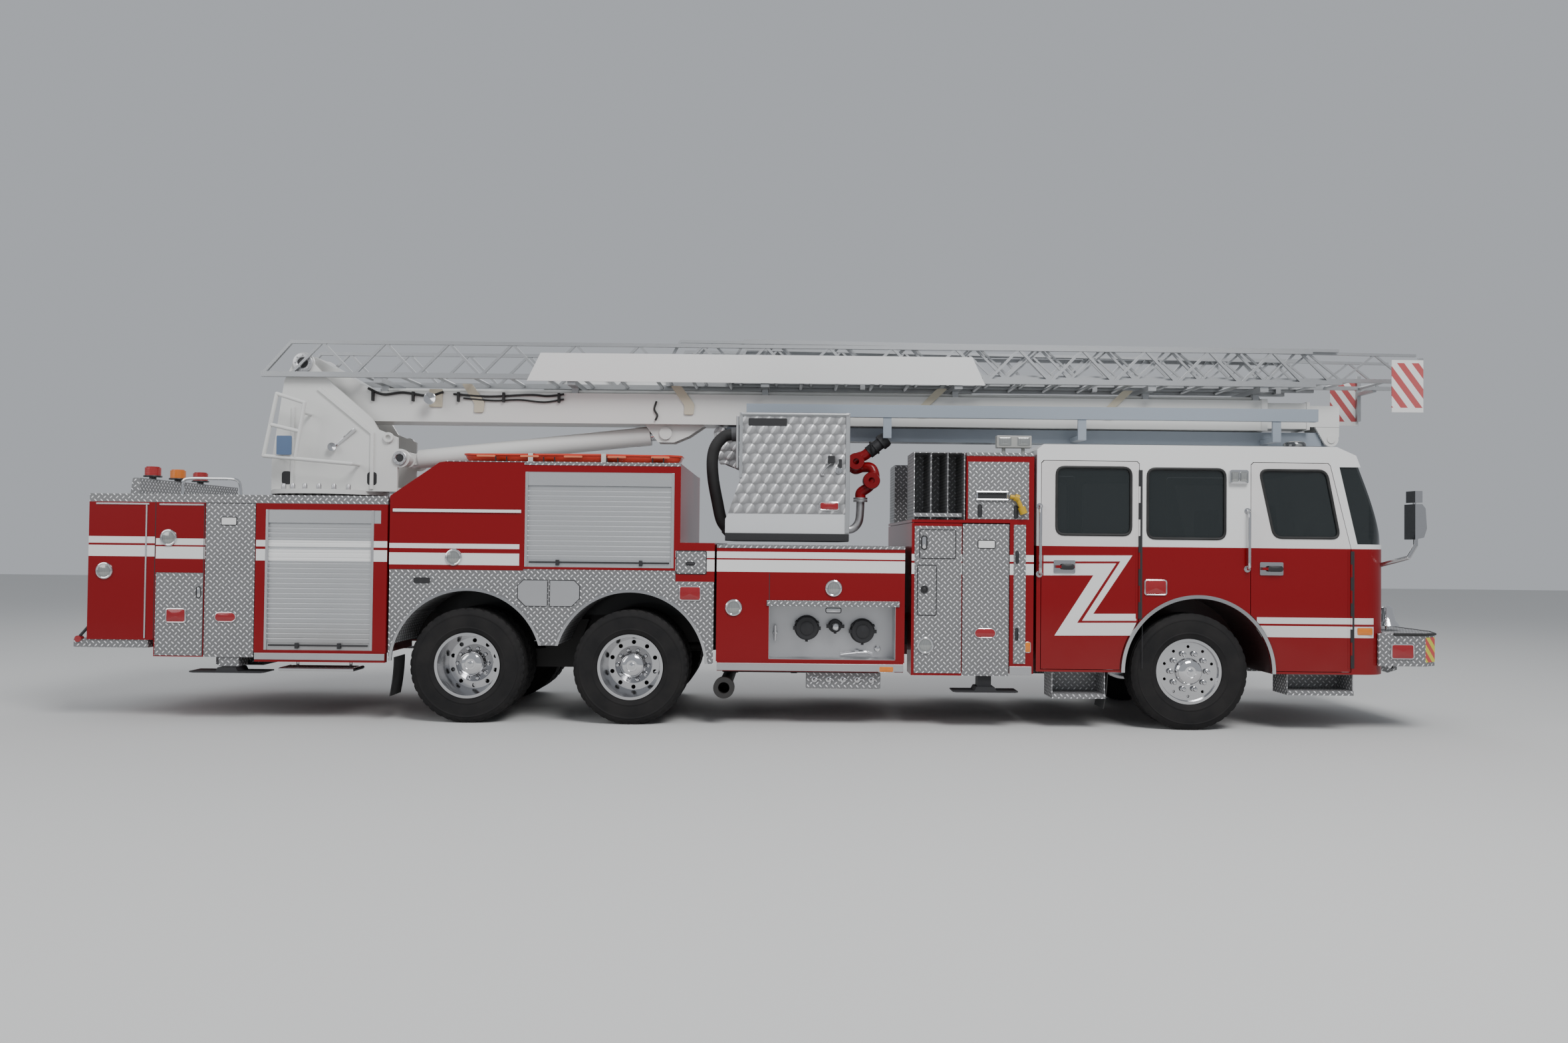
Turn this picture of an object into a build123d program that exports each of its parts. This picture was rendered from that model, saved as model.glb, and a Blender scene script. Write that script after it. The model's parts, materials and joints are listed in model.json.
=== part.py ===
"""Fire engine: a three-axle articulated aerial platform truck, in millimetres.

+X points to the front bumper, +Y to the driver's side, +Z up. The origin is on the ground, in the
middle of the overall length and width. The boom is stowed forwards over the cab and the cage hangs
under the end of the folded arm, in the gap over the pump house.
"""
from build123d import *
import os
from math import atan2, cos, hypot, pi, sin

# Driving dimensions
HALF_WIDTH = 1220.0          # body and cab side planes
WHEELBASE = 5827.0           # front axle to the middle of the tandem
TANDEM_SPACING = 1482.0
TANDEM_X = -2025.0           # middle of the tandem
FRONT_AXLE_X = TANDEM_X + WHEELBASE
REAR_TYRE_R = 520.0
REAR_TYRE_WIDTH = 280.0
FRONT_TYRE_R = 530.0
FRONT_TYRE_WIDTH = 315.0
DUAL_PITCH = 330.0           # middle to middle of twin tyres
TYRE_INSET = 10.0            # twin tyre's outer wall behind the body side
FRAME_Z = (690.0, 950.0)     # bottom and top of the frame rails
FRAME_Y = (350.0, 430.0)     # inner and outer face of one rail
FRAME_X = (-6120.0, 5900.0)
SEAM = 6.0                   # gap between neighbouring panels
FIT = 0.3                    # gap at pins, bushes and seats
WALL = 45.0                  # cab wall and door thickness
PLATE = 6.0                  # tread plate thickness

# Heights of the body
SKIRT_Z = 540.0              # lower edge of body and cab sides
DECK_Z = 2050.0              # rear deck
DECK_EDGE = 75.0             # depth of the folded edge round the rear deck
PUMP_TOP_Z = 1640.0
UPPER_Z = 2373.0             # top of the upper lockers
FORE_TOP_Z = 2500.0
BELT_Z = 1662.0
CAB_TOP_Z = 2587.0

# Stations along the body
TAIL_X = (-6211.0, -5155.0)
MID_X = (-4695.0, -3500.0)
ARCH_BODY_X = (-3480.0, -526.0)
SLOPE_TOP_X = -3037.0
TREAD_SPLIT_X = -2262.0      # the fender plate is lower behind this than ahead of it
PUMP_X = (-505.0, 1204.0)
FORE_X = (1264.0, 2372.0)
CAB_X = (2398.0, 5640.0)
DOOR_FRONT_X = 5251.0
BUMPER_X = (5505.0, 6140.0)

# Aerial
SLEW_X = -4480.0
PIVOT = (-4656.0, 3390.0)            # boom pivot, X and Z
KNUCKLE = (5560.0, 2757.0)           # hinge of the folded arm
CAGE_PIN = (-548.0, 2757.0)
BARREL_PIN = (-3686.0, 2460.0)
ROD_PIN = (-1093.0, 2750.0)
BOOM_Z = (2835.0, 3134.0)
BOOM_HALF = 200.0
ARM_Z = (2690.0, 2824.0)
ARM_HALF = 110.0

REAR_AXLES_X = (TANDEM_X - TANDEM_SPACING / 2, TANDEM_X + TANDEM_SPACING / 2)
OUTER_DUAL_Y = HALF_WIDTH - TYRE_INSET - REAR_TYRE_WIDTH / 2
INNER_DUAL_Y = OUTER_DUAL_Y - DUAL_PITCH
FRONT_WHEEL_Y = 1045.0
KINGPIN_Y = 905.0
RIM_LIP_R = 298.0
RIM_SEAT_R = 285.0
RIM_HALF = 125.0
SPINDLE_R = 60.0
HUB_AXLE_R = 75.0


# Small shape helpers
def block(x, y, z):
    """A box between two X, two Y and two Z values."""
    lows = [min(pair) for pair in (x, y, z)]
    sizes = [abs(pair[1] - pair[0]) for pair in (x, y, z)]
    return Pos(*lows) * Box(*sizes, align=(Align.MIN, Align.MIN, Align.MIN))


def side_prism(points, y):
    """An outline in X and Z, filled and extruded between two Y values."""
    face = make_face(Polyline(*[(px, 0, pz) for px, pz in points], close=True))
    return Pos(0, min(y), 0) * extrude(face, abs(y[1] - y[0]), dir=(0, 1, 0))


def front_prism(points, x):
    """An outline in Y and Z, filled and extruded between two X values."""
    face = make_face(Polyline(*[(0, py, pz) for py, pz in points], close=True))
    return Pos(min(x), 0, 0) * extrude(face, abs(x[1] - x[0]), dir=(1, 0, 0))


def plan_prism(points, z):
    """An outline in X and Y, filled and extruded between two Z values."""
    face = make_face(Polyline(*[(px, py, 0) for px, py in points], close=True))
    return Pos(0, 0, min(z)) * extrude(face, abs(z[1] - z[0]), dir=(0, 0, 1))


def rounded_prism(points, r, y):
    """An outline in X and Z with every corner rounded, filled and extruded between two Y values."""
    face = make_face(Polyline(*[(px, pz, 0) for px, pz in points], close=True))
    face = fillet(face.vertices(), r)
    return Pos(0, max(y), 0) * Rot(90, 0, 0) * extrude(face, abs(y[1] - y[0]), dir=(0, 0, 1))


def rod_y(x, z, r, y):
    """A round bar along Y."""
    return Pos(x, (y[0] + y[1]) / 2, z) * Rot(90, 0, 0) * Cylinder(r, abs(y[1] - y[0]))


def rod_x(y, z, r, x):
    """A round bar along X."""
    return Pos((x[0] + x[1]) / 2, y, z) * Rot(0, 90, 0) * Cylinder(r, abs(x[1] - x[0]))


def rod_z(x, y, r, z):
    """A round bar along Z."""
    return Pos(x, y, (z[0] + z[1]) / 2) * Cylinder(r, abs(z[1] - z[0]))


def bar(start, end, width, depth):
    """A square bar between two points of one X-Z plane, each given as X, Y, Z."""
    length = hypot(end[0] - start[0], end[2] - start[2])
    tilt = -atan2(end[2] - start[2], end[0] - start[0]) * 180 / pi
    middle = [(a + b) / 2 for a, b in zip(start, end)]
    return Pos(*middle) * Rot(0, tilt, 0) * Box(length, width, depth)


def pipe(start, end, r):
    """A round bar between any two points."""
    axis = Vector(*end) - Vector(*start)
    return Plane(origin=start, z_dir=axis) * Cylinder(r, axis.length, align=(Align.CENTER, Align.CENTER, Align.MIN))


def both_sides(shape):
    """The shape and its mirror image across the middle plane."""
    return shape + mirror(shape, Plane.XZ)


def turned(profile, x, z, side):
    """A ring about an axle along Y. The profile holds radius and distance out from the middle plane."""
    face = make_face(Polyline(*[(r, side * a, 0) for r, a in profile], close=True))
    return Pos(x, 0, z) * revolve(face, Axis.Y)


def save(shape, node):
    """Writes one sub-part."""
    export_step(Compound(children=list(shape.solids())), f"parts/{node}.step")


os.makedirs("parts", exist_ok=True)


ENGINE_X = (FRONT_AXLE_X + 98.0, FRONT_AXLE_X + 838.0)


# Wheels
def tyre_profile(radius, width, middle):
    """A tyre's section from bead to tread, about the middle plane of the wheel."""
    half = width / 2
    bead = RIM_HALF - 15
    outline = [
        (RIM_SEAT_R + FIT, -bead),
        (RIM_LIP_R + 2, -bead),
        (radius * 0.62, -half + 8),
        (radius * 0.80, -half),
        (radius * 0.955, -half + 16),
        (radius, -half + 42),
        (radius, half - 42),
        (radius * 0.955, half - 16),
        (radius * 0.80, half),
        (radius * 0.62, half - 8),
        (RIM_LIP_R + 2, bead),
        (RIM_SEAT_R + FIT, bead),
    ]
    return [(r, middle + a) for r, a in outline]


def rim_barrel(middle, disc_at, disc_r, hub_profile):
    """A wheel's barrel with lips, joined to its disc and hub. disc_at is the disc's distance out."""
    low, high = middle - RIM_HALF, middle + RIM_HALF
    skin = 12.0
    return [
        (hub_profile, disc_at - 10),
        (RIM_SEAT_R - skin - 8, disc_at - 10),
        (RIM_SEAT_R - skin, low),
        (RIM_LIP_R, low),
        (RIM_LIP_R, low + 10),
        (RIM_SEAT_R, low + 12),
        (RIM_SEAT_R, high - 12),
        (RIM_LIP_R, high - 10),
        (RIM_LIP_R, high),
        (RIM_SEAT_R - skin, high),
        (disc_r, disc_at + 10),
        (hub_profile, disc_at + 10),
    ]


def front_wheel(side):
    """Single front wheel: flat polished disc near the outer lip, with a closed hub cap."""
    section = tyre_profile(FRONT_TYRE_R, FRONT_TYRE_WIDTH, FRONT_WHEEL_Y)
    tyre = turned(section, FRONT_AXLE_X, FRONT_TYRE_R, side)
    disc_at = FRONT_WHEEL_Y + 88
    barrel = rim_barrel(FRONT_WHEEL_Y, disc_at, RIM_SEAT_R - 20, SPINDLE_R + FIT)
    rim = turned(barrel, FRONT_AXLE_X, FRONT_TYRE_R, side)
    hub = turned(
        [
            (SPINDLE_R + FIT, FRONT_WHEEL_Y - 40),
            (120, FRONT_WHEEL_Y - 40),
            (125, disc_at),
            (118, disc_at + 40),
            (95, disc_at + 62),
            (0, disc_at + 66),
            (0, FRONT_WHEEL_Y + 60),
            (SPINDLE_R + FIT, FRONT_WHEEL_Y + 60),
        ],
        FRONT_AXLE_X,
        FRONT_TYRE_R,
        side,
    )
    nuts = [
        rod_y(
            FRONT_AXLE_X + 167 * cos(2 * pi * k / 10),
            FRONT_TYRE_R + 167 * sin(2 * pi * k / 10),
            19,
            (side * (disc_at + 5), side * (disc_at + 38)),
        )
        for k in range(10)
    ]
    rim = rim + hub
    for nut in nuts:
        rim += nut
    for k in range(10):
        angle = 2 * pi * (k + 0.5) / 10
        rim -= rod_y(
            FRONT_AXLE_X + 226 * cos(angle),
            FRONT_TYRE_R + 226 * sin(angle),
            14,
            (side * (disc_at - 30), side * (disc_at + 30)),
        )
    return tyre, rim


def twin_wheel(axle_x, side):
    """Twin rear wheels: the outer one is a deep dish, and both discs meet on one hub."""
    tyres = [
        turned(tyre_profile(REAR_TYRE_R, REAR_TYRE_WIDTH, y), axle_x, REAR_TYRE_R, side)
        for y in (OUTER_DUAL_Y, INNER_DUAL_Y)
    ]
    joint_y = (OUTER_DUAL_Y + INNER_DUAL_Y) / 2
    bore = HUB_AXLE_R + FIT
    outer = turned(rim_barrel(OUTER_DUAL_Y, joint_y + 12, 235, bore), axle_x, REAR_TYRE_R, side)
    inner = mirror(rim_to_plane(axle_x, side, joint_y, bore), Plane.XZ.offset(-side * joint_y))
    hub = turned(
        [
            (bore, INNER_DUAL_Y - 60),
            (150, INNER_DUAL_Y - 60),
            (172, joint_y),
            (172, joint_y + 30),
            (120, joint_y + 55),
            (112, joint_y + 130),
            (88, joint_y + 158),
            (0, joint_y + 162),
            (0, joint_y + 110),
            (bore, joint_y + 110),
        ],
        axle_x,
        REAR_TYRE_R,
        side,
    )
    rim = outer + inner + hub
    for k in range(10):
        angle = 2 * pi * k / 10
        rim += rod_y(
            axle_x + 143 * cos(angle),
            REAR_TYRE_R + 143 * sin(angle),
            17,
            (side * (joint_y + 10), side * (joint_y + 62)),
        )
    for k in range(10):
        angle = 2 * pi * (k + 0.5) / 10
        rim -= rod_y(
            axle_x + 208 * cos(angle),
            REAR_TYRE_R + 208 * sin(angle),
            20,
            (side * (joint_y - 60), side * (joint_y + 60)),
        )
    return tyres[0] + tyres[1], rim


def rim_to_plane(axle_x, side, joint_y, bore):
    """The outer rim once more, to be mirrored for the inner tyre."""
    return turned(rim_barrel(OUTER_DUAL_Y, joint_y + 12, 235, bore), axle_x, REAR_TYRE_R, side)


# Chassis
def frame_rails():
    """Two channel rails joined by round-ended cross members."""
    web = 12.0
    low, high = FRAME_Z
    inner, outer = FRAME_Y
    channel = [
        (inner, low), (outer, low), (outer, high), (inner, high),
        (inner, high - web), (outer - web, high - web), (outer - web, low + web), (inner, low + web),
    ]
    rails = both_sides(front_prism(channel, FRAME_X))
    for x in (-6090, -5200, -4400, -3300, -2025, -700, 600, 1900, 2700, 4700, 5440):
        rails += block((x - 25, x + 25), (-outer + web, outer - web), (high - web - 58, high - web))
    return rails


def front_axle():
    """Dropped beam with leaf springs under the rails and a kingpin at each end."""
    z = FRONT_TYRE_R
    eye = KINGPIN_Y
    beam = front_prism(
        [
            (-eye, z - 55), (-eye + 95, z - 55), (-640, z - 130), (640, z - 130), (eye - 95, z - 55),
            (eye, z - 55), (eye, z + 55), (eye - 120, z + 55), (600, z - 30), (-600, z - 30),
            (-eye + 120, z + 55), (-eye, z + 55),
        ],
        (FRONT_AXLE_X - 45, FRONT_AXLE_X + 45),
    )
    for side in (-1, 1):
        beam += rod_z(FRONT_AXLE_X, side * eye, 48, (z - 55, z + 55))
        beam += rod_z(FRONT_AXLE_X, side * eye, 22, (z - 105, z + 105))
        middle = side * sum(FRAME_Y) / 2
        width = (middle - 38, middle + 38)
        top = FRAME_Z[0]
        for drop, length in ((0, 760), (18, 620), (36, 460), (54, 300)):
            leaf_z = (top - 122 - drop, top - 106 - drop)
            beam += block((FRONT_AXLE_X - length, FRONT_AXLE_X + length), width, leaf_z)
        beam += block((FRONT_AXLE_X - 60, FRONT_AXLE_X + 60), width, (z - 60, top - 106))
        for end in (-1, 1):
            x = FRONT_AXLE_X + end * 745
            beam += block((x - 30, x + 30), width, (top - 122, top))
    return beam


def rear_axles():
    """Two driven axles with round differentials, carried by a walking beam on each side."""
    z = REAR_TYRE_R
    middle_x = sum(REAR_AXLES_X) / 2
    stub = INNER_DUAL_Y + DUAL_PITCH / 2 + 100
    unit = None
    for x in REAR_AXLES_X:
        tube = rod_y(x, z, HUB_AXLE_R, (-stub, stub)) + Pos(x, 0, z) * Sphere(190)
        unit = tube if unit is None else unit + tube
    for side in (-1, 1):
        y = sorted((side * 455, side * 545))
        unit += side_prism(
            [
                (REAR_AXLES_X[0] - 110, z - 70), (REAR_AXLES_X[1] + 110, z - 70), (REAR_AXLES_X[1] + 110, z + 60),
                (middle_x + 150, z + 110), (middle_x - 150, z + 110), (REAR_AXLES_X[0] - 110, z + 60),
            ],
            y,
        )
        unit += side_prism(
            [
                (middle_x - 150, z + 100), (middle_x + 150, z + 100),
                (middle_x + 260, FRAME_Z[1] - 40), (middle_x - 260, FRAME_Z[1] - 40),
            ],
            sorted((side * FRAME_Y[1], side * 545)),
        )
    unit += rod_x(0, z + 60, 45, REAR_AXLES_X)
    return unit + pipe((REAR_AXLES_X[1] + 150, 0, z + 80), (ENGINE_X[0] - 12, 0, 820), 45)


def tank_bands(x_values, r):
    """Straps round the fuel tank."""
    straps = None
    for x in x_values:
        ring = rod_x(TANK_YZ[0], TANK_YZ[1], r + 6, (x - 30, x + 30))
        ring -= rod_x(TANK_YZ[0], TANK_YZ[1], r, (x - 31, x + 31))
        straps = ring if straps is None else straps + ring
    return straps


TANK_YZ = (-650.0, 620.0)
TANK_R = 190.0
EXHAUST = (-430.0, 344.0)


def underbody():
    """Fuel tank with its straps and hangers, air tanks, silencer and the side exhaust, hung on the rails."""
    rail = FRAME_Y[1]
    tank = rod_x(TANK_YZ[0], TANK_YZ[1], TANK_R, (-470, 330))
    hung = tank + tank_bands((-350, 210), TANK_R)
    for x in (-350, 210):
        hung += block((x - 30, x + 30), (-rail, TANK_YZ[0] + 60), (FRAME_Z[0] + 20, FRAME_Z[1] - 20))
    for x in (1350, 2280):
        hung += block((x - 30, x + 30), (rail, rail + 150), (FRAME_Z[0] + 40, FRAME_Z[1] - 60))
    hung += rod_x(rail + 190, 800, 120, (1290, 2340))
    silencer = rod_x(rail + 250, 640, 150, (-480, 420)) + block((-60, 0), (rail, rail + 160), (600, 900))
    tail = rod_y(EXHAUST[0], EXHAUST[1], 60, (-1190, rail + 250))
    tail += rod_z(EXHAUST[0], rail + 250, 60, (EXHAUST[1], 640))
    outlet = rod_y(EXHAUST[0], EXHAUST[1], 96, (-1215, -1120))
    return hung + silencer + tail + outlet - rod_y(EXHAUST[0], EXHAUST[1], 52, (-1216, -900))


# Body on the frame
TUNNEL_HALF = FRAME_Y[1] + 12.0      # the rails run in this slot under the body


def tunnel(x):
    """The slot that the frame rails run in."""
    return block((x[0] - 1, x[1] + 1), (-TUNNEL_HALF, TUNNEL_HALF), (0, FRAME_Z[1]))


def tail_body():
    """Rear lockers on both sides, stepped above the tail lamps, with the towing eye under them."""
    split_x = -5605.0
    rear = block((TAIL_X[0], split_x - SEAM), (-HALF_WIDTH, HALF_WIDTH), (726, DECK_Z - DECK_EDGE))
    front = block((split_x, TAIL_X[1]), (-HALF_WIDTH, HALF_WIDTH), (577, DECK_Z - DECK_EDGE))
    link = block((split_x - SEAM, split_x), (-HALF_WIDTH + 20, HALF_WIDTH - 20), (740, DECK_Z - DECK_EDGE))
    body = rear + link + front - tunnel(TAIL_X)
    body -= both_sides(block((split_x + 8, TAIL_X[1] - 8), (HALF_WIDTH - PLATE, HALF_WIDTH + 1), (585, 1338)))
    return body


OUTRIGGERS = (
    # node part, cover X range, cover Z range, foot bottom, beam Z range, foot's width
    ("rear", (-5149.0, -4701.0), (577.0, 1975.0), 436.0, (492.0, 652.0), 678.0),
    ("front", (1728.0, 2148.0), (478.0, 1858.0), 330.0, (492.0, 652.0), 590.0),
)
BAY_DEPTH = 232.0            # from the side plane to the inner wall of an outrigger bay
LEG_SIZE = 180.0
BEAM_WIDTH = 150.0
BOX_WALL = 10.0
JACK_TRAVEL = 480.0
BEAM_TRAVEL = 1100.0


def mid_body():
    """The turret's pedestal with the lockers in front of it and the rear outrigger's bay behind."""
    inner = HALF_WIDTH - BAY_DEPTH
    body = block(MID_X, (-HALF_WIDTH, HALF_WIDTH), (626, DECK_Z - DECK_EDGE))
    body += block((TAIL_X[1] + 4, MID_X[0]), (-inner, inner), (FRAME_Z[1], DECK_Z - DECK_EDGE))
    body -= tunnel((TAIL_X[1], MID_X[1]))
    (x, z, header, end_x) = SHUTTERS[0]
    front = (HALF_WIDTH - SHUTTER_DEPTH, HALF_WIDTH + 1)
    body -= both_sides(block(x, front, z) + block((x[1] - 1, end_x), front, (header, z[1])))
    rub_rail = block((MID_X[0] + 10, MID_X[1] - 5), (HALF_WIDTH - 60, HALF_WIDTH + 8), (SKIRT_Z, 626))
    return body + both_sides(rub_rail)


SHUTTER_DEPTH = 38.0
SLAT_PITCH = 46.0
SHUTTERS = (
    # X range and Z range of a roll-up door, the Z of its header box and the X where the box ends
    ((-4606.0, -3622.0), (646.0, 1919.0), 1800.0, -3560.0),
    ((-2253.0, -897.0), (1423.0, 2287.0), 2163.0, -897.0),
)


def rollup_doors():
    """Slatted roll-up doors with a header box and a bottom bar, on both sides."""
    doors = None
    skin = HALF_WIDTH - SHUTTER_DEPTH
    for x, z, header, end_x in SHUTTERS:
        pitch = (header - z[0] - 60) / round((header - z[0] - 60) / SLAT_PITCH)
        outline = [(skin, z[0]), (skin + 30, z[0]), (skin + 30, z[0] + 60)]
        low = z[0] + 60
        while low + pitch < header + 1:
            outline += [(skin + 17, low + 2), (skin + 20, low + 8)]
            outline += [(skin + 20, low + pitch - 6), (skin + 17, low + pitch)]
            low += pitch
        outline += [(skin + 34, header), (skin + 34, z[1]), (skin, z[1])]
        door = front_prism(outline, x)
        if end_x > x[1]:
            door += block((x[1], end_x), (skin, skin + 34), (header, z[1]))
        door = both_sides(door)
        doors = door if doors is None else doors + door
    return doors


ARCH_R = 680.0
ARCH_LIP = 25.0
V_BOTTOM = 711.0             # lower edge of the fender plate between the two openings
FENDER_TOP = 1304.0
TREAD_TOP = (1388.0, 1400.0)  # top of the fender plate behind and ahead of its step
LOW_END_X = -840.0


def rear_body():
    """Lockers over the tandem with the sloped shoulder at the back and the low end in front."""
    outline = [
        (ARCH_BODY_X[0], FENDER_TOP), (ARCH_BODY_X[0], 2055), (SLOPE_TOP_X, 2364), (SLOPE_TOP_X + 60, UPPER_Z),
        (LOW_END_X, UPPER_Z), (LOW_END_X, 1656), (ARCH_BODY_X[1], 1656), (ARCH_BODY_X[1], FENDER_TOP),
    ]
    body = side_prism(outline, (-HALF_WIDTH, HALF_WIDTH))
    core = block(ARCH_BODY_X, (-TUNNEL_HALF - 40, TUNNEL_HALF + 40), (FRAME_Z[1], FENDER_TOP))
    (x, z, header, end_x) = SHUTTERS[1]
    body -= both_sides(block(x, (HALF_WIDTH - SHUTTER_DEPTH, HALF_WIDTH + 1), z))
    skin = (HALF_WIDTH - PLATE, HALF_WIDTH + 1)
    body -= both_sides(block((ARCH_BODY_X[0] - 1, TREAD_SPLIT_X + 2), skin, (FENDER_TOP - 1, TREAD_TOP[0] + 2)))
    body -= both_sides(block((TREAD_SPLIT_X - 2, LOW_END_X - 38), skin, (FENDER_TOP - 1, TREAD_TOP[1] + 2)))
    trim = side_prism([(-3450, 1912), (-2290, 1912), (-2290, 1938), (-3450, 1938)], (HALF_WIDTH, HALF_WIDTH + 12))
    return body + core + both_sides(trim)


def wheel_fenders():
    """Tread plate sides with two round openings and the bent mudguards inside them."""
    middle_x = sum(REAR_AXLES_X) / 2
    side = side_prism(
        [
            (ARCH_BODY_X[0] + 4, TREAD_TOP[0]), (TREAD_SPLIT_X, TREAD_TOP[0]), (TREAD_SPLIT_X, TREAD_TOP[1]),
            (LOW_END_X - 40, TREAD_TOP[1]), (LOW_END_X - 40, FENDER_TOP), (ARCH_BODY_X[1] - 4, FENDER_TOP),
            (ARCH_BODY_X[1] - 4, 560), (ARCH_BODY_X[0] + 4, 560),
        ],
        (HALF_WIDTH - PLATE, HALF_WIDTH),
    )
    side -= block((middle_x - 330, middle_x + 330), (0, HALF_WIDTH + 1), (0, V_BOTTOM))
    guards = None
    inner = TUNNEL_HALF + 118
    for x in REAR_AXLES_X:
        ring = rod_y(x, REAR_TYRE_R, ARCH_R + 8, (inner, HALF_WIDTH - PLATE))
        ring -= rod_y(x, REAR_TYRE_R, ARCH_R, (inner - 1, HALF_WIDTH + 1))
        ring &= block((x - ARCH_R - 50, x + ARCH_R + 50), (0, HALF_WIDTH), (720, FENDER_TOP))
        guards = ring if guards is None else guards + ring
        side -= rod_y(x, REAR_TYRE_R, ARCH_R, (0, HALF_WIDTH + 1))
    return both_sides(side + guards)


def rear_arch_lips():
    """Bright rings round the four openings over the tandem."""
    lips = None
    y = (HALF_WIDTH, HALF_WIDTH + 12)
    for x, outwards in zip(REAR_AXLES_X, (-1, 1)):
        ring = rod_y(x, REAR_TYRE_R, ARCH_R + ARCH_LIP, y) - rod_y(x, REAR_TYRE_R, ARCH_R, (y[0] - 1, y[1] + 1))
        reach = ARCH_R + ARCH_LIP + 1
        keep = block((x, x + outwards * reach), y, (562, 2000))
        keep += block((x, x - outwards * reach), y, (V_BOTTOM, 2000))
        ring &= keep
        lips = ring if lips is None else lips + ring
    return both_sides(lips)


def top_trims():
    """Tread plate on the tops of the upper lockers, the low end, the pump house and the fore body."""
    trims = block((SLOPE_TOP_X + 60, LOW_END_X), (HALF_WIDTH - 90, HALF_WIDTH + 4), (UPPER_Z, UPPER_Z + PLATE))
    trims += block((TREAD_SPLIT_X, LOW_END_X), (HALF_WIDTH, HALF_WIDTH + 4), (UPPER_Z - 24, UPPER_Z))
    for x, top in ((PUMP_X, PUMP_TOP_Z), (UPPER_FORE_X, FORE_TOP_Z)):
        trims += block(x, (HALF_WIDTH - 60, HALF_WIDTH + 4), (top, top + 4))
        trims += block(x, (HALF_WIDTH, HALF_WIDTH + 4), (top - 26, top))
    return both_sides(trims)


RECESS_X = (-27.0, 1122.0)
RECESS_Z = (610.0, 1126.0)
RECESS_DEPTH = 290.0


def pump_body():
    """Pump house with the recess for the pump panel on each side and a rail under it."""
    body = block(PUMP_X, (-HALF_WIDTH, HALF_WIDTH), (585, PUMP_TOP_Z)) - tunnel(PUMP_X)
    body -= both_sides(block((PUMP_X[0] - 1, PUMP_X[1] + 1), (0, HALF_WIDTH - 330), (0, FRAME_Z[1])))
    body -= both_sides(block(RECESS_X, (HALF_WIDTH - RECESS_DEPTH, HALF_WIDTH + 1), RECESS_Z))
    rail = block((PUMP_X[0] + 10, PUMP_X[1] - 10), (HALF_WIDTH - 50, HALF_WIDTH + 6), (500, 585))
    return body + both_sides(rail)


INLETS = (
    # X, Z and radius of a capped inlet in the pump recess
    (323.0, 880.0, 100.0),
    (838.0, 855.0, 100.0),
    (585.0, 900.0, 55.0),
)


def pump_fittings():
    """Capped suction inlets with their lugs, on the back wall of the recess."""
    caps = None
    for x, z, r in INLETS:
        y = (HALF_WIDTH - RECESS_DEPTH, HALF_WIDTH - RECESS_DEPTH + 120)
        cap = rod_y(x, z, r * 0.78, y) + rod_y(x, z, r, (y[0] + 60, y[1]))
        cap += block((x - r - 28, x + r + 28), (y[0] + 75, y[1] - 8), (z - 16, z + 16))
        caps = cap if caps is None else caps + cap
    return both_sides(caps)


UPPER_FORE_X = (1756.0, FORE_X[1])
CHUTE_X = (1278.0, 1744.0)
CHUTE_Z = (1890.0, 2500.0)


def fore_body():
    """Locker block behind the cab, with the front outrigger's bay and the column beside it."""
    inner = HALF_WIDTH - BAY_DEPTH
    block_x = (FORE_X[0], 1722.0)
    column_x = (2155.0, FORE_X[1])
    body = block(block_x, (-HALF_WIDTH, HALF_WIDTH), (478, 1858))
    body += block(column_x, (-HALF_WIDTH, HALF_WIDTH), (500, 1880))
    body += block((block_x[1], column_x[0]), (-inner, inner), (FRAME_Z[1], 1880))
    body += block((FORE_X[0], FORE_X[1]), (-HALF_WIDTH, HALF_WIDTH), (1864, 1890))
    body += block((block_x[0] + 20, block_x[1] - 20), (-HALF_WIDTH + 30, HALF_WIDTH - 30), (1858, 1864))
    body += block(UPPER_FORE_X, (-HALF_WIDTH, HALF_WIDTH), (1890, FORE_TOP_Z))
    body -= tunnel(FORE_X)
    body -= both_sides(block((FORE_X[0] - 1, FORE_X[1] + 1), (0, inner - 120), (0, FRAME_Z[1])))
    return body


def chutes():
    """Upright plates with open slots between them, for long gear, on both sides."""
    pitch = (CHUTE_X[1] - CHUTE_X[0] - 8) / 3
    plates = None
    for k in range(4):
        x = CHUTE_X[0] + k * pitch
        plate = block((x, x + 8), (HALF_WIDTH - 560, HALF_WIDTH - 4), CHUTE_Z)
        plates = plate if plates is None else plates + plate
    plates += block(CHUTE_X, (HALF_WIDTH - 568, HALF_WIDTH - 560), CHUTE_Z)
    plates += block(CHUTE_X, (HALF_WIDTH - 568, HALF_WIDTH - 40), (CHUTE_Z[1], CHUTE_Z[1] + 8))
    bar_z = (CHUTE_Z[0] + 25, CHUTE_Z[0] + 60)
    plates += block((CHUTE_X[0], CHUTE_X[1] - 30), (HALF_WIDTH - 12, HALF_WIDTH + 6), bar_z)
    return both_sides(plates + fore_panels())


FORE_PANELS = (
    # X range and Z range of a tread plate panel on the fore body
    ((1290.0, 1716.0), (500.0, 1831.0)),
    ((2190.0, 2299.0), (592.0, 1850.0)),
    ((1772.0, 2324.0), (1900.0, 2420.0)),
)


def fore_panels():
    """Tread plate panels and doors on the left side of the fore body."""
    panels = None
    for x, z in FORE_PANELS:
        panel = block(x, (HALF_WIDTH, HALF_WIDTH + 4), z)
        panels = panel if panels is None else panels + panel
    return panels


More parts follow.
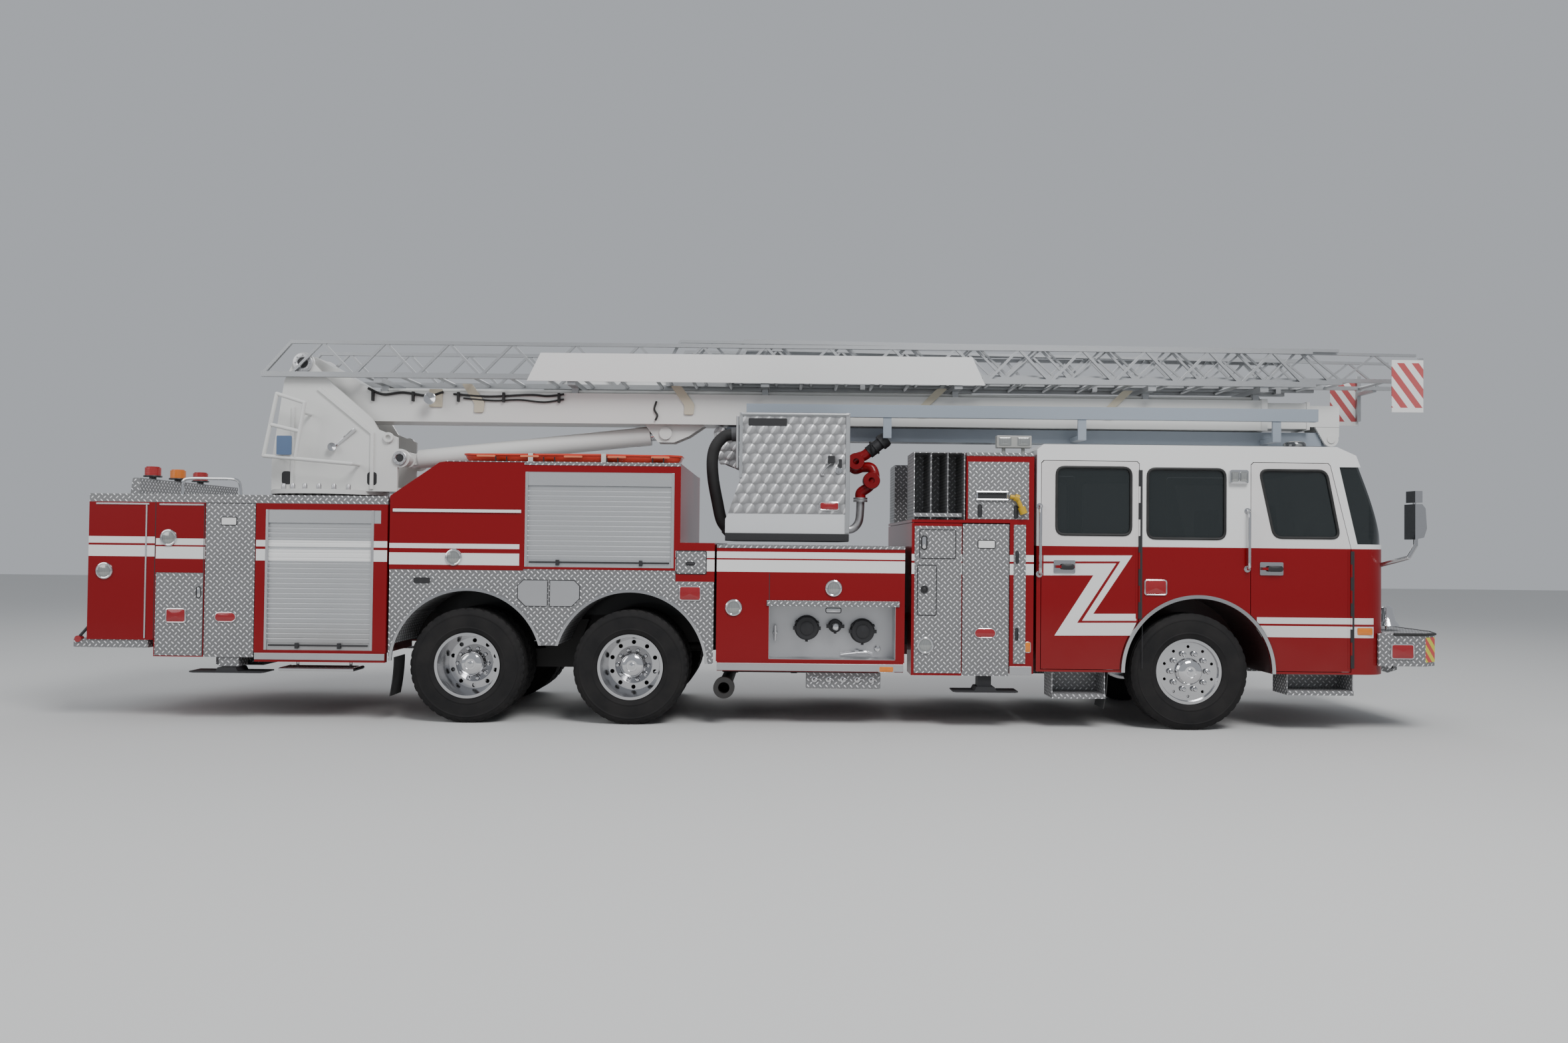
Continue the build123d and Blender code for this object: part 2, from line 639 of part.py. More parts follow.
def deck_plates():
    """Tread plate decks, the rear step, and the fixed half of the slewing ring with its pedestal plate."""
    deck = block((TAIL_X[0], MID_X[1]), (-HALF_WIDTH + 4, HALF_WIDTH - 4), (DECK_Z - DECK_EDGE, DECK_Z))
    pieces = deck + block((-6340, TAIL_X[0]), (-HALF_WIDTH + 20, HALF_WIDTH - 20), (653, 726))
    pieces += block((TAIL_X[0], -5662), (HALF_WIDTH - 280, HALF_WIDTH - 10), (653, 726))
    pieces += block((TAIL_X[0], -5662), (-HALF_WIDTH + 10, -HALF_WIDTH + 280), (653, 726))
    panel = block((-5595, TAIL_X[1] - 10), (HALF_WIDTH - PLATE, HALF_WIDTH), (587, 1336))
    return pieces + both_sides(panel)


def slewing_ring():
    """The toothed ring that the turret turns on, on its pedestal."""
    ring = rod_z(SLEW_X, 0, 520, (DECK_Z, 2095)) - rod_z(SLEW_X, 0, 380, (DECK_Z - 1, 2096))
    teeth = None
    for k in range(40):
        tooth = Pos(SLEW_X, 0, DECK_Z + 23) * Rot(0, 0, 9 * k) * Pos(530, 0, 0) * Box(30, 38, 40)
        teeth = tooth if teeth is None else teeth + tooth
    return ring + teeth


# Front knuckles
def knuckle(side):
    """Steered end of the front axle: yoke on the kingpin, brake backing plate and spindle."""
    z = FRONT_TYRE_R
    x = (FRONT_AXLE_X - 42, FRONT_AXLE_X + 42)
    plate_y = (side * (KINGPIN_Y + 56), side * (KINGPIN_Y + 84))
    body = block(x, (side * (KINGPIN_Y - 42), plate_y[1]), (z - 105, z - 62))
    body += block(x, (side * (KINGPIN_Y - 42), plate_y[1]), (z + 62, z + 105))
    body += block(x, plate_y, (z - 105, z + 105))
    body += rod_y(FRONT_AXLE_X, z, 200, (plate_y[1], plate_y[1] + side * 12))
    body += rod_y(FRONT_AXLE_X, z, SPINDLE_R, (plate_y[0], side * (FRONT_WHEEL_Y + 55)))
    return body - rod_z(FRONT_AXLE_X, side * KINGPIN_Y, 22 + FIT, (z - 106, z + 106))


# Cab
CAB_CORNER = 240.0
CAB_FRONT_X = 5620.0
CAB_FLOOR = (FRAME_Z[1], 985.0)
CAB_ARCH = (FRONT_AXLE_X + 64.0, FRONT_TYRE_R, 668.0)
ARCH_DEPTH_Y = 470.0
REAR_WINDOW = ((2576, 1767), (3254, 1767), (3254, 2380), (2576, 2380))
FRONT_WINDOW = ((4555, 1758), (5150, 1758), (5028, 2371), (4420, 2371))
CAB_DOORS = (
    # name, rear X, front X, how far the front edge leans back, window outline in X and Z, Z range of
    # the hinge, distance of the handle from the rear edge
    ("rear", 2441.0, 3325.0, 0.0, REAR_WINDOW, (1010.0, 2360.0), 125.0),
    ("front", 4345.0, DOOR_FRONT_X, 190.0, FRONT_WINDOW, (580.0, 1640.0), 93.0),
)
WINDOW_R = 62.0
DOOR_Z = (548.0, 2436.0)
FIXED_WINDOW = ((3404, 1740), (4110, 1740), (4110, 2374), (3404, 2374))
SCREEN_X = (5311.0, 5146.0)      # rear edge of the windscreen at its foot and at its top
SCREEN_Z = (1704.0, 2405.0)
NOSE_LEAN = 321.0                # how far the front leans back between the belt and the brow
BROW_Z = 2510.0
BROW_RUN = 174.0


def cab_form(inset):
    """The cab's outer form, or the same form moved inwards by an even wall."""
    rear = CAB_X[0] + inset
    front = CAB_FRONT_X - inset
    half = HALF_WIDTH - inset
    corners = [(rear, -half, 0), (front, -half, 0), (front, half, 0), (rear, half, 0)]
    plan = make_face(Polyline(*corners, close=True))
    corners = plan.vertices().sort_by(Axis.X)[-2:]
    plan = fillet(corners, CAB_CORNER - inset)
    tower = Pos(0, 0, SKIRT_Z - 17) * extrude(plan, 2200, dir=(0, 0, 1))
    low = SKIRT_Z - 17 + (0 if inset == 0 else -1)
    outline = [
        (rear, low), (front, low), (front, BELT_Z), (front - NOSE_LEAN, BROW_Z - inset * 0.4),
        (front - NOSE_LEAN - BROW_RUN, CAB_TOP_Z - inset), (rear + 60, CAB_TOP_Z - inset),
        (rear, CAB_TOP_Z - inset - 50),
    ]
    return tower & side_prism(outline, (-HALF_WIDTH - 1, HALF_WIDTH + 1))


def door_outline(rear, front, lean, grow):
    """A door's edge in X and Z. The front edge may lean back above the belt, and the top corners are cut."""
    cut = 22
    top = DOOR_Z[1] + grow
    return [
        (rear - grow, DOOR_Z[0] - grow), (front + grow, DOOR_Z[0] - grow), (front + grow, BELT_Z),
        (front + grow - lean, top - cut), (front + grow - lean - cut, top), (rear - grow + cut, top),
        (rear - grow, top - cut),
    ]


def cab_shell():
    """The hollow cab with its floor, doors, windows and wheel openings cut out."""
    ax, az, ar = CAB_ARCH
    shell = cab_form(0) - cab_form(WALL)
    floor = cab_form(WALL) & block((0, 6000), (-HALF_WIDTH, HALF_WIDTH), CAB_FLOOR)
    shell = shell + floor
    box = rod_y(ax, az, ar + 35, (ARCH_DEPTH_Y, HALF_WIDTH))
    box &= block((0, 6000), (0, HALF_WIDTH), (SKIRT_Z - 17, 3000))
    shell += both_sides(box)
    for rear, front, lean in ((d[1], d[2], d[3]) for d in CAB_DOORS):
        hole = side_prism(door_outline(rear, front, lean, SEAM), (HALF_WIDTH - WALL - 1, HALF_WIDTH + 1))
        hole -= rod_y(ax, az, ar + 34, (0, HALF_WIDTH + 2))
        shell -= both_sides(hole)
    shell -= both_sides(rod_y(ax, az, ar, (ARCH_DEPTH_Y + 8, HALF_WIDTH + 1)))
    shell -= both_sides(rounded_prism(FIXED_WINDOW, WINDOW_R, (HALF_WIDTH - WALL - 1, HALF_WIDTH + 1)))
    shell -= screen_zone()
    engine_x = (ENGINE_X[0] - 40, ENGINE_X[1] + 60)
    shell -= block(engine_x, (-360, 360), (CAB_FLOOR[0] - 1, CAB_FLOOR[1] + 1))
    for x in ((CAB_FRONT_X - WALL - 1, CAB_FRONT_X + 1), (CAB_X[0] - 1, CAB_X[0] + WALL + 1)):
        shell -= block(x, (-TUNNEL_HALF, TUNNEL_HALF), (SKIRT_Z - 18, CAB_FLOOR[0]))
    return shell


def screen_zone():
    """The space that the wrapped windscreen fills."""
    (low, high) = SCREEN_Z
    return side_prism(
        [(SCREEN_X[0], low), (6000, low), (6000, high), (SCREEN_X[1], high)], (-HALF_WIDTH - 1, HALF_WIDTH + 1)
    )


def cab_glass():
    """Curved windscreen and the fixed side windows."""
    band = cab_form(14) - cab_form(26)
    side = both_sides(rounded_prism(FIXED_WINDOW, WINDOW_R, (HALF_WIDTH - 26, HALF_WIDTH - 14)))
    return (band & screen_zone()) + side


HINGE_DX = 3.0
HINGE_DY = 9.0
HINGE_R = 8.0
HINGE_PIN_R = 4.5
HINGE_LEAF = (26.0, 3.0)     # width and thickness of a hinge leaf


def hinge_parts(z_range, moving):
    """Z ranges of the knuckles of the door's half or of the fixed half of a long hinge."""
    count = 9
    pitch = (z_range[1] - z_range[0]) / count
    first = 1 if moving else 0
    return [(z_range[0] + k * pitch + 1, z_range[0] + (k + 1) * pitch - 1) for k in range(first, count, 2)]


def hinge_half(front, z_range, moving):
    """One half of a long hinge on the left side: a leaf on the panel and its knuckles."""
    x, y = front + HINGE_DX, HALF_WIDTH + HINGE_DY
    width, thick = HINGE_LEAF
    far = front - width if moving else front + SEAM + width
    near = front - 4 if moving else front + SEAM + 4
    half = block((far, near), (HALF_WIDTH, HALF_WIDTH + thick), z_range)
    for low, high in hinge_parts(z_range, moving):
        half += rod_z(x, y, HINGE_R, (low, high))
        half += block((near, x), (HALF_WIDTH + 1.5, HALF_WIDTH + thick + 1), (low, high))
    if moving:
        return half - rod_z(x, y, HINGE_PIN_R + FIT / 3, (z_range[0] - 1, z_range[1] + 1))
    return half + rod_z(x, y, HINGE_PIN_R, z_range)


def door(number, side):
    """One cab door with its window cut out, its handle and the moving half of its long hinge."""
    name, rear, front, lean, window, hinge_z, handle = CAB_DOORS[number]
    ax, az, ar = CAB_ARCH
    leaf = side_prism(door_outline(rear, front, lean, 0), (HALF_WIDTH - WALL, HALF_WIDTH))
    leaf -= rod_y(ax, az, ar + 42, (0, HALF_WIDTH + 1))
    leaf -= rounded_prism(window, WINDOW_R, (0, HALF_WIDTH + 1))
    pull = rear + handle
    leaf += block((pull, pull + 170), (HALF_WIDTH + 28, HALF_WIDTH + 42), (1463, 1487))
    for x in (pull, pull + 150):
        leaf += block((x, x + 20), (HALF_WIDTH, HALF_WIDTH + 30), (1463, 1487))
    leaf += hinge_half(front, hinge_z, True)
    return mirror(leaf, Plane.XZ) if side < 0 else leaf


def door_hinges():
    """The fixed halves of the door hinges, with their pins."""
    hinges = None
    for name, rear, front, lean, window, hinge_z, handle in CAB_DOORS:
        half = hinge_half(front, hinge_z, False)
        hinges = half if hinges is None else hinges + half
    return both_sides(hinges)


def cab_interior():
    """Engine cover, dash with its sloping face, and the seat boxes."""
    cover = block((ENGINE_X[0] - 100, ENGINE_X[1] + 120), (-400, 400), (CAB_FLOOR[1], 1360))
    cover -= block((ENGINE_X[0] - 80, ENGINE_X[1] + 100), (-380, 380), (CAB_FLOOR[1] - 1, 1340))
    dash = side_prism(
        [(5200, 1240), (5560, 1100), (5560, 1640), (5420, 1640), (5180, 1520)],
        (-970, 970),
    )
    stand = block((5400, 5560), (-970, 970), (CAB_FLOOR[1], 1110))
    boxes = block((2460, 2900), (-1090, 1090), (CAB_FLOOR[1], 1330))
    boxes += both_sides(block((4560, 4960), (490, 960), (CAB_FLOOR[1], 1300)))
    return cover + dash + stand + boxes


def seat_form(x, y, low, width):
    """A cushion with a rounded front and a leaning backrest."""
    outline = [
        (x, low), (x + 470, low), (x + 500, low + 40), (x + 500, low + 90), (x + 470, low + 120),
        (x + 130, low + 120), (x + 70, low + 760), (x - 20, low + 760), (x - 40, low + 90),
    ]
    return side_prism(outline, (y - width / 2, y + width / 2))


def cab_seats():
    """Two front seats and a crew bench of four."""
    seats = both_sides(seat_form(4600, 725, 1300, 470))
    for y in (-810, -270, 270, 810):
        seats += seat_form(2510, y, 1330, 520)
    return seats


def steering_wheel():
    """Rim, two spokes and column in front of the driver on the left."""
    tilt = Pos(5010, 725, 1590) * Rot(0, -28, 0)
    ring = tilt * (Torus(215, 15) + Box(28, 400, 14) + Cylinder(50, 50))
    column = pipe((5010, 725, 1590), (5240, 725, 1405), 26)
    return ring + (column - block((5190, 5600), (-970, 970), (1240, 1640)))


def engine_block():
    """The engine and gearbox as one plain block between the rails."""
    return block(ENGINE_X, (-FRAME_Y[0], FRAME_Y[0]), (640, 1300))


def cab_trim():
    """Wheel arch lips, grille with bars, lamp housings and the lower sill of the cab."""
    ax, az, ar = CAB_ARCH
    lip = rod_y(ax, az, ar + 32, (HALF_WIDTH, HALF_WIDTH + 22))
    lip -= rod_y(ax, az, ar, (HALF_WIDTH - 1, HALF_WIDTH + 23))
    lip &= block((0, 6000), (0, 2000), (SKIRT_Z - 17, 3000))
    face = CAB_FRONT_X
    grille = block((face, face + 14), (-560, 560), (960, 1520))
    grille -= block((face - 1, face + 15), (-530, 530), (990, 1490))
    for k in range(8):
        z = 1010 + 62 * k
        grille += side_prism([(face, z), (face + 12, z - 14), (face + 12, z + 6), (face, z + 20)], (-535, 535))
    lamps = both_sides(block((face, face + 40), (640, 950), (960, 1200)))
    return both_sides(lip), grille, lamps


STEPS = (
    # X range and lower Z of a boarding step
    ((2545.0, 3030.0), 282.0),
    ((4680.0, 5281.0), 332.0),
)


def cab_steps():
    """Boarding steps of tread plate under the doors."""
    steps = None
    for x, low in STEPS:
        top = SKIRT_Z - 17
        step = block(x, (HALF_WIDTH - 330, HALF_WIDTH - 322), (low, top))
        step += block(x, (HALF_WIDTH - 330, HALF_WIDTH - 5), (low, low + 40))
        step += block((x[0], x[0] + 8), (HALF_WIDTH - 330, HALF_WIDTH - 20), (low, top))
        step += block((x[1] - 8, x[1]), (HALF_WIDTH - 330, HALF_WIDTH - 20), (low, top))
        step += block(x, (HALF_WIDTH - 330, HALF_WIDTH - 40), (top - 8, top))
        steps = step if steps is None else steps + step
    return both_sides(steps)


def front_bumper():
    """Deep bumper ahead of the cab, hollow behind, with two towing eyes under it."""
    low, high = 604, 899
    outer = plan_prism(
        [
            (BUMPER_X[0], -HALF_WIDTH), (BUMPER_X[1] - 210, -HALF_WIDTH), (BUMPER_X[1] - 80, -1130),
            (BUMPER_X[1], -900), (BUMPER_X[1], 900), (BUMPER_X[1] - 80, 1130),
            (BUMPER_X[1] - 210, HALF_WIDTH), (BUMPER_X[0], HALF_WIDTH),
        ],
        (low, high),
    )
    clear = cab_form(-8)
    hollow = block((5641, BUMPER_X[1] - 30), (-870, 870), (low - 1, high - 8))
    bumper = outer - clear - hollow
    for side in (-1, 1):
        y = side * sum(FRAME_Y) / 2
        bumper -= block((5000, FRAME_X[1]), (y - 45, y + 45), (FRAME_Z[0] - 5, FRAME_Z[1] + 1))
        bumper += block((FRAME_X[1], BUMPER_X[1] - 30), (y - 36, y + 36), (FRAME_Z[0] + 10, high - 8))
        root_z = FRAME_Z[0] + 60
        eye = side_prism(
            [(5700, 560), (5960, 470), (6050, 500), (6050, 570), (5880, root_z), (5700, root_z)],
            (y + side * 62, y + side * 92),
        )
        bumper += eye - rod_y(TOW_X, TOW_Z, TOW_R, (y - 200, y + 200))
        bumper += block((5700, 5900), (y + side * 40, y + side * 92), (FRAME_Z[0], FRAME_Z[0] + 60))
    return bumper


TOW_X = 5990.0
TOW_Z = 535.0
TOW_R = 26.0


def mirrors():
    """Tall mirror heads on bent arms ahead of the doors."""
    (x, y) = (5770, HALF_WIDTH + 130)
    side = [(x - 52, 1752), (x + 26, 1770), (x + 52, 1850), (x + 40, 2030), (x + 10, 2068), (x - 52, 2068)]
    head = side_prism(side, (y - 95, y + 95)) + block((x - 45, x + 20), (y - 80, y + 80), (2082, 2186))
    arm = pipe((5560, 1120, 1515), (5705, y, 1590), 20) + pipe((5705, y, 1590), (x, y, 1700), 20)
    arm += pipe((x, y, 1700), (x, y, 1760), 20) + pipe((x - 10, y, 2060), (x - 10, y, 2090), 14)
    arm += Pos(5705, y, 1590) * Sphere(20) + Pos(x, y, 1700) * Sphere(20)
    return both_sides(head + (arm - cab_form(0)))


# Outriggers
def beam_x(row, side):
    """X range of the sliding beam of one side. The two beams of a pair lie one behind the other."""
    middle = sum(row[1]) / 2
    centre = middle + side * 125
    return (centre - BEAM_WIDTH / 2, centre + BEAM_WIDTH / 2)


def outrigger_boxes():
    """Crosswise tubes under the rails that the beams slide in."""
    boxes = None
    play = 5.0
    for row in OUTRIGGERS:
        low, high = row[4]
        for side in (-1, 1):
            x = beam_x(row, side)
            outer = block(
                (x[0] - play - BOX_WALL, x[1] + play + BOX_WALL),
                (-970, 970),
                (low - FIT - BOX_WALL, high + play + BOX_WALL),
            )
            outer -= block((x[0] - play, x[1] + play), (-971, 971), (low - FIT, high + play))
            for y in (-390, 390):
                outer += block((x[0], x[1]), (y - 38, y + 38), (high + play + BOX_WALL, FRAME_Z[0]))
            boxes = outer if boxes is None else boxes + outer
    return boxes


def outrigger_beam(row, side):
    """Sliding beam with the upright jack tube and the body-coloured cover at its end."""
    middle = sum(row[1]) / 2
    x = beam_x(row, side)
    low, high = row[4]
    leg_y = (side * (HALF_WIDTH - 14), side * (HALF_WIDTH - 14 - LEG_SIZE))
    beam = block(x, (leg_y[1], -side * 900), (low, high))
    wide = (min(x[0], middle - 90), max(x[1], middle + 90))
    beam += block(wide, (leg_y[1], leg_y[1] - side * 14), (low, high))
    leg = block((middle - LEG_SIZE / 2, middle + LEG_SIZE / 2), leg_y, (low, 1700))
    cover = block(row[1], (side * (HALF_WIDTH - 14), side * HALF_WIDTH), (row[2][0], row[2][1] - 5))
    return beam + leg + cover - jack_bar(row, side, FIT, 1701)


def jack_bar(row, side, grow, top):
    """The square jack bar, or the bore it slides in."""
    middle = sum(row[1]) / 2
    half = 62 + grow
    y = side * (HALF_WIDTH - 14 - LEG_SIZE / 2)
    return block((middle - half, middle + half), (y - half, y + half), (row[3] + 40, top))


def outrigger_jack(row, side):
    """Jack bar with its wide foot."""
    middle = sum(row[1]) / 2
    y = side * (HALF_WIDTH - 14 - LEG_SIZE / 2)
    half, low = row[5] / 2, row[3]
    foot = side_prism(
        [
            (middle - half, low + 4), (middle - half + 30, low), (middle + half - 30, low),
            (middle + half, low + 4), (middle + half, low + 16), (middle + 100, low + 16),
            (middle + 82, low + 50), (middle - 82, low + 50), (middle - 100, low + 16), (middle - half, low + 16),
        ],
        (y - 130, y + 90) if side < 0 else (y - 90, y + 130),
    )
    return foot + jack_bar(row, side, 0, 1640)


# Roof gear
LIGHT_BOX_X = (-5931.0, -5863.0)
LIGHT_BOX_TOP = 2205.0
BEACON_R = 71.0


def light_box():
    """Narrow riser across the rear deck with three round beacons on it."""
    x0, x1 = LIGHT_BOX_X
    top = LIGHT_BOX_TOP
    box = side_prism([(x0 - 20, DECK_Z), (x1, DECK_Z), (x1, top), (x0, top)], (-1020, 963))
    beacons = None
    for y in (-735, -266, 189):
        x = (x0 + x1) / 2
        lens = rod_z(x, y, BEACON_R, (top + 35, top + 110))
        lens += rod_z(x, y, BEACON_R - 12, (top + 110, top + 120))
        beacon = lens + rod_z(x, y, 32, (top, top + 20)) + rod_z(x, y, 48, (top + 20, top + 35))
        beacons = beacon if beacons is None else beacons + beacon
    return box, beacons


BASKET_X = (-2880.0, -849.0)
BASKET_Y = (-1120.0, -600.0)
BASKET_Z = (UPPER_Z, 2460.0)


def litter_basket():
    """Moulded rescue litter, an open shell with a raised rim, lying on the upper lockers."""
    (x0, x1), (y0, y1), (z0, z1) = BASKET_X, BASKET_Y, BASKET_Z

    def hull(inset, low, high):
        """The litter's tapered outline in plan."""
        return plan_prism(
            [
                (x0 + inset, y0 + 120 + inset), (x0 + 90 + inset, y0 + 30 + inset), (x1 - 700, y0 + inset),
                (x1 - 140, y0 + inset), (x1 - inset, y0 + 130 + inset), (x1 - inset, y1 - 130 - inset),
                (x1 - 140, y1 - inset), (x1 - 700, y1 - inset), (x0 + 90 + inset, y1 - 30 - inset),
                (x0 + inset, y1 - 120 - inset),
            ],
            (low, high),
        )

    return hull(24, z0, z1) + (hull(0, z1 - 26, z1)) - hull(36, z0 + 14, z1 + 1)


# Turret
CHEEK_Y = (285.0, 320.0)
PIVOT_R = 50.0
CYLINDER_PIN_R = 42.0
CHEEK_OUTLINE = (
    (-4949, 2170), (-4949, 2424), (-4840, 3215), (-4756, 3390), (-4556, 3390), (-4361, 3184), (-3975, 2854),
    (-3905, 2742), (-3712, 2664), (-3712, 2170),
)


def turret():
    """Turntable with its two cheeks, the pins they carry, and the tube-framed control stand on the right."""
    pivot_x, pivot_z = PIVOT
    body = rod_z(SLEW_X, 0, 560, (2095 + FIT, 2140))
    body += block((-4949, -3712), (-CHEEK_Y[1], CHEEK_Y[1]), (2130, 2170))
    cheek = side_prism(CHEEK_OUTLINE, CHEEK_Y) + rod_y(pivot_x, pivot_z, 105, CHEEK_Y)
    cheek += rod_y(BARREL_PIN[0], BARREL_PIN[1], 92, CHEEK_Y)
    body += both_sides(cheek)
    body += rod_y(pivot_x, pivot_z, PIVOT_R, (-CHEEK_Y[1] - 12, CHEEK_Y[1] + 12))
    body += rod_y(BARREL_PIN[0], BARREL_PIN[1], CYLINDER_PIN_R, (-CHEEK_Y[1] - 10, CHEEK_Y[1] + 10))
    body += block((-4935, -4905), (-CHEEK_Y[0], CHEEK_Y[0]), (2170, 2420))
    return body + control_stand()


STAND_Y = -520.0
STAND_TUBE = 19.0
STAND_BARS = (
    # start and end of one tube of the control stand, in X and Z
    ((-4945.0, 2456.0), (-4826.0, 3059.0)),
    ((-4826.0, 3059.0), (-4557.0, 2975.0)),
    ((-4557.0, 2975.0), (-4640.0, 2431.0)),
    ((-4945.0, 2456.0), (-4093.0, 2386.0)),
    ((-4885.0, 2760.0), (-4600.0, 2695.0)),
)


def control_stand():
    """Guard of bent tube beside the right cheek, with the bare plate that it carries."""
    stand = block((-4820, -4660), (STAND_Y - 6, STAND_Y + 6), (2446, 2640))
    for start, end in STAND_BARS:
        stand += pipe((start[0], STAND_Y, start[1]), (end[0], STAND_Y, end[1]), STAND_TUBE)
        for x, z in (start, end):
            stand += Pos(x, STAND_Y, z) * Sphere(STAND_TUBE)
    for x, z in ((-4860.0, 2449.0), (-4093.0, 2386.0), (-4572.0, 2880.0)):
        stand += rod_y(x, z, STAND_TUBE - 3, (STAND_Y, -CHEEK_Y[0] - 10))
    return stand


# Boom
BOOM_X = (-4350.0, 4900.0)
EYE_HALF = 80.0
BRACKET_Y = (92.0, 122.0)
LUG_Y = (122.0, 150.0)
KNUCKLE_R = 40.0
CAGE_PIN_R = 34.0


def boom_tube():
    """Boom with its pivot lug, the two sections that stick out of it, the lift bracket and the knuckle."""
    pivot_x, pivot_z = PIVOT
    low, high = BOOM_Z
    tube = block(BOOM_X, (-BOOM_HALF, BOOM_HALF), BOOM_Z)
    tube += block((BOOM_X[1] - 60, BOOM_X[1]), (-BOOM_HALF - 14, BOOM_HALF + 14), (low - 4, high + 14))
    tube += block((BOOM_X[1], 5330), (-BOOM_HALF + 24, BOOM_HALF - 24), (low + 22, high - 22))
    tube += block((5300, 5330), (-BOOM_HALF + 12, BOOM_HALF - 12), (low + 10, high - 10))
    tube += block((5330, 5640), (-BOOM_HALF + 46, BOOM_HALF - 46), (low + 44, high - 44))
    lug = side_prism(
        [(-4740, 3440), (-4590, 3470), (-4000, high), (-4000, low), (BOOM_X[0], low), (-4640, 3290)],
        (-BOOM_HALF, BOOM_HALF),
    )
    tube += lug + rod_y(pivot_x, pivot_z, 92, (-CHEEK_Y[0] + 5, CHEEK_Y[0] - 5))
    tube -= rod_y(pivot_x, pivot_z, PIVOT_R + FIT, (-CHEEK_Y[0], CHEEK_Y[0]))
    bracket = side_prism(
        [(-1300, low), (-700, low), (-860, low - 110), (-1010, ROD_PIN[1] - 90), (-1170, ROD_PIN[1] - 90)],
        BRACKET_Y,
    )
    bracket += rod_y(ROD_PIN[0], ROD_PIN[1], 62, (BRACKET_Y[0], BRACKET_Y[1] + 22))
    tube += both_sides(bracket)
    cheek = side_prism(
        [
            (5380, low + 80), (5640, low + 80), (5640, KNUCKLE[1] + 30), (5600, KNUCKLE[1] - 50),
            (5500, KNUCKLE[1] - 50),
        ],
        LUG_Y,
    )
    cheek += rod_y(KNUCKLE[0], KNUCKLE[1], 74, LUG_Y)
    tube += both_sides(cheek)
    return tube + rod_y(KNUCKLE[0], KNUCKLE[1], KNUCKLE_R, (-LUG_Y[1] - 10, LUG_Y[1] + 10))


LADDER = (
    # X range, rail distance from the middle, lower rail Z, upper rail Z at the back and front, rail size,
    # start of the upper rail ahead of the lower one
    ((-5045.0, 5301.0), 370.0, 3270.0, (3590.0, 3590.0), 50.0, 285.0),
    ((-1137.0, 5586.0), 318.0, 3300.0, (3640.0, 3615.0), 42.0, 190.0),
    ((-501.0, 6371.0), 270.0, 3326.0, (3665.0, 3583.0), 38.0, 190.0),
)
RUNG_PITCH = 360.0
TRUSS_PITCH = 607.0
RUNG_R = 17.0
RUNGS_FROM_X = -4060.0        # the turret cheeks stand between the rails behind this


def ladder_section(row):
    """One ladder section: lower and upper rails, a truss between them on both sides, and its rungs."""
    (x0, x1), y, low, (top_back, top_front), size, lead = row
    half = size / 2
    side = block((x0, x1), (y - half, y + half), (low - half, low + half))
    side += bar((x0 + lead, y, top_back), (x1 - 30, y, top_front), size * 0.7, size * 0.7)
    side += bar((x0 + 12, y, low), (x0 + lead + 8, y, top_back), size * 0.7, size * 0.6)
    count = int((x1 - x0 - lead - 210) / TRUSS_PITCH)
    pitch = (x1 - x0 - lead - 110) / count
    for k in range(count):
        start = x0 + lead + k * pitch
        rise = top_back + (top_front - top_back) * (k + 0.5) / count
        side += bar((start, y, low), (start + pitch / 2, y, rise), size * 0.5, size * 0.5)
        side += bar((start + pitch / 2, y, rise), (start + pitch, y, low), size * 0.5, size * 0.5)
    section = both_sides(side)
    first = max(x0 + 60, RUNGS_FROM_X)
    rungs = int((x1 - first - 60) / RUNG_PITCH)
    for k in range(rungs + 1):
        section += rod_y(first + k * RUNG_PITCH, low, RUNG_R, (-y, y))
    return section


def ladder():
    """Three nested ladder sections on posts along the boom, with the water pipe beside the boom."""
    high = BOOM_Z[1]
    (x0, x1), y, low, tops, size, lead = LADDER[0]
    whole = None
    for row in LADDER:
        section = ladder_section(row)
        whole = section if whole is None else whole + section
    for x in (-3900, -2000, -100, 1800, 3700, 4800):
        whole += block((x - 40, x + 40), (-y - 10, y + 10), (high + 60, low - size / 2))
        whole += both_sides(block((x - 30, x + 30), (110, 170), (high, high + 60)))
    for x in (900, 3300, 5200):
        whole += both_sides(block((x - 25, x + 25), (LADDER[2][1] - 19, y), (low - 8, LADDER[2][2] - 18)))
    whole += rod_x(BOOM_HALF + 72, 2950, 50, (-3600, 5100))
    for x in (-3400, -500, 2400, 4600):
        whole += block((x - 20, x + 20), (BOOM_HALF, BOOM_HALF + 40), (2925, 2975))
    tip_x = LADDER[2][0][1]
    for side in (-1, 1):
        whole += block((tip_x - 190, tip_x - 150), (side * 270, side * 640), (3290, 3326))
        whole += block((tip_x - 190, tip_x - 150), (side * 600, side * 640), (3021, 3500))
    return whole


def ladder_panels():
    """Plain side panels on the base ladder and the two striped boards at the ladder's tip."""
    rail = LADDER[0][1] + LADDER[0][4] / 2
    panel = side_prism([(-2433, 3227), (-2300, 3502), (1930, 3502), (2059, 3227)], (rail, rail + 8))
    tip_x = LADDER[2][0][1]
    board = block((tip_x - 458, tip_x - 157), (640, 652), (2977, 3478))
    return both_sides(panel), both_sides(board)


CYLINDER_R = 95.0
ROD_R = 55.0
ROD_EYE_R = 66.0
BARREL_LENGTH = 2430.0


def along_cylinder(distance):
    """A point on the lift cylinder's centre line, measured from its lower pin."""
    dx, dz = ROD_PIN[0] - BARREL_PIN[0], ROD_PIN[1] - BARREL_PIN[1]
    length = hypot(dx, dz)
    return (BARREL_PIN[0] + dx * distance / length, 0, BARREL_PIN[1] + dz * distance / length)


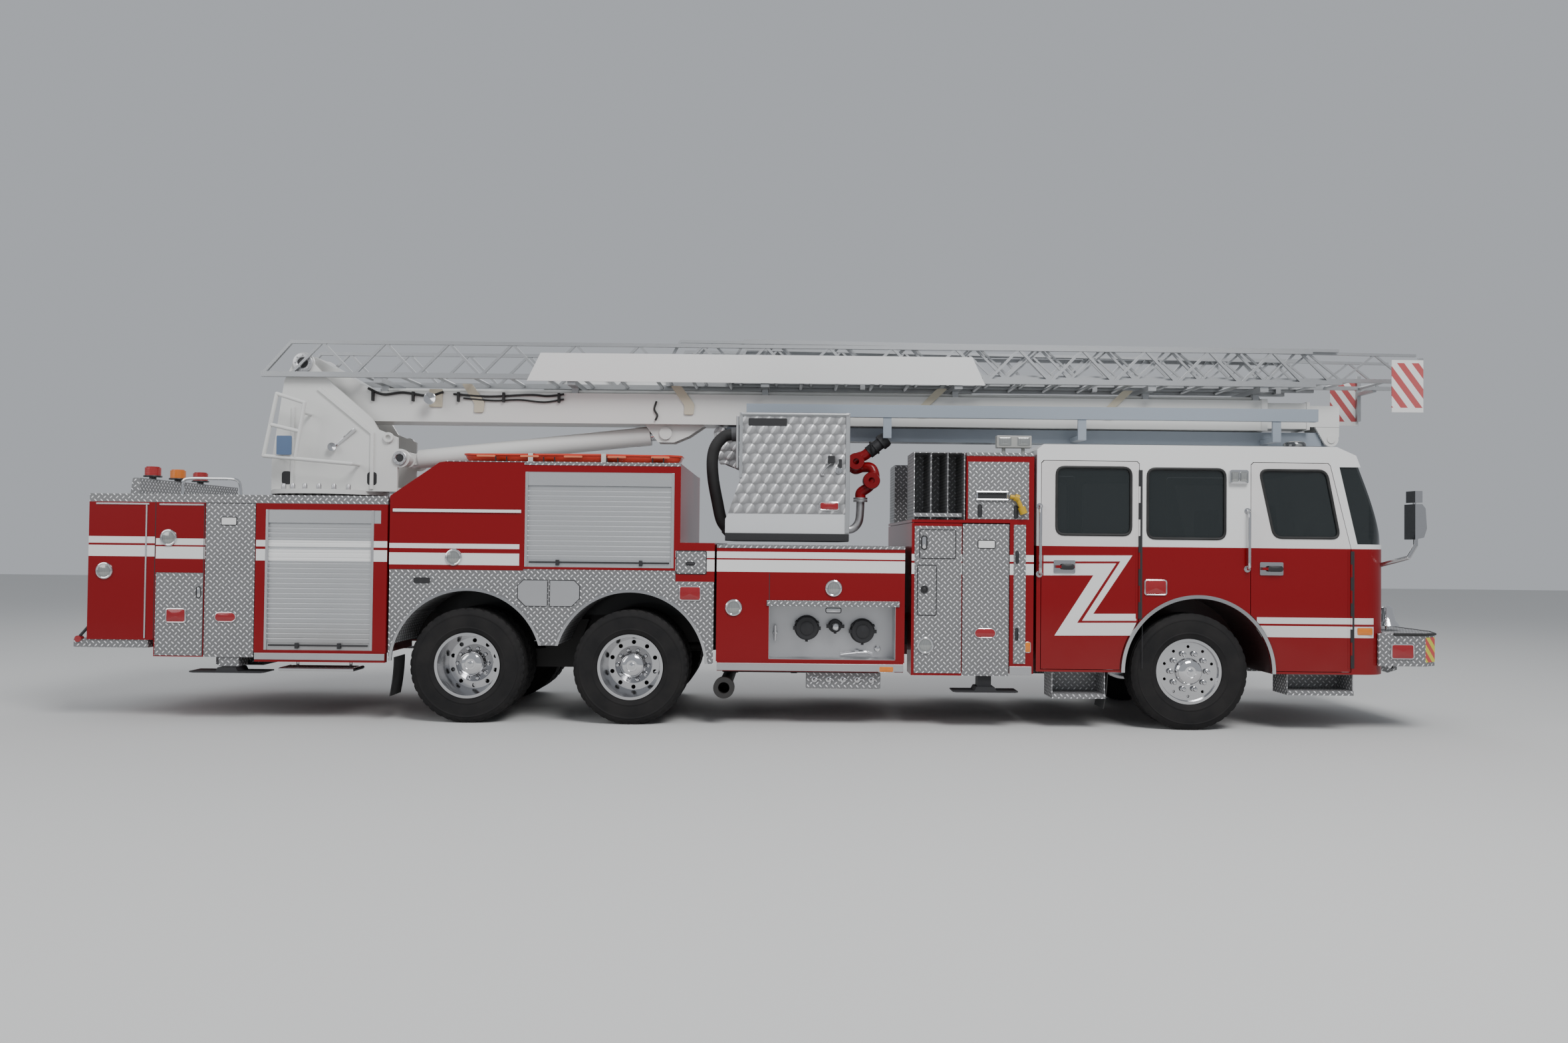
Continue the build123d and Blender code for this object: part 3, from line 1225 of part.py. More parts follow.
def lift_barrel():
    """Cylinder barrel with its lower eye and end cap, bored for the rod."""
    barrel = pipe(along_cylinder(100), along_cylinder(BARREL_LENGTH), CYLINDER_R)
    barrel += bar(along_cylinder(10), along_cylinder(110), 2 * EYE_HALF - 20, 110)
    barrel += pipe(along_cylinder(BARREL_LENGTH - 130), along_cylinder(BARREL_LENGTH + 18), CYLINDER_R + 3)
    barrel += rod_y(BARREL_PIN[0], BARREL_PIN[1], 78, (-EYE_HALF, EYE_HALF))
    barrel += rod_y(BARREL_PIN[0], BARREL_PIN[1], 60, (-CHEEK_Y[0] + 5, CHEEK_Y[0] - 5))
    barrel -= rod_y(BARREL_PIN[0], BARREL_PIN[1], CYLINDER_PIN_R + FIT, (-CHEEK_Y[0], CHEEK_Y[0]))
    return barrel - pipe(along_cylinder(150), along_cylinder(BARREL_LENGTH + 19), ROD_R + FIT)


def lift_rod():
    """Piston rod with its eye, which hangs between the cheeks of the boom's bracket."""
    length = hypot(ROD_PIN[0] - BARREL_PIN[0], ROD_PIN[1] - BARREL_PIN[1])
    rod = pipe(along_cylinder(160), along_cylinder(length - 30), ROD_R)
    rod += rod_y(ROD_PIN[0], ROD_PIN[1], ROD_EYE_R, (-EYE_HALF, EYE_HALF))
    return rod - rod_y(ROD_PIN[0], ROD_PIN[1], 40, (-99, 99))


# Folded arm and cage
ARM_X = (-480.0, 5480.0)
ARM_LADDER_Y = (-450.0, -370.0)


def arm():
    """Folded arm with an eye at each end, and the closed ladder beam that runs beside the boom."""
    low, high = ARM_Z
    tube = block(ARM_X, (-ARM_HALF, ARM_HALF), ARM_Z)
    tube += block((KNUCKLE[0] - 90, KNUCKLE[0]), (-70, 70), (KNUCKLE[1] - 62, KNUCKLE[1] + 62))
    tube += rod_y(KNUCKLE[0], KNUCKLE[1], 66, (-LUG_Y[0] + 5, LUG_Y[0] - 5))
    tube += block((CAGE_PIN[0], ARM_X[0]), (-70, 70), (CAGE_PIN[1] - 55, CAGE_PIN[1] + 55))
    tube += rod_y(CAGE_PIN[0], CAGE_PIN[1], 60, (-LUG_Y[0] + 5, LUG_Y[0] - 5))
    tube -= rod_y(KNUCKLE[0], KNUCKLE[1], KNUCKLE_R + FIT, (-200, 200))
    tube -= rod_y(CAGE_PIN[0], CAGE_PIN[1], CAGE_PIN_R + FIT, (-200, 200))
    beam = block((-276, 5300), ARM_LADDER_Y, (2900, 3020))
    for x in (1100, 3000, 4900):
        beam += block((x - 40, x + 40), (ARM_LADDER_Y[0] + 10, -ARM_HALF), (low + 8, low + 52))
        beam += block((x - 40, x + 40), (ARM_LADDER_Y[0] + 10, ARM_LADDER_Y[0] + 40), (low + 8, 2900))
    return tube + beam


CAGE_X = (-311.0, 694.0)
CAGE_HALF = 1070.0
CAGE_Z = (1678.0, 2858.0)
CAGE_WALL = 36.0
CAGE_GAP = (250.0, 2640.0)


def cage():
    """Open-topped cage with a gap in its front and back for the arm, and its hinge bracket behind."""
    low, high = CAGE_Z
    walls = block(CAGE_X, (-CAGE_HALF, CAGE_HALF), (low, high - 28))
    walls -= block(
        (CAGE_X[0] + CAGE_WALL, CAGE_X[1] - CAGE_WALL),
        (-CAGE_HALF + CAGE_WALL, CAGE_HALF - CAGE_WALL),
        (low + CAGE_WALL, high),
    )
    walls -= block((CAGE_X[0] - 1, CAGE_X[1] + 1), (-CAGE_GAP[0], CAGE_GAP[0]), (CAGE_GAP[1], high))
    for y in (-CAGE_HALF + 18, CAGE_HALF - 18):
        walls += block(CAGE_X, (y - 18, y + 18), (high - 28, high))
    pin_x, pin_z = CAGE_PIN
    lug = side_prism(
        [
            (pin_x - 62, pin_z), (pin_x + 62, pin_z), (CAGE_X[0], CAGE_GAP[1] - 20), (CAGE_X[0], 2380),
            (pin_x - 10, 2480),
        ],
        LUG_Y,
    )
    lug += rod_y(pin_x, pin_z, 62, LUG_Y)
    walls += both_sides(lug) + block((pin_x - 5, CAGE_X[0]), (-LUG_Y[1], LUG_Y[1]), (2460, 2520))
    back = [
        (CAGE_X[0], 2240), (CAGE_X[0] - 44, 2110), (CAGE_X[0] - 112, 1910), (CAGE_X[0] - 130, 1880),
        (CAGE_X[0] - 130, low + 8), (CAGE_X[0], low + 8),
    ]
    walls += both_sides(side_prism(back, (CAGE_HALF - 10, CAGE_HALF)))
    walls += block((CAGE_X[0] - 130, CAGE_X[0]), (-CAGE_HALF, CAGE_HALF), (low, low + 20))
    return walls + rod_y(pin_x, pin_z, CAGE_PIN_R, (-LUG_Y[1] - 10, LUG_Y[1] + 10))


def monitor():
    """Water cannon on the front of the cage."""
    base_x = CAGE_X[1]
    gun = block((base_x, base_x + 14), (-400, -200), (2330, 2530))
    gun += rod_x(-300, 2430, 55, (base_x + 14, base_x + 120))
    gun += Pos(base_x + 120, -300, 2430) * Sphere(80)
    gun += pipe((base_x + 120, -300, 2430), (base_x + 180, -300, 2560), 50)
    gun += pipe((base_x + 160, -300, 2540), (base_x + 330, -300, 2575), 42)
    gun += pipe((base_x + 300, -300, 2569), (base_x + 400, -300, 2590), 55)
    return gun


for side, letter in ((-1, "r"), (1, "l")):
    tyre, rim = front_wheel(side)
    save(tyre, f"tyre_front_{letter}")
    save(rim, f"wheel_front_{letter}")
    for number, axle_x in enumerate(REAR_AXLES_X, 1):
        tyres, rims = twin_wheel(axle_x, side)
        save(tyres, f"tyres_rear{number}_{letter}")
        save(rims, f"wheels_rear{number}_{letter}")
    save(knuckle(side), f"knuckle_{letter}")
    for number, row in enumerate(CAB_DOORS):
        save(door(number, side), f"door_{row[0]}_{letter}")
    for row in OUTRIGGERS:
        save(outrigger_beam(row, side), f"outrigger_{row[0]}_{letter}")
        save(outrigger_jack(row, side), f"jack_{row[0]}_{letter}")

save(frame_rails() + outrigger_boxes(), "frame_rails")
save(front_axle() + rear_axles(), "axles")
save(underbody(), "underbody")
save(engine_block(), "engine_block")
save(tail_body(), "tail_body")
save(mid_body(), "mid_body")
save(rollup_doors(), "rollup_doors")
save(rear_body(), "rear_body")
save(pump_body(), "pump_body")
save(pump_fittings(), "pump_fittings")
save(fore_body(), "fore_body")
save(wheel_fenders() + chutes() + deck_plates() + cab_steps() + top_trims(), "tread_plates")
save(slewing_ring(), "slewing_ring")

shell = cab_shell()
lip, grille, lamps = cab_trim()
box, beacons = light_box()
save(shell & block((0, 7000), (-2000, 2000), (0, BELT_Z)), "cab_lower")
save(shell & block((0, 7000), (-2000, 2000), (BELT_Z, 4000)), "cab_upper")
save(cab_glass(), "cab_glass")
save(cab_interior() + steering_wheel(), "cab_interior")
save(cab_seats(), "cab_seats")
save(lip + rear_arch_lips() + mirrors(), "bright_trim")
save(door_hinges() + grille, "cab_trim")
save(lamps + beacons, "lamps")
save(front_bumper(), "front_bumper")
save(box, "light_box")
save(litter_basket(), "litter_basket")

save(turret(), "turret")
save(boom_tube(), "boom_tube")
save(ladder(), "ladder")
panels, boards = ladder_panels()
save(panels + boards, "ladder_panels")
save(lift_barrel(), "lift_barrel")
save(lift_rod(), "lift_rod")
save(arm(), "arm")
save(cage(), "cage")
save(monitor(), "monitor")
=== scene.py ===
"""The look of the fire engine: its materials, the pieces that CAD leaves out, and the studio.

Lengths are in metres in the shared frame: +X to the front bumper, +Y to the left side, +Z up.
"""
from __future__ import annotations

import json
import logging
import math
from dataclasses import dataclass
from enum import Enum
from typing import Iterable, Sequence

import bpy
import numpy as np
from mathutils import Euler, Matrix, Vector

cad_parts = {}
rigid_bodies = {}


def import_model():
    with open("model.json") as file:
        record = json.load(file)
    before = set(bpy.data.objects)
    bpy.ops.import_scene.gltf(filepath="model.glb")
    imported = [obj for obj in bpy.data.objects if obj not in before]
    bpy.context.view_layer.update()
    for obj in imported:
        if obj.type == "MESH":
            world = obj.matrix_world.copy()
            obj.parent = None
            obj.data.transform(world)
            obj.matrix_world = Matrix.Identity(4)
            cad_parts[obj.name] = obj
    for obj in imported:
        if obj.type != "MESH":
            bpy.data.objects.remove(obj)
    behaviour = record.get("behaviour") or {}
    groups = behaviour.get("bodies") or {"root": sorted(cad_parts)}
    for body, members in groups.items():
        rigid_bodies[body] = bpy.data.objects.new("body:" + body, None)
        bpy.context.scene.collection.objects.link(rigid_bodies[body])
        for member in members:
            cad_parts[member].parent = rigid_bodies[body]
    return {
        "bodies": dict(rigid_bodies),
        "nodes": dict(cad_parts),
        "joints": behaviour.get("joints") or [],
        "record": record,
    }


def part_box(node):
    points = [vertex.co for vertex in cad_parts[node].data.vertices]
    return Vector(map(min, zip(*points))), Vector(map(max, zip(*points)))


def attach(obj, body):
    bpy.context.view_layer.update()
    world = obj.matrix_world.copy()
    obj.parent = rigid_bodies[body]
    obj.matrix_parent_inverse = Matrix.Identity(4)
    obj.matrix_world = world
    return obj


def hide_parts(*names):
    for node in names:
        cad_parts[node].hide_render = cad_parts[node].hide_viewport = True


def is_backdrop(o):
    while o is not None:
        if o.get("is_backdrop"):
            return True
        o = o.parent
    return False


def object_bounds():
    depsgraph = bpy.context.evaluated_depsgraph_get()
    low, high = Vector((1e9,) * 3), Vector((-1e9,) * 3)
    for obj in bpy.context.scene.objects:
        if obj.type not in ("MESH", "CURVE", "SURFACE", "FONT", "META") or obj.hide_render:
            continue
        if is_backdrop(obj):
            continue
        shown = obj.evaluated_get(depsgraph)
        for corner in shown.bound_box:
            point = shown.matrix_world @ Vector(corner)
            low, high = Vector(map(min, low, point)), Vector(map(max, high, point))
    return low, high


log = logging.getLogger("fire_engine")

Colour = tuple[float, float, float]
Point = tuple[float, float, float]
Pair = tuple[float, float]

BELT_Z = 1.662   # where the cab's red ends and its white begins
SIDE_Y = 1.220  # the body's sides
PLATE_Y = 1.224  # the face of the tread plate on them
CAGE_Y = 1.070  # the cage's sides
CHEEK_Y = 0.3195  # the faces of the turret's cheeks
BOOM_Y = 0.2005  # the boom's sides
CORE = 0.001  # radius at which a turned profile starts and ends beside its axis

RED: Colour = (0.215, 0.004, 0.007)
WHITE: Colour = (0.76, 0.76, 0.75)
GREY_BLUE: Colour = (0.30, 0.34, 0.39)
ALUMINIUM: Colour = (0.50, 0.51, 0.52)
DUST: Colour = (0.30, 0.24, 0.20)
WELL_BLACK: Colour = (0.016, 0.016, 0.017)
# chequer plate of the decks: its ground darkened as painted shade, its bars lightened as a painted highlight
DECK_SHADED_GROUND: Colour = (0.22, 0.22, 0.225)
DECK_LIT_BARS: Colour = (0.84, 0.84, 0.85)


class Side(Enum):
    """Which side of the vehicle a piece sits on, as the sign of its Y."""

    RIGHT = -1
    LEFT = 1

    @property
    def word(self) -> str:
        """The side's word in the names of pieces and bodies."""
        return self.name.lower()


# Shader maths
class Val:
    """A socket or a number that turns arithmetic into Math nodes."""

    def __init__(self, tree: Tree, socket: bpy.types.NodeSocket) -> None:
        """Keeps the tree that grows and the socket that holds this value."""
        self.tree = tree
        self.socket = socket

    def _math(self, operation: str, *others: Val | float) -> Val:
        """Adds one Math node for an operation on this value and others."""
        node = self.tree.node("ShaderNodeMath", {"operation": operation}, [self, *others])
        return Val(self.tree, node.outputs[0])

    def __add__(self, other: Val | float) -> Val:
        """Sum."""
        return self._math("ADD", other)

    def __radd__(self, other: Val | float) -> Val:
        """Sum with a number on the left."""
        return self._math("ADD", other)

    def __sub__(self, other: Val | float) -> Val:
        """Difference."""
        return self._math("SUBTRACT", other)

    def __rsub__(self, other: Val | float) -> Val:
        """Difference from a number on the left."""
        return self.tree.value(other)._math("SUBTRACT", self)

    def __mul__(self, other: Val | float) -> Val:
        """Product."""
        return self._math("MULTIPLY", other)

    def __truediv__(self, other: Val | float) -> Val:
        """Quotient."""
        return self._math("DIVIDE", other)

    def __gt__(self, other: Val | float) -> Val:
        """One where this value is larger, else nought."""
        return self._math("GREATER_THAN", other)

    def __lt__(self, other: Val | float) -> Val:
        """One where this value is smaller, else nought."""
        return self._math("LESS_THAN", other)

    def abs(self) -> Val:
        """Size without its sign."""
        return self._math("ABSOLUTE")

    def sin(self) -> Val:
        """Sine."""
        return self._math("SINE")

    def fraction(self) -> Val:
        """Part after the decimal point."""
        return self._math("FRACT")

    def clamped(self) -> Val:
        """Held between nought and one."""
        node = self.tree.node("ShaderNodeClamp", {}, [self, 0.0, 1.0])
        return Val(self.tree, node.outputs[0])

    def between(self, low: float, high: float) -> Val:
        """One between two limits, else nought."""
        return (self > low) * (self < high)


class Tree:
    """A material's node tree, grown by plain calls."""

    def __init__(self, name: str) -> None:
        """Starts an empty material with one Principled shader.

        Args:
            name: the material's name.
        """
        self.material = bpy.data.materials.new(name)
        self.material.use_nodes = True
        self.nodes = self.material.node_tree.nodes
        self.links = self.material.node_tree.links
        self.nodes.clear()
        self.out = self.nodes.new("ShaderNodeOutputMaterial")
        self.shader = self.nodes.new("ShaderNodeBsdfPrincipled")
        self.links.new(self.shader.outputs[0], self.out.inputs[0])

    def node(self, kind: str, settings: dict, inputs: Sequence | dict = ()) -> bpy.types.Node:
        """Adds one node.

        Args:
            kind: the node's type name.
            settings: attributes that are set first.
            inputs: values or links of its sockets, in order or by name.

        Returns:
            The new node.
        """
        made = self.nodes.new(kind)
        for key, value in settings.items():
            setattr(made, key, value)
        pairs = inputs.items() if isinstance(inputs, dict) else enumerate(inputs)
        for key, value in pairs:
            self.feed(made.inputs[key], value)
        return made

    def feed(
        self, socket: bpy.types.NodeSocket, value: Val | bpy.types.NodeSocket | Colour | float | None
    ) -> None:
        """Links a socket to a value, or sets its number or colour.

        Args:
            socket: the input socket.
            value: a value, a socket, a colour or a number.
        """
        if isinstance(value, Val):
            self.links.new(value.socket, socket)
        elif isinstance(value, bpy.types.NodeSocket):
            self.links.new(value, socket)
        elif isinstance(value, tuple) and len(value) == 3 and socket.type == "RGBA":
            socket.default_value = (*value, 1.0)
        elif value is not None:
            socket.default_value = value

    def value(self, number: float) -> Val:
        """A constant as a value.

        Args:
            number: the constant.

        Returns:
            The constant's output.
        """
        node = self.node("ShaderNodeValue", {})
        node.outputs[0].default_value = number
        return Val(self, node.outputs[0])

    def place(self) -> tuple[Val, Val, Val]:
        """Object coordinates X, Y and Z, in metres.

        Returns:
            The three coordinates.
        """
        where = self.node("ShaderNodeTexCoord", {}).outputs["Object"]
        split = self.node("ShaderNodeSeparateXYZ", {}, [where])
        return Val(self, split.outputs[0]), Val(self, split.outputs[1]), Val(self, split.outputs[2])

    def facing(self) -> tuple[Val, Val, Val]:
        """The surface normal's X, Y and Z.

        Returns:
            The three parts of the normal.
        """
        way = self.node("ShaderNodeNewGeometry", {}).outputs["Normal"]
        split = self.node("ShaderNodeSeparateXYZ", {}, [way])
        return Val(self, split.outputs[0]), Val(self, split.outputs[1]), Val(self, split.outputs[2])

    def noise(self, scale: float, detail: float = 3.0, stretch: Point = (1.0, 1.0, 1.0)) -> Val:
        """Cloudy noise between nought and one on Object coordinates, stretched along the axes.

        Args:
            scale: how many clouds to a metre.
            detail: octaves of finer noise.
            stretch: factors along the axes.

        Returns:
            The noise.
        """
        where = self.node("ShaderNodeTexCoord", {}).outputs["Object"]
        spread = self.node("ShaderNodeMapping", {}, {"Vector": where, "Scale": stretch})
        cloud = self.node(
            "ShaderNodeTexNoise", {}, {"Vector": spread.outputs[0], "Scale": scale, "Detail": detail}
        )
        return Val(self, cloud.outputs[0])

    def mix(
        self, amount: Val | float, first: Colour | bpy.types.NodeSocket, second: Colour | bpy.types.NodeSocket
    ) -> bpy.types.NodeSocket:
        """A colour between two others.

        Args:
            amount: nought for the first, one for the second.
            first: a colour or a colour socket.
            second: a colour or a colour socket.

        Returns:
            The mixed colour's socket.
        """
        node = self.node("ShaderNodeMix", {"data_type": "RGBA"})
        self.feed(node.inputs[0], amount)
        self.feed(node.inputs[6], first)
        self.feed(node.inputs[7], second)
        return node.outputs[2]

    def bump(self, height: Val, strength: float, depth: float = 0.001) -> None:
        """Feeds a height to the shader's normal through a Bump node."""
        node = self.node("ShaderNodeBump", {}, {"Strength": strength, "Distance": depth, "Height": height})
        self.links.new(node.outputs[0], self.shader.inputs["Normal"])

    def set(self, **values: Val | bpy.types.NodeSocket | Colour | float) -> None:
        """Sets or links sockets of the shader by name, with underscores for spaces."""
        for key, value in values.items():
            self.feed(self.shader.inputs[key.replace("_", " ")], value)


# Finishes
def tread_bars(u: Val, v: Val, pitch: float = 0.056) -> Val:
    """Height of chequer plate: ovals in the diamonds of a slanted grid, each turned against the next.

    Args:
        u: metres along the plate.
        v: metres across it.
        pitch: distance from one bar to the next along the plate.

    Returns:
        The height from 0 to 1.
    """
    a = (u + v) / pitch
    b = (u - v) / pitch
    turn = (((a * 0.5).fraction() > 0.5) - ((b * 0.5).fraction() > 0.5)).abs()
    p = a.fraction() - 0.5
    q = b.fraction() - 0.5
    narrow, long = 34.0, 5.5  # one over the squares of a bar's half width and half length, in pitches
    one = p * p * narrow + q * q * long
    two = p * p * long + q * q * narrow
    return (1.0 - (one * turn + two * (1.0 - turn))).clamped()


@dataclass(frozen=True)
class Paint:
    """Vehicle paint with a thin film of road dust low down."""

    name: str
    colour: Colour
    roughness: float = 0.26
    coat: float = 0.16
    dust: float = 0.12

    def make(self) -> bpy.types.Material:
        """Builds the material.

        Returns:
            The finished material.
        """
        tree = Tree(self.name)
        self.dress(tree, self.colour)
        return tree.material

    def dress(self, tree: Tree, colour: Colour | bpy.types.NodeSocket) -> None:
        """Sets the paint's shader from a base colour or a colour socket.

        Args:
            tree: the material's tree.
            colour: a colour or its socket.
        """
        z = tree.place()[2]
        cloud = tree.noise(3.0, 4.0)
        low = ((1.15 - z) * 0.9).clamped()
        film = (low * cloud * self.dust).clamped()
        tint = tree.mix(tree.noise(0.7, 2.0) * 0.25, colour, tuple(c * 0.8 for c in self.colour))
        tree.set(
            Base_Color=tree.mix(film, tint, DUST),
            Roughness=film * 0.9 + self.roughness + tree.noise(40.0) * 0.06,
            Coat_Weight=(1.0 - film * 2.0).clamped() * self.coat,
            Coat_Roughness=0.05,
            Specular_IOR_Level=0.2,
        )


@dataclass(frozen=True)
class Band:
    """A painted band on the sides between two X and two heights, leaning forwards by X for each metre up."""

    x: Pair
    z: Pair
    lean: float = 0.0


@dataclass(frozen=True)
class StripedPaint(Paint):
    """Paint with flat bands of a second colour on the sides and black wheel wells.

    By choice all above a height has the second colour too, or the faces that look up are chequer plate.
    """

    second: Colour = (0.8, 0.8, 0.79)
    bands: tuple[Band, ...] = ()
    above: float | None = None
    decks: bool = False
    decks_from: float = 1.3
    # X, Z and radius of each well
    wells: tuple[Point, ...] = ((-2.766, 0.520, 0.730), (-1.284, 0.520, 0.730), (3.802, 0.530, 0.740))

    def make(self) -> bpy.types.Material:
        """Builds the material with its bands, and its black wheel wells inside the sides.

        Returns:
            The finished material.
        """
        tree = Tree(self.name)
        x, y, z = tree.place()
        mask = tree.value(0.0)
        side = y.abs() > SIDE_Y - 0.016
        for band in self.bands:
            shifted = x - z * band.lean
            mask = mask + shifted.between(*band.x) * z.between(*band.z)
        mask = mask * side
        if self.above is not None:
            mask = mask + (z > self.above)
        well = tree.value(0.0)
        for centre, height, radius in self.wells:
            well = well + ((x - centre) * (x - centre) + (z - height) * (z - height) < radius * radius)
        well = well.clamped() * (y.abs() < SIDE_Y - 0.012)
        painted = tree.mix(well, tree.mix(mask.clamped(), self.colour, self.second), WELL_BLACK)
        self.dress(tree, painted)
        if self.decks:
            top = (tree.facing()[2] > 0.9) * (z > self.decks_from)
            bar = tread_bars(x, y) * top
            # painted highlight on the raised bars, painted shade on the ground between them
            sheet = tree.mix((bar * 1.6).clamped(), DECK_SHADED_GROUND, DECK_LIT_BARS)
            tree.set(Base_Color=tree.mix(top, painted, sheet), Metallic=top * 0.45, Roughness=0.3 + top * 0.1)
            tree.bump(bar, 0.9, 0.004)
        return tree.material


@dataclass(frozen=True)
class Metal:
    """Bare metal, brushed along one axis."""

    name: str
    colour: Colour
    roughness: float = 0.32
    grain: Point = (1.0, 1.0, 1.0)
    grain_scale: float = 60.0
    metallic: float = 1.0
    patchy: float = 0.7
    relief: float = 0.12
    grainy: float = 0.16

    def make(self) -> bpy.types.Material:
        """Builds the material.

        Returns:
            The finished material.
        """
        tree = Tree(self.name)
        grain = tree.noise(self.grain_scale, 4.0, self.grain)
        cloud = tree.noise(2.2, 3.0)
        dark = tuple(c * 0.72 for c in self.colour)
        tree.set(
            Base_Color=tree.mix(cloud * self.patchy, self.colour, dark),
            Metallic=self.metallic,
            Roughness=grain * self.grainy + cloud * self.grainy * 0.5 + self.roughness,
        )
        if self.relief > 0.0:
            tree.bump(grain, self.relief)
        return tree.material


@dataclass(frozen=True)
class TreadPlate:
    """Aluminium chequer plate with crossed raised bars in rows, on the face's own two axes."""

    name: str
    colour: Colour = (0.60, 0.60, 0.61)
    pitch: float = 0.056

    def make(self) -> bpy.types.Material:
        """Builds the material: bars are short ovals that lean one way and the other in turn, painted lighter
        as a painted highlight over a ground painted darker as painted shade.

        Returns:
            The finished material.
        """
        tree = Tree(self.name)
        x, y, z = tree.place()
        nx, _, nz = tree.facing()
        flat, ahead = nz.abs() > 0.7, nx.abs() > 0.7
        v = y * flat + z * (1.0 - flat)
        u = x * (1.0 - ahead) + y * ahead
        bar = tread_bars(u, v, self.pitch)
        cloud = tree.noise(4.0, 4.0)
        # painted shade: the ground between the bars is darkened, with random cloudy tone in it
        shaded_ground = tree.mix(cloud * 0.6, *(tuple(c * share for c in self.colour) for share in (0.40, 0.27)))
        # painted highlight: where a bar rises the colour is lightened
        lit = (bar * 1.6).clamped()
        tree.set(
            Base_Color=tree.mix(lit, shaded_ground, tuple(min(1.0, c * 1.45) for c in self.colour)),
            Metallic=0.45,
            Roughness=0.44 - bar * 0.14 + cloud * 0.10,
        )
        tree.bump(bar, 0.9, 0.004)
        return tree.material


@dataclass(frozen=True)
class Rubber:
    """Tyre or hose rubber, greyed a little by dust."""

    name: str
    colour: Colour = (0.008, 0.008, 0.009)
    dusty: Colour = (0.026, 0.024, 0.023)
    roughness: float = 0.72

    def make(self) -> bpy.types.Material:
        """Builds the material.

        Returns:
            The finished material.
        """
        tree = Tree(self.name)
        cloud = tree.noise(6.0, 5.0)
        tree.set(
            Base_Color=tree.mix((cloud * 1.3 - 0.25).clamped(), self.colour, self.dusty),
            Roughness=cloud * 0.14 + self.roughness,
            Specular_IOR_Level=0.25,
        )
        tree.bump(tree.noise(160.0, 2.0), 0.15)
        return tree.material


@dataclass(frozen=True)
class Plastic:
    """Moulded or painted matt surface."""

    name: str
    colour: Colour
    roughness: float = 0.5
    grain: float = 0.1
    coat: float = 0.0

    def make(self) -> bpy.types.Material:
        """Builds the material.

        Returns:
            The finished material.
        """
        tree = Tree(self.name)
        cloud = tree.noise(5.0, 4.0)
        tree.set(
            Base_Color=tree.mix(cloud * 0.5, self.colour, tuple(c * 0.75 for c in self.colour)),
            Roughness=cloud * 0.1 + self.roughness,
            Coat_Weight=self.coat,
        )
        tree.bump(tree.noise(220.0, 2.0), self.grain)
        return tree.material


@dataclass(frozen=True)
class Glazing:
    """Tinted window glass."""

    name: str
    colour: Colour = (0.018, 0.024, 0.025)
    alpha: float = 0.74

    def make(self) -> bpy.types.Material:
        """Builds the material.

        Returns:
            The finished material.
        """
        tree = Tree(self.name)
        cloud = tree.noise(1.4, 2.0)
        tree.set(
            Base_Color=tree.mix(cloud, self.colour, tuple(c * 0.7 for c in self.colour)),
            Roughness=cloud * 0.03 + 0.03,
            Alpha=self.alpha,
            Coat_Weight=0.5,
        )
        return tree.material


@dataclass(frozen=True)
class Quilted:
    """Aluminium sheet pressed into rows of leaning pads, each one a low dome, over a range of heights."""

    name: str
    colour: Colour = (0.62, 0.62, 0.63)
    pitch: Pair = (0.112, 0.092)
    heights: Pair = (1.930, 2.830)
    floor_edge: float = 1.745
    lean: float = 58.0
    # half sizes of a pad along and up, and of the painted glint on it along and across
    pad: Pair = (0.060, 0.050)
    gleam: Pair = (0.058, 0.017)

    def make(self) -> bpy.types.Material:
        """Builds the material: a pad's height falls off as the square of the distance from its middle.

        Returns:
            The finished material.
        """
        tree = Tree(self.name)
        x, y, z = tree.place()
        nx, _, nz = tree.facing()
        ahead = nx.abs() > 0.7
        across = x * (1.0 - ahead) + y * ahead
        row = z / self.pitch[1]
        odd = (row * 0.5).fraction() > 0.5
        u = ((across / self.pitch[0] + odd * 0.5).fraction() - 0.5) * self.pitch[0]
        v = (row.fraction() - 0.5) * self.pitch[1]
        c, s = math.cos(math.radians(self.lean)), math.sin(math.radians(self.lean))
        long = u * c + v * s
        wide = v * c - u * s
        inside = z.between(*self.heights) * (nz.abs() < 0.5)
        # painted glint: a leaning bright streak across each pad, standing in for light reflected off it
        painted_glint = (1.0 - long * long / self.gleam[0]**2 - wide * wide / self.gleam[1]**2).clamped() * inside
        dome = (1.0 - u * u / self.pad[0]**2 - v * v / self.pad[1]**2).clamped() * inside
        swirl = ((u * u + v * v) * 9000.0).sin() * 0.5 + 0.5
        cloud = tree.noise(3.0, 3.0)
        # painted shading: each pad's colour is lighter towards its domed middle and darker towards its edge
        low, high = (tuple(c * share for c in self.colour) for share in (0.42, 0.85))
        sheet = tree.mix(dome * 0.6 + cloud * 0.2, low, high)
        bright = tree.mix(painted_glint * 0.95, sheet, (0.98, 0.98, 0.99))
        plain = tree.mix(inside, (0.66, 0.67, 0.68), bright)
        edge = z < self.floor_edge
        tree.set(
            Base_Color=tree.mix(edge, plain, (0.030, 0.030, 0.032)),
            Metallic=(0.25 + inside * 0.45) * (1.0 - edge),
            Roughness=0.42 - painted_glint * 0.14 + swirl * inside * 0.05 + cloud * 0.06,
        )
        tree.bump(dome + painted_glint * 0.5, 0.7, 0.012)
        return tree.material


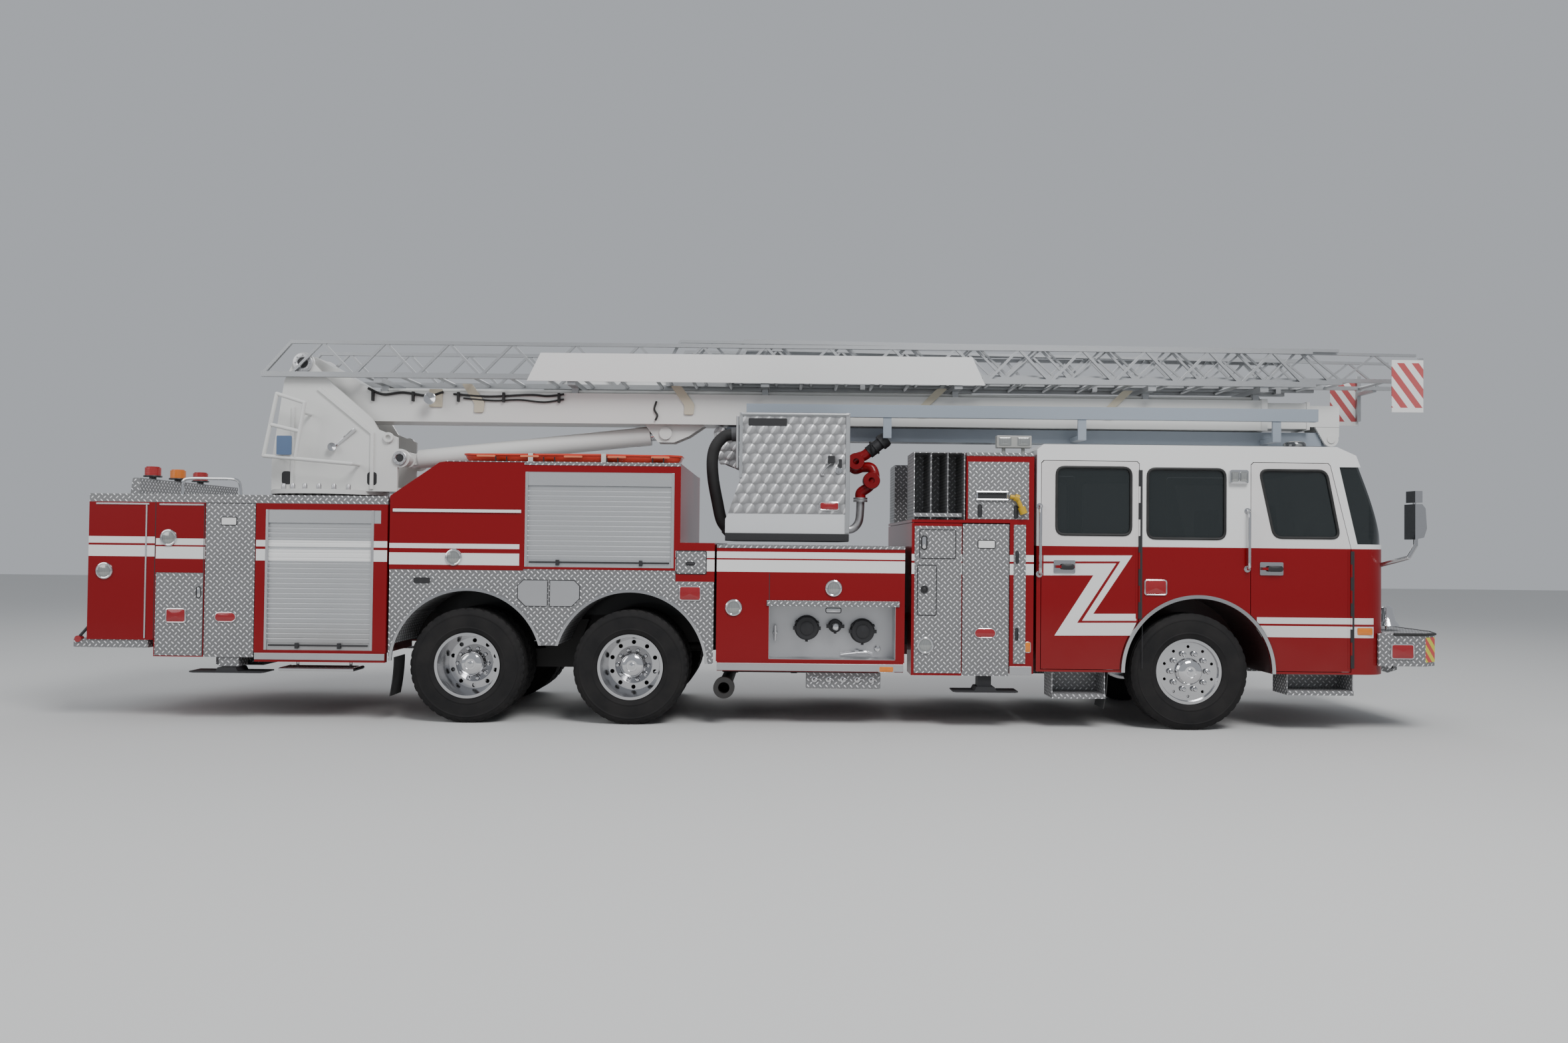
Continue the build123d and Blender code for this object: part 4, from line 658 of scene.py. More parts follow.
@dataclass(frozen=True)
class BoardPaint(Paint):
    """White paint that turns into diagonal red and white stripes ahead of a place on X."""

    from_x: float = 5.9
    heights: Pair = (3.02, 3.45)
    stripes: Colour = (0.42, 0.008, 0.012)
    width: float = 0.190

    def make(self) -> bpy.types.Material:
        """Builds the material: a stripe is half of each repeat along a line that leans down to the front.

        Returns:
            The finished material.
        """
        tree = Tree(self.name)
        x, _, z = tree.place()
        lean = ((x * 1.35 + z) / self.width).fraction() > 0.5
        mask = lean * (x > self.from_x) * z.between(*self.heights)
        self.dress(tree, tree.mix(mask, self.colour, self.stripes))
        return tree.material


@dataclass(frozen=True)
class LampBodies:
    """The lamps that are CAD forms: bright housings in front, and red and amber domes behind."""

    name: str
    red: Colour = (0.34, 0.004, 0.010)
    amber: Colour = (0.68, 0.17, 0.006)
    bright: Colour = (0.66, 0.66, 0.67)
    amber_y: Pair = (-0.40, -0.12)
    base_top: float = 2.238

    def make(self) -> bpy.types.Material:
        """Builds the material.

        Returns:
            The finished material.
        """
        tree = Tree(self.name)
        x, y, z = tree.place()
        front = x > 0.0
        dome = tree.mix(y.between(*self.amber_y), self.red, self.amber)
        base = (z < self.base_top) * (1.0 - front)
        rib = (z * 700.0).sin() * 0.5 + 0.5
        # painted sheen: the domes are lightened a little along each rib
        coloured = tree.mix(base, tree.mix(rib * 0.10, dome, (0.8, 0.4, 0.3)), (0.02, 0.02, 0.02))
        tree.set(
            Base_Color=tree.mix(front, coloured, self.bright),
            Metallic=front * 0.95,
            Roughness=0.16 + tree.noise(12.0) * 0.08,
            Coat_Weight=0.4,
        )
        tree.bump(rib * (1.0 - front), 0.25)
        return tree.material


@dataclass(frozen=True)
class Slats:
    """Brushed aluminium slats with the two stripes painted across the shutter where it carries them."""

    name: str
    bands: tuple[Band, ...]
    colour: Colour = (0.58, 0.59, 0.60)
    second: Colour = (0.80, 0.80, 0.79)

    def make(self) -> bpy.types.Material:
        """Builds the material.

        Returns:
            The finished material.
        """
        tree = Tree(self.name)
        x, _, z = tree.place()
        mask = tree.value(0.0)
        for band in self.bands:
            mask = mask + x.between(*band.x) * z.between(*band.z)
        mask = mask.clamped()
        grain = tree.noise(60.0, 4.0, (1.0, 1.0, 14.0))
        cloud = tree.noise(1.6, 4.0)
        low = ((0.95 - z) * 2.0).clamped() * cloud
        metal = tree.mix(cloud * 0.7, self.colour, tuple(c * 0.74 for c in self.colour))
        tree.set(
            Base_Color=tree.mix(mask, tree.mix(low * 0.8, metal, (0.30, 0.26, 0.22)), self.second),
            Metallic=(1.0 - mask) * 0.85,
            Roughness=grain * 0.16 + cloud * 0.10 + 0.30,
        )
        tree.bump(grain, 0.12)
        return tree.material


@dataclass(frozen=True)
class Hazard:
    """Diagonal stripes of two colours on a board."""

    name: str
    first: Colour
    second: Colour
    width: float
    slope: float = 1.0

    def make(self) -> bpy.types.Material:
        """Builds the material: the stripes lean by the slope, in Y where the board faces forwards.

        Returns:
            The finished material.
        """
        tree = Tree(self.name)
        x, y, z = tree.place()
        ahead = tree.facing()[0].abs() > 0.6
        along = x * (1.0 - ahead) + y.abs() * ahead
        stripe = ((along + z * self.slope) / self.width).fraction() > 0.5
        cloud = tree.noise(8.0, 3.0)
        tree.set(
            Base_Color=tree.mix(cloud * 0.15, tree.mix(stripe, self.first, self.second), (0.35, 0.33, 0.31)),
            Roughness=0.38 + cloud * 0.1,
            Coat_Weight=0.2,
        )
        tree.bump(tree.noise(90.0, 2.0), 0.05)
        return tree.material


@dataclass(frozen=True)
class Reflector:
    """Lamp glass over a bright bowl, painted: painted light in the middle, a painted dark ring where it turns
    towards its rim.
    """

    name: str
    bright: Colour = (0.36, 0.37, 0.36)
    dark: Colour = (0.07, 0.075, 0.08)

    def make(self) -> bpy.types.Material:
        """Builds the material from how far the surface is turned away from its flat middle, as painted light
        and shade.

        Returns:
            The finished material.
        """
        tree = Tree(self.name)
        x, y, _ = tree.place()
        nx, ny, nz = tree.facing()
        straight = nx * nx * nx * nx + ny * ny * ny * ny + nz * nz * nz * nz
        # painted light where the glass faces square along an axis, painted shade where it turns away
        middle = ((straight - 0.74) * 5.0).clamped()
        # the flutes are painted a little lighter too, as a painted glint
        flute = ((x + y) * 420.0).sin() * 0.5 + 0.5
        tree.set(
            Base_Color=tree.mix(middle * (0.75 + flute * 0.25), self.dark, self.bright),
            Metallic=0.5,
            Roughness=0.12,
            Coat_Weight=0.8,
        )
        tree.bump(flute, 0.2)
        return tree.material


@dataclass(frozen=True)
class Lens:
    """Coloured lamp lens with fine ribs, painted lighter along each rib as a painted glint."""

    name: str
    colour: Colour
    ribs: float = 900.0

    def make(self) -> bpy.types.Material:
        """Builds the material.

        Returns:
            The finished material.
        """
        tree = Tree(self.name)
        rib = (tree.place()[0] * self.ribs).sin() * 0.5 + 0.5
        # painted glint: the colour is lightened along each rib
        tree.set(
            Base_Color=tree.mix(
                rib * 0.35, self.colour, tuple(min(1.0, c * 1.6 + 0.006) for c in self.colour)
            ),
            Roughness=0.14,
            Coat_Weight=0.7,
        )
        tree.bump(rib, 0.3)
        return tree.material


# Surfaces
class Shape:
    """Vertices and faces gathered as arrays until they become one piece."""

    def __init__(self) -> None:
        """Starts empty."""
        self.points: list[np.ndarray] = []
        self.faces: list[list[int]] = []
        self.count = 0

    def add(self, points: np.ndarray, faces: Iterable[Sequence[int]]) -> Shape:
        """Adds a closed form, its faces turned over where the volume they hold comes out negative.

        Args:
            points: its points, in any array of triples.
            faces: the corners of each face.

        Returns:
            This shape.
        """
        start = self.count
        flat = np.asarray(points, float).reshape(-1, 3)
        faces = [[int(i) for i in face] for face in faces]
        fans = np.array([(f[0], f[i], f[i + 1]) for f in faces for i in range(1, len(f) - 1)])
        corner = flat[fans] - flat.mean(axis=0)
        volume = np.einsum("ij,ij->", corner[:, 0], np.cross(corner[:, 1], corner[:, 2]))
        if volume < 0.0:
            faces = [face[::-1] for face in faces]
        self.points.append(flat)
        self.faces += [[start + i for i in face] for face in faces]
        self.count += len(self.points[-1])
        return self

    def grid(
        self, points: np.ndarray, around: bool = False, along: bool = False, ends: bool = False
    ) -> Shape:
        """Adds a surface on a grid of points.

        Args:
            points: rows along the first parameter and columns along the second.
            around: closes the columns into a ring.
            along: closes the rows into a ring.
            ends: fills the first and the last ring.

        Returns:
            This shape.
        """
        rows, columns = points.shape[:2]
        i = np.arange(rows if along else rows - 1)
        k = np.arange(columns if around else columns - 1)
        a, b = np.meshgrid(i, k, indexing="ij")
        a2, b2 = (a + 1) % rows, (b + 1) % columns
        corners = (a * columns + b, a * columns + b2, a2 * columns + b2, a2 * columns + b)
        faces = np.stack(corners, -1).reshape(-1, 4).tolist()
        if ends:
            faces.append(list(range(columns))[::-1])
            faces.append([(rows - 1) * columns + n for n in range(columns)])
        return self.add(points, faces)

    def box(self, low: Point, high: Point) -> Shape:
        """Adds a box between two corners.

        Args:
            low: one corner.
            high: the opposite corner.

        Returns:
            This shape.
        """
        (x0, y0, z0), (x1, y1, z1) = np.minimum(low, high), np.maximum(low, high)
        points = [(x, y, z) for z in (z0, z1) for x, y in ((x0, y0), (x1, y0), (x1, y1), (x0, y1))]
        faces = [(3, 2, 1, 0), (4, 5, 6, 7), (0, 1, 5, 4), (1, 2, 6, 5), (2, 3, 7, 6), (3, 0, 4, 7)]
        return self.add(np.array(points), faces)

    def tube(self, path: Sequence[Point], radius: float, sides: int = 12) -> Shape:
        """Adds a round tube: a circle square to the path at each point, and closed ends.

        Args:
            path: points of the middle line.
            radius: the circle's radius.
            sides: corners of the circle.

        Returns:
            This shape.
        """
        line = np.array(path, float)
        way = np.gradient(line, axis=0)
        way /= np.linalg.norm(way, axis=1)[:, None]
        up = np.array((0.0, 0.0, 1.0)) if abs(way[0][2]) < 0.9 else np.array((1.0, 0.0, 0.0))
        rings = []
        across = np.cross(up, way[0])
        for here, forward in zip(line, way):
            across = across - forward * across.dot(forward)
            across = across / np.linalg.norm(across)
            other = np.cross(forward, across)
            turn = np.linspace(0.0, 2.0 * np.pi, sides, endpoint=False)[:, None]
            rings.append(here + radius * (np.cos(turn) * across + np.sin(turn) * other))
        return self.grid(np.array(rings), around=True, ends=True)

    def rim(self, loop: np.ndarray, y: float, radius: float, sides: int = 6, axis: str = "Y") -> Shape:
        """Adds a closed tube round a flat loop: a circle square to the loop at each of its points.

        Args:
            loop: rows of the two coordinates other than the axis, in order.
            y: the loop's place on the axis.
            radius: the tube's radius.
            sides: corners of the tube's circle.
            axis: the axis that the loop is square to.

        Returns:
            This shape.
        """
        ahead = np.roll(loop, -1, axis=0) - np.roll(loop, 1, axis=0)
        ahead /= np.linalg.norm(ahead, axis=1)[:, None]
        out = np.stack((ahead[:, 1], -ahead[:, 0]), -1)
        turn = np.linspace(0.0, 2.0 * np.pi, sides, endpoint=False)
        flat = loop[:, None, :] + radius * np.cos(turn)[None, :, None] * out[:, None, :]
        depth = np.broadcast_to(y + radius * np.sin(turn)[None, :], flat.shape[:2])
        return self.grid(self.placed(flat, depth, axis), around=True, along=True)

    @staticmethod
    def placed(flat: np.ndarray, depth: np.ndarray, axis: str) -> np.ndarray:
        """Points from two flat coordinates and a depth along an axis."""
        u, v = flat[..., 0], flat[..., 1]
        return np.stack({"X": (depth, u, v), "Y": (u, depth, v), "Z": (u, v, depth)}[axis], -1)

    def crown(
        self, loop: np.ndarray, y: float, rise: float, rings: int = 5, edge: float = 0.35, axis: str = "Y"
    ) -> Shape:
        """Adds a crowned lid on a flat loop.

        Each ring is the loop drawn in towards its middle by t, and it stands off by the rise times
        edge + (1 - edge) * (1 - (1 - t)^2).

        Args:
            loop: the outline, as rows of the two coordinates other than the axis.
            y: the plane that the lid sits on.
            rise: how far its middle stands off, with the sign of the side.
            rings: how many rings the crown has.
            edge: the share of the rise that stands straight up at the rim.
            axis: the axis that the lid faces along.

        Returns:
            This shape.
        """
        middle = loop.mean(axis=0)
        drawn = np.concatenate(([0.0, 0.0], np.linspace(0.12, 0.94, rings)))
        height = np.concatenate(([0.0, edge], edge + (1.0 - edge) * (1.0 - (1.0 - drawn[2:]) ** 2)))
        flat = loop[None] + (middle - loop)[None] * drawn[:, None, None]
        depth = np.broadcast_to((y + rise * height)[:, None], flat.shape[:2])
        return self.grid(self.placed(flat, depth, axis), around=True, ends=True)

    def lathe(self, profile: Sequence[Pair], centre: Point, axis: str = "Y", sides: int = 48) -> Shape:
        """Adds a turned form: each profile point (radius, distance along the axis) goes once round the axis.

        The profile's ends are joined, so a form that reaches the axis starts and ends near it.

        Args:
            profile: points of radius and distance.
            centre: where distance is nought.
            axis: the axis.
            sides: steps round it.

        Returns:
            This shape.
        """
        r, a = np.array(profile, float).T
        turn = np.linspace(0.0, 2.0 * np.pi, sides, endpoint=False)
        c = r[:, None] * np.cos(turn)
        s = r[:, None] * np.sin(turn)
        d = np.repeat(a[:, None], sides, 1)
        order = {"X": (d, c, s), "Y": (s, d, c), "Z": (c, s, d)}[axis]
        return self.grid(np.stack(order, -1) + np.array(centre), around=True, along=True)

    def prism(self, outline: Sequence[Pair], low: float, high: float, axis: str = "Y") -> Shape:
        """Adds a filled outline carried along an axis; its coordinates are the other two axes in order.

        Args:
            outline: rows of the two coordinates.
            low: its start on the axis.
            high: its end on the axis.
            axis: the axis.

        Returns:
            This shape.
        """
        flat = np.array(outline, float)
        rings = [self.placed(flat, np.full(len(flat), depth), axis) for depth in (low, high)]
        return self.grid(np.array(rings), around=True, ends=True)

    def piece(
        self, name: str, material: bpy.types.Material, body: str, smooth: bool = False, bevel: float = 0.0
    ) -> bpy.types.Object:
        """Makes the piece and seats it on a body.

        Args:
            name: the piece's name.
            material: its finish.
            body: the CAD body that it rides on.
            smooth: shades it smooth, with edges over 35 degrees kept sharp.
            bevel: width of a small rounding of its edges.

        Returns:
            The new object.
        """
        mesh = bpy.data.meshes.new(name)
        mesh.from_pydata(np.concatenate(self.points).tolist(), [], self.faces)
        mesh.materials.append(material)
        if smooth:
            mesh.polygons.foreach_set("use_smooth", np.ones(len(mesh.polygons), bool))
            mesh.set_sharp_from_angle(angle=math.radians(35.0))
        thing = bpy.data.objects.new(name, mesh)
        bpy.context.scene.collection.objects.link(thing)
        if bevel:
            edge = thing.modifiers.new("edge", "BEVEL")
            edge.width = bevel
            edge.segments = 2
            edge.limit_method = "ANGLE"
        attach(thing, body)
        log.info("piece %s: %d faces", name, len(self.faces))
        return thing


def rounded(x: Pair, z: Pair, radius: float, steps: int = 5) -> np.ndarray:
    """Outline of a rectangle with rounded corners, as rows of X and Z: a quarter circle at each corner.

    Args:
        x: range of the first coordinate.
        z: range of the second.
        radius: the corners' radius.
        steps: points on each quarter.

    Returns:
        The outline.
    """
    quarter = np.linspace(0.0, np.pi / 2.0, steps)
    corners = ((x[1], z[1], 1, 1, 0), (x[0], z[1], -1, 1, 1), (x[0], z[0], -1, -1, 2), (x[1], z[0], 1, -1, 3))
    rows = []
    for cx, cz, sx, sz, turn in corners:
        angle = quarter + turn * np.pi / 2.0
        rows.append(
            np.stack(
                (cx - sx * radius + radius * np.cos(angle), cz - sz * radius + radius * np.sin(angle)), -1
            )
        )
    return np.concatenate(rows)


def softened(corners: Sequence[Pair], radius: float, steps: int = 6) -> np.ndarray:
    """A polygon whose corners are rounded by a parabola between the two points a radius from each corner.

    Args:
        corners: the polygon.
        radius: distance from a corner to its curve's ends.
        steps: points on each curve.

    Returns:
        The outline.
    """
    points = np.array(corners, float)
    rows = []
    for here, before, after in zip(points, np.roll(points, 1, axis=0), np.roll(points, -1, axis=0)):
        start = here + (before - here) / np.linalg.norm(before - here) * radius
        end = here + (after - here) / np.linalg.norm(after - here) * radius
        t = np.linspace(0.0, 1.0, steps)[:, None]
        rows.append((1 - t) ** 2 * start + 2 * t * (1 - t) * here + t**2 * end)
    return np.concatenate(rows)


def disc(x: float, z: float, radius: float, count: int = 32) -> np.ndarray:
    """A circle as rows of X and Z."""
    turn = np.linspace(0.0, 2.0 * np.pi, count, endpoint=False)
    return np.stack((x + radius * np.cos(turn), z + radius * np.sin(turn)), -1)


def arc(points: Sequence[Point], steps: int = 24) -> list[Point]:
    """A smooth line through a few points: each span is a cubic whose slope follows its neighbours.

    Args:
        points: the points it passes through.
        steps: points on the whole line.

    Returns:
        The line.
    """
    p = np.array(points, float)
    p = np.concatenate((2 * p[:1] - p[1:2], p, 2 * p[-1:] - p[-2:-1]))
    rows = []
    t = np.linspace(0.0, 1.0, max(2, steps // max(1, len(points) - 1)), endpoint=False)[:, None]
    for a, b, c, d in zip(p, p[1:], p[2:], p[3:]):
        rows.append(
            0.5 * (2 * b + (c - a) * t + (2 * a - 5 * b + 4 * c - d) * t**2 + (3 * b - a - 3 * c + d) * t**3)
        )
    rows.append(p[-2:-1])
    return [tuple(row) for row in np.concatenate(rows)]


def body_bands() -> tuple[Band, ...]:
    """The thin and the thick white stripe along the body's sides, piece by piece from the tail forwards.

    Returns:
        The bands.
    """
    runs = (
        # X range, thin stripe's heights, thick stripe's heights
        ((-6.215, -5.610), (1.601, 1.661), (1.481, 1.582)),
        ((-5.600, -5.155), (1.588, 1.647), (1.463, 1.573)),
        ((-4.690, -3.500), (1.583, 1.641), (1.455, 1.559)),
        ((-3.480, -2.300), (1.582, 1.626), (1.433, 1.541)),
        ((-0.880, -0.510), (1.521, 1.581), (1.398, 1.507)),
        ((-0.505, 1.221), (1.521, 1.581), (1.398, 1.507)),
        ((1.264, 2.372), (1.515, 1.576), (1.395, 1.495)),
    )
    bands = [Band((-3.452, -2.288), (1.911, 1.939))]
    for x, thin, thick in runs:
        bands += [Band(x, thin), Band(x, thick)]
    return tuple(bands)


CAB_BANDS = (Band((4.400, 5.66), (0.978, 1.035)), Band((4.400, 5.66), (0.856, 0.958)))
SHUTTER_BANDS = (Band((-4.61, -3.55), (1.583, 1.641)), Band((-4.61, -3.55), (1.455, 1.559)))


class Finishes:
    """Every material of the vehicle, made once."""

    def __init__(self) -> None:
        """Builds the materials."""
        self.red = Paint("red_paint", RED).make()
        striped = StripedPaint("red_paint_with_stripes", RED, second=WHITE, bands=body_bands(), decks=True)
        two_tone = StripedPaint("cab_paint_two_tone", RED, second=WHITE, bands=CAB_BANDS, above=BELT_Z)
        self.body_red, self.cab_red = striped.make(), two_tone.make()
        self.white = Paint("white_paint", WHITE, roughness=0.3, dust=0.2).make()
        self.boom_white = Paint("boom_white_paint", (0.72, 0.72, 0.70), 0.36, 0.3, 0.1).make()
        self.black = Plastic("black_steel", (0.022, 0.022, 0.024), 0.45).make()
        self.under = Plastic("underframe_black", (0.03, 0.028, 0.027), 0.6, 0.2).make()
        self.tread = TreadPlate("tread_plate").make()
        self.plate = Metal("smooth_plate", (0.60, 0.60, 0.61), 0.30, (1.0, 1.0, 9.0)).make()
        self.shutter = Slats("shutter_slats", SHUTTER_BANDS).make()
        self.quilt = Quilted("quilted_sheet").make()
        self.board_white = BoardPaint("ladder_panel_paint", WHITE, roughness=0.3, dust=0.05).make()
        self.lamp_bodies = LampBodies("lamp_bodies").make()
        self.chevron = Hazard("bumper_chevrons", (0.62, 0.60, 0.02), (0.55, 0.03, 0.02), 0.110, 0.9).make()
        self.rope = Plastic("litter_handhold", (0.70, 0.20, 0.10), 0.5, 0.2).make()
        self.strap = Plastic("strap_webbing", (0.62, 0.60, 0.56), 0.8, 0.6).make()
        self.cream = Paint("cream_bracket", (0.56, 0.51, 0.40), roughness=0.42, coat=0.1, dust=0.05).make()
        self.sign_blue = Plastic("bare_sign_plate", (0.10, 0.16, 0.28), 0.4, 0.05).make()
        self.ladder = Metal("ladder_aluminium", ALUMINIUM, 0.34, (0.4, 3.0, 3.0)).make()
        bright = {"grain_scale": 90.0, "patchy": 0.2, "relief": 0.0, "grainy": 0.02}
        self.rim = Metal("polished_rim", (0.56, 0.56, 0.57), 0.14, **bright).make()
        self.chrome = Metal("chrome", (0.68, 0.68, 0.69), 0.08, **bright).make()
        self.tyre = Rubber("tyre_rubber").make()
        self.hose = Rubber("black_hose", (0.02, 0.02, 0.02), (0.05, 0.05, 0.05), 0.55).make()
        self.glass = Glazing("tinted_glass").make()
        self.seat = Plastic("seat_cloth", (0.035, 0.036, 0.045), 0.9, 0.6).make()
        self.trim_grey = Plastic("cab_lining", (0.10, 0.10, 0.105), 0.7, 0.3).make()
        self.lamp_grey = Plastic("lamp_housing_grey", (0.36, 0.36, 0.34), 0.4, 0.1).make()
        self.brass = Plastic("yellow_coupling", (0.55, 0.34, 0.015), 0.35, 0.1).make()
        self.orange = Plastic("litter_shell", (0.72, 0.050, 0.022), 0.32, 0.05, 0.4).make()
        self.grey_blue = Paint("arm_grey_blue", GREY_BLUE, 0.38, 0.2, 0.1).make()
        self.cast = Plastic("engine_grey", (0.08, 0.08, 0.085), 0.6, 0.3).make()
        self.red_lens = Lens("red_lens", (0.26, 0.006, 0.010)).make()
        self.amber_lens = Lens("amber_lens", (0.62, 0.17, 0.008)).make()
        self.clear_lens = Reflector("clear_lens").make()

    def by_node(self) -> dict[str, bpy.types.Material]:
        """The material of each CAD node.

        Returns:
            The materials by the nodes' names.
        """
        table = {
            "frame_rails": self.under, "axles": self.under, "underbody": self.under,
            "engine_block": self.cast,
            "tail_body": self.body_red, "mid_body": self.body_red, "rear_body": self.body_red,
            "pump_body": self.body_red, "fore_body": self.body_red, "rollup_doors": self.shutter,
            "pump_fittings": self.black, "tread_plates": self.tread, "slewing_ring": self.under,
            "cab_lower": self.cab_red, "cab_upper": self.white, "cab_glass": self.glass,
            "cab_interior": self.trim_grey, "cab_seats": self.seat, "cab_trim": self.black,
            "lamps": self.lamp_bodies, "front_bumper": self.tread, "light_box": self.tread,
            "bright_trim": self.rim,
            "litter_basket": self.orange, "turret": self.boom_white, "boom_tube": self.boom_white,
            "ladder": self.ladder, "ladder_panels": self.board_white, "lift_barrel": self.boom_white,
            "lift_rod": self.chrome, "arm": self.grey_blue, "cage": self.quilt, "monitor": self.red,
        }
        for letter in "rl":
            table[f"knuckle_{letter}"] = self.under
            table[f"tyre_front_{letter}"] = self.tyre
            table[f"wheel_front_{letter}"] = self.rim
            for number in (1, 2):
                table[f"tyres_rear{number}_{letter}"] = self.tyre
                table[f"wheels_rear{number}_{letter}"] = self.rim
            for end in ("rear", "front"):
                table[f"door_{end}_{letter}"] = self.cab_red
                table[f"outrigger_{end}_{letter}"] = self.tread
                table[f"jack_{end}_{letter}"] = self.black
        return table


class Lights(Enum):
    """Kinds of lamp on the body's sides and tail."""

    ROUND = "round clear lamp in a bright ring"
    RED = "red marker in a bright frame"
    OVAL = "red oval marker"
    AMBER = "amber marker"


@dataclass
class SubAssembly:
    """A part of the vehicle whose pieces take their materials from one set of finishes."""

    finishes: Finishes


@dataclass
class Wheels(SubAssembly):
    """Tyres with tread and ringed side walls in place of the plain ones, and bright caps on the hubs."""

    axles: tuple[tuple[str, str], ...] = (
        # tyre node, body that spins; the side's letter or word follows
        ("tyre_front", "front_wheel"),
        ("tyres_rear1", "rear1_wheels"),
        ("tyres_rear2", "rear2_wheels"),
    )
    widths: Pair = (0.315, 0.280)
    bead: float = 0.300
    columns: int = 160
    lugs: int = 40
    lug_gap: float = 0.26  # share of a lug's pitch that is cut away
    # for a steered and a driven tyre: depth of that cut, and share of the half width where it starts
    lug_depth: Pair = (0.006, 0.011)
    shoulder: Pair = (0.74, 0.45)
    groove: float = 0.010

    def build(self) -> None:
        """Makes every tyre and its hub's cap."""
        for side in Side:
            for number, (node, body) in enumerate(self.axles):
                name = f"{node}_{side.word[0]}"
                rides = f"{body}_{side.word}"
                low, high = (np.array(corner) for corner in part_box(name))
                width = self.widths[min(number, 1)]
                x = float(low[0] + high[0]) / 2.0
                radius = float(high[0] - low[0]) / 2.0
                tyre = Shape()
                middles = {round(float(high[1]) - width / 2.0, 4), round(float(low[1]) + width / 2.0, 4)}
                for y in sorted(middles):
                    tyre.grid(
                        self.surface(radius, width, (x, y, radius), number > 0), around=True, along=True
                    )
                made = tyre.piece(f"{name}_tread", self.finishes.tyre, rides, smooth=True)
                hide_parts(name)
                outer = max(middles, key=abs)
                self.hub(f"{rides}_cap", (x, outer, radius), side, number, rides)

    def surface(self, radius: float, width: float, centre: Point, driven: bool) -> np.ndarray:
        """A tyre as a closed surface of the angle and the way round its section.

        The section runs from one bead up the wall, over the tread and down. Two low ridges ring each wall.
        The tread drops by a groove's depth at four rings, and on a driven tyre also between its lugs.

        Args:
            radius: outer radius.
            width: width over the walls.
            centre: middle of the tyre.
            driven: makes cross lugs near the shoulders.

        Returns:
            Points of the surface, the section along the first axis.
        """
        half = width / 2.0
        wall = [
            (self.bead, 0.74), (self.bead + 0.004, 0.86), (0.62, 0.945), (0.650, 0.965), (0.656, 0.985),
            (0.672, 0.985), (0.678, 0.972), (0.74, 0.992), (0.80, 1.0), (0.86, 0.992), (0.876, 0.99),
            (0.882, 1.004), (0.894, 1.004), (0.900, 0.975), (0.940, 0.935), (0.968, 0.86), (0.992, 0.80),
        ]
        tread = [0.78, 0.62, 0.60, 0.50, 0.48, 0.30, 0.22, 0.20, 0.10, 0.08]
        rows = [(r if r <= 0.31 else r * radius, a, 0) for r, a in wall]
        depth = {0.60: 1, 0.50: 1, 0.20: 1, 0.10: 1}
        rows += [(radius, a, depth.get(a, 0)) for a in tread]
        rows += [(r, -a, d) for r, a, d in rows[::-1]]
        r = np.array([row[0] for row in rows])[:, None]
        a = np.array([row[1] for row in rows])[:, None]
        drop = np.array([row[2] for row in rows])[:, None] * self.groove
        turn = np.linspace(0.0, 2.0 * np.pi, self.columns, endpoint=False)[None, :]
        lug = np.mod(turn * self.lugs / (2.0 * np.pi) + np.abs(a) * 1.2, 1.0) < self.lug_gap
        shoulder = (np.abs(a) > self.shoulder[driven]) & (r > radius * 0.96)
        sunk = np.where(lug & shoulder, self.lug_depth[driven], 0.0)
        r = r - np.maximum(drop, sunk)
        x, y, z = centre
        return np.stack((x + r * np.cos(turn), y + a * half + 0.0 * turn, z + r * np.sin(turn)), -1)

    def hub(self, name: str, centre: Point, side: Side, number: int, body: str) -> None:
        """A polished cap: a turned dome with a stepped collar, and pointed covers on the wheel nuts.

        Args:
            name: the piece's name.
            centre: middle of the outer tyre.
            side: the side that it is made for.
            number: the axle, nought in front.
            body: the wheel's body.
        """
        out = side.value
        shape = Shape()
        x, y, z = centre
        if number == 0:
            face, ring, nut, size = y + out * 0.155, 0.167, y + out * 0.122, 0.021
        else:
            face, ring, nut, size = y - out * 0.004, 0.143, y - out * 0.106, 0.020
        profile = [
            (CORE, 0.0), (0.104, 0.0), (0.104, 0.006), (0.098, 0.008), (0.092, 0.014), (0.060, 0.020),
            (0.052, 0.021), (0.050, 0.015), (0.030, 0.015), (0.028, 0.020), (CORE, 0.022),
        ]
        shape.lathe([(r, out * a) for r, a in profile], (x, face - out * 0.004, z), "Y", 40)
        for k in range(10):
            angle = 2.0 * math.pi * k / 10.0
            spot = (x + ring * math.cos(angle), nut, z + ring * math.sin(angle))
            cover = [
                (CORE, 0.0), (size + 0.004, 0.0), (size + 0.004, 0.004), (size, 0.006), (size, 0.022),
                (size * 0.7, 0.031), (CORE, 0.034),
            ]
            shape.lathe([(r, out * a) for r, a in cover], spot, "Y", 12)
        shape.piece(name, self.finishes.chrome, body, smooth=True)


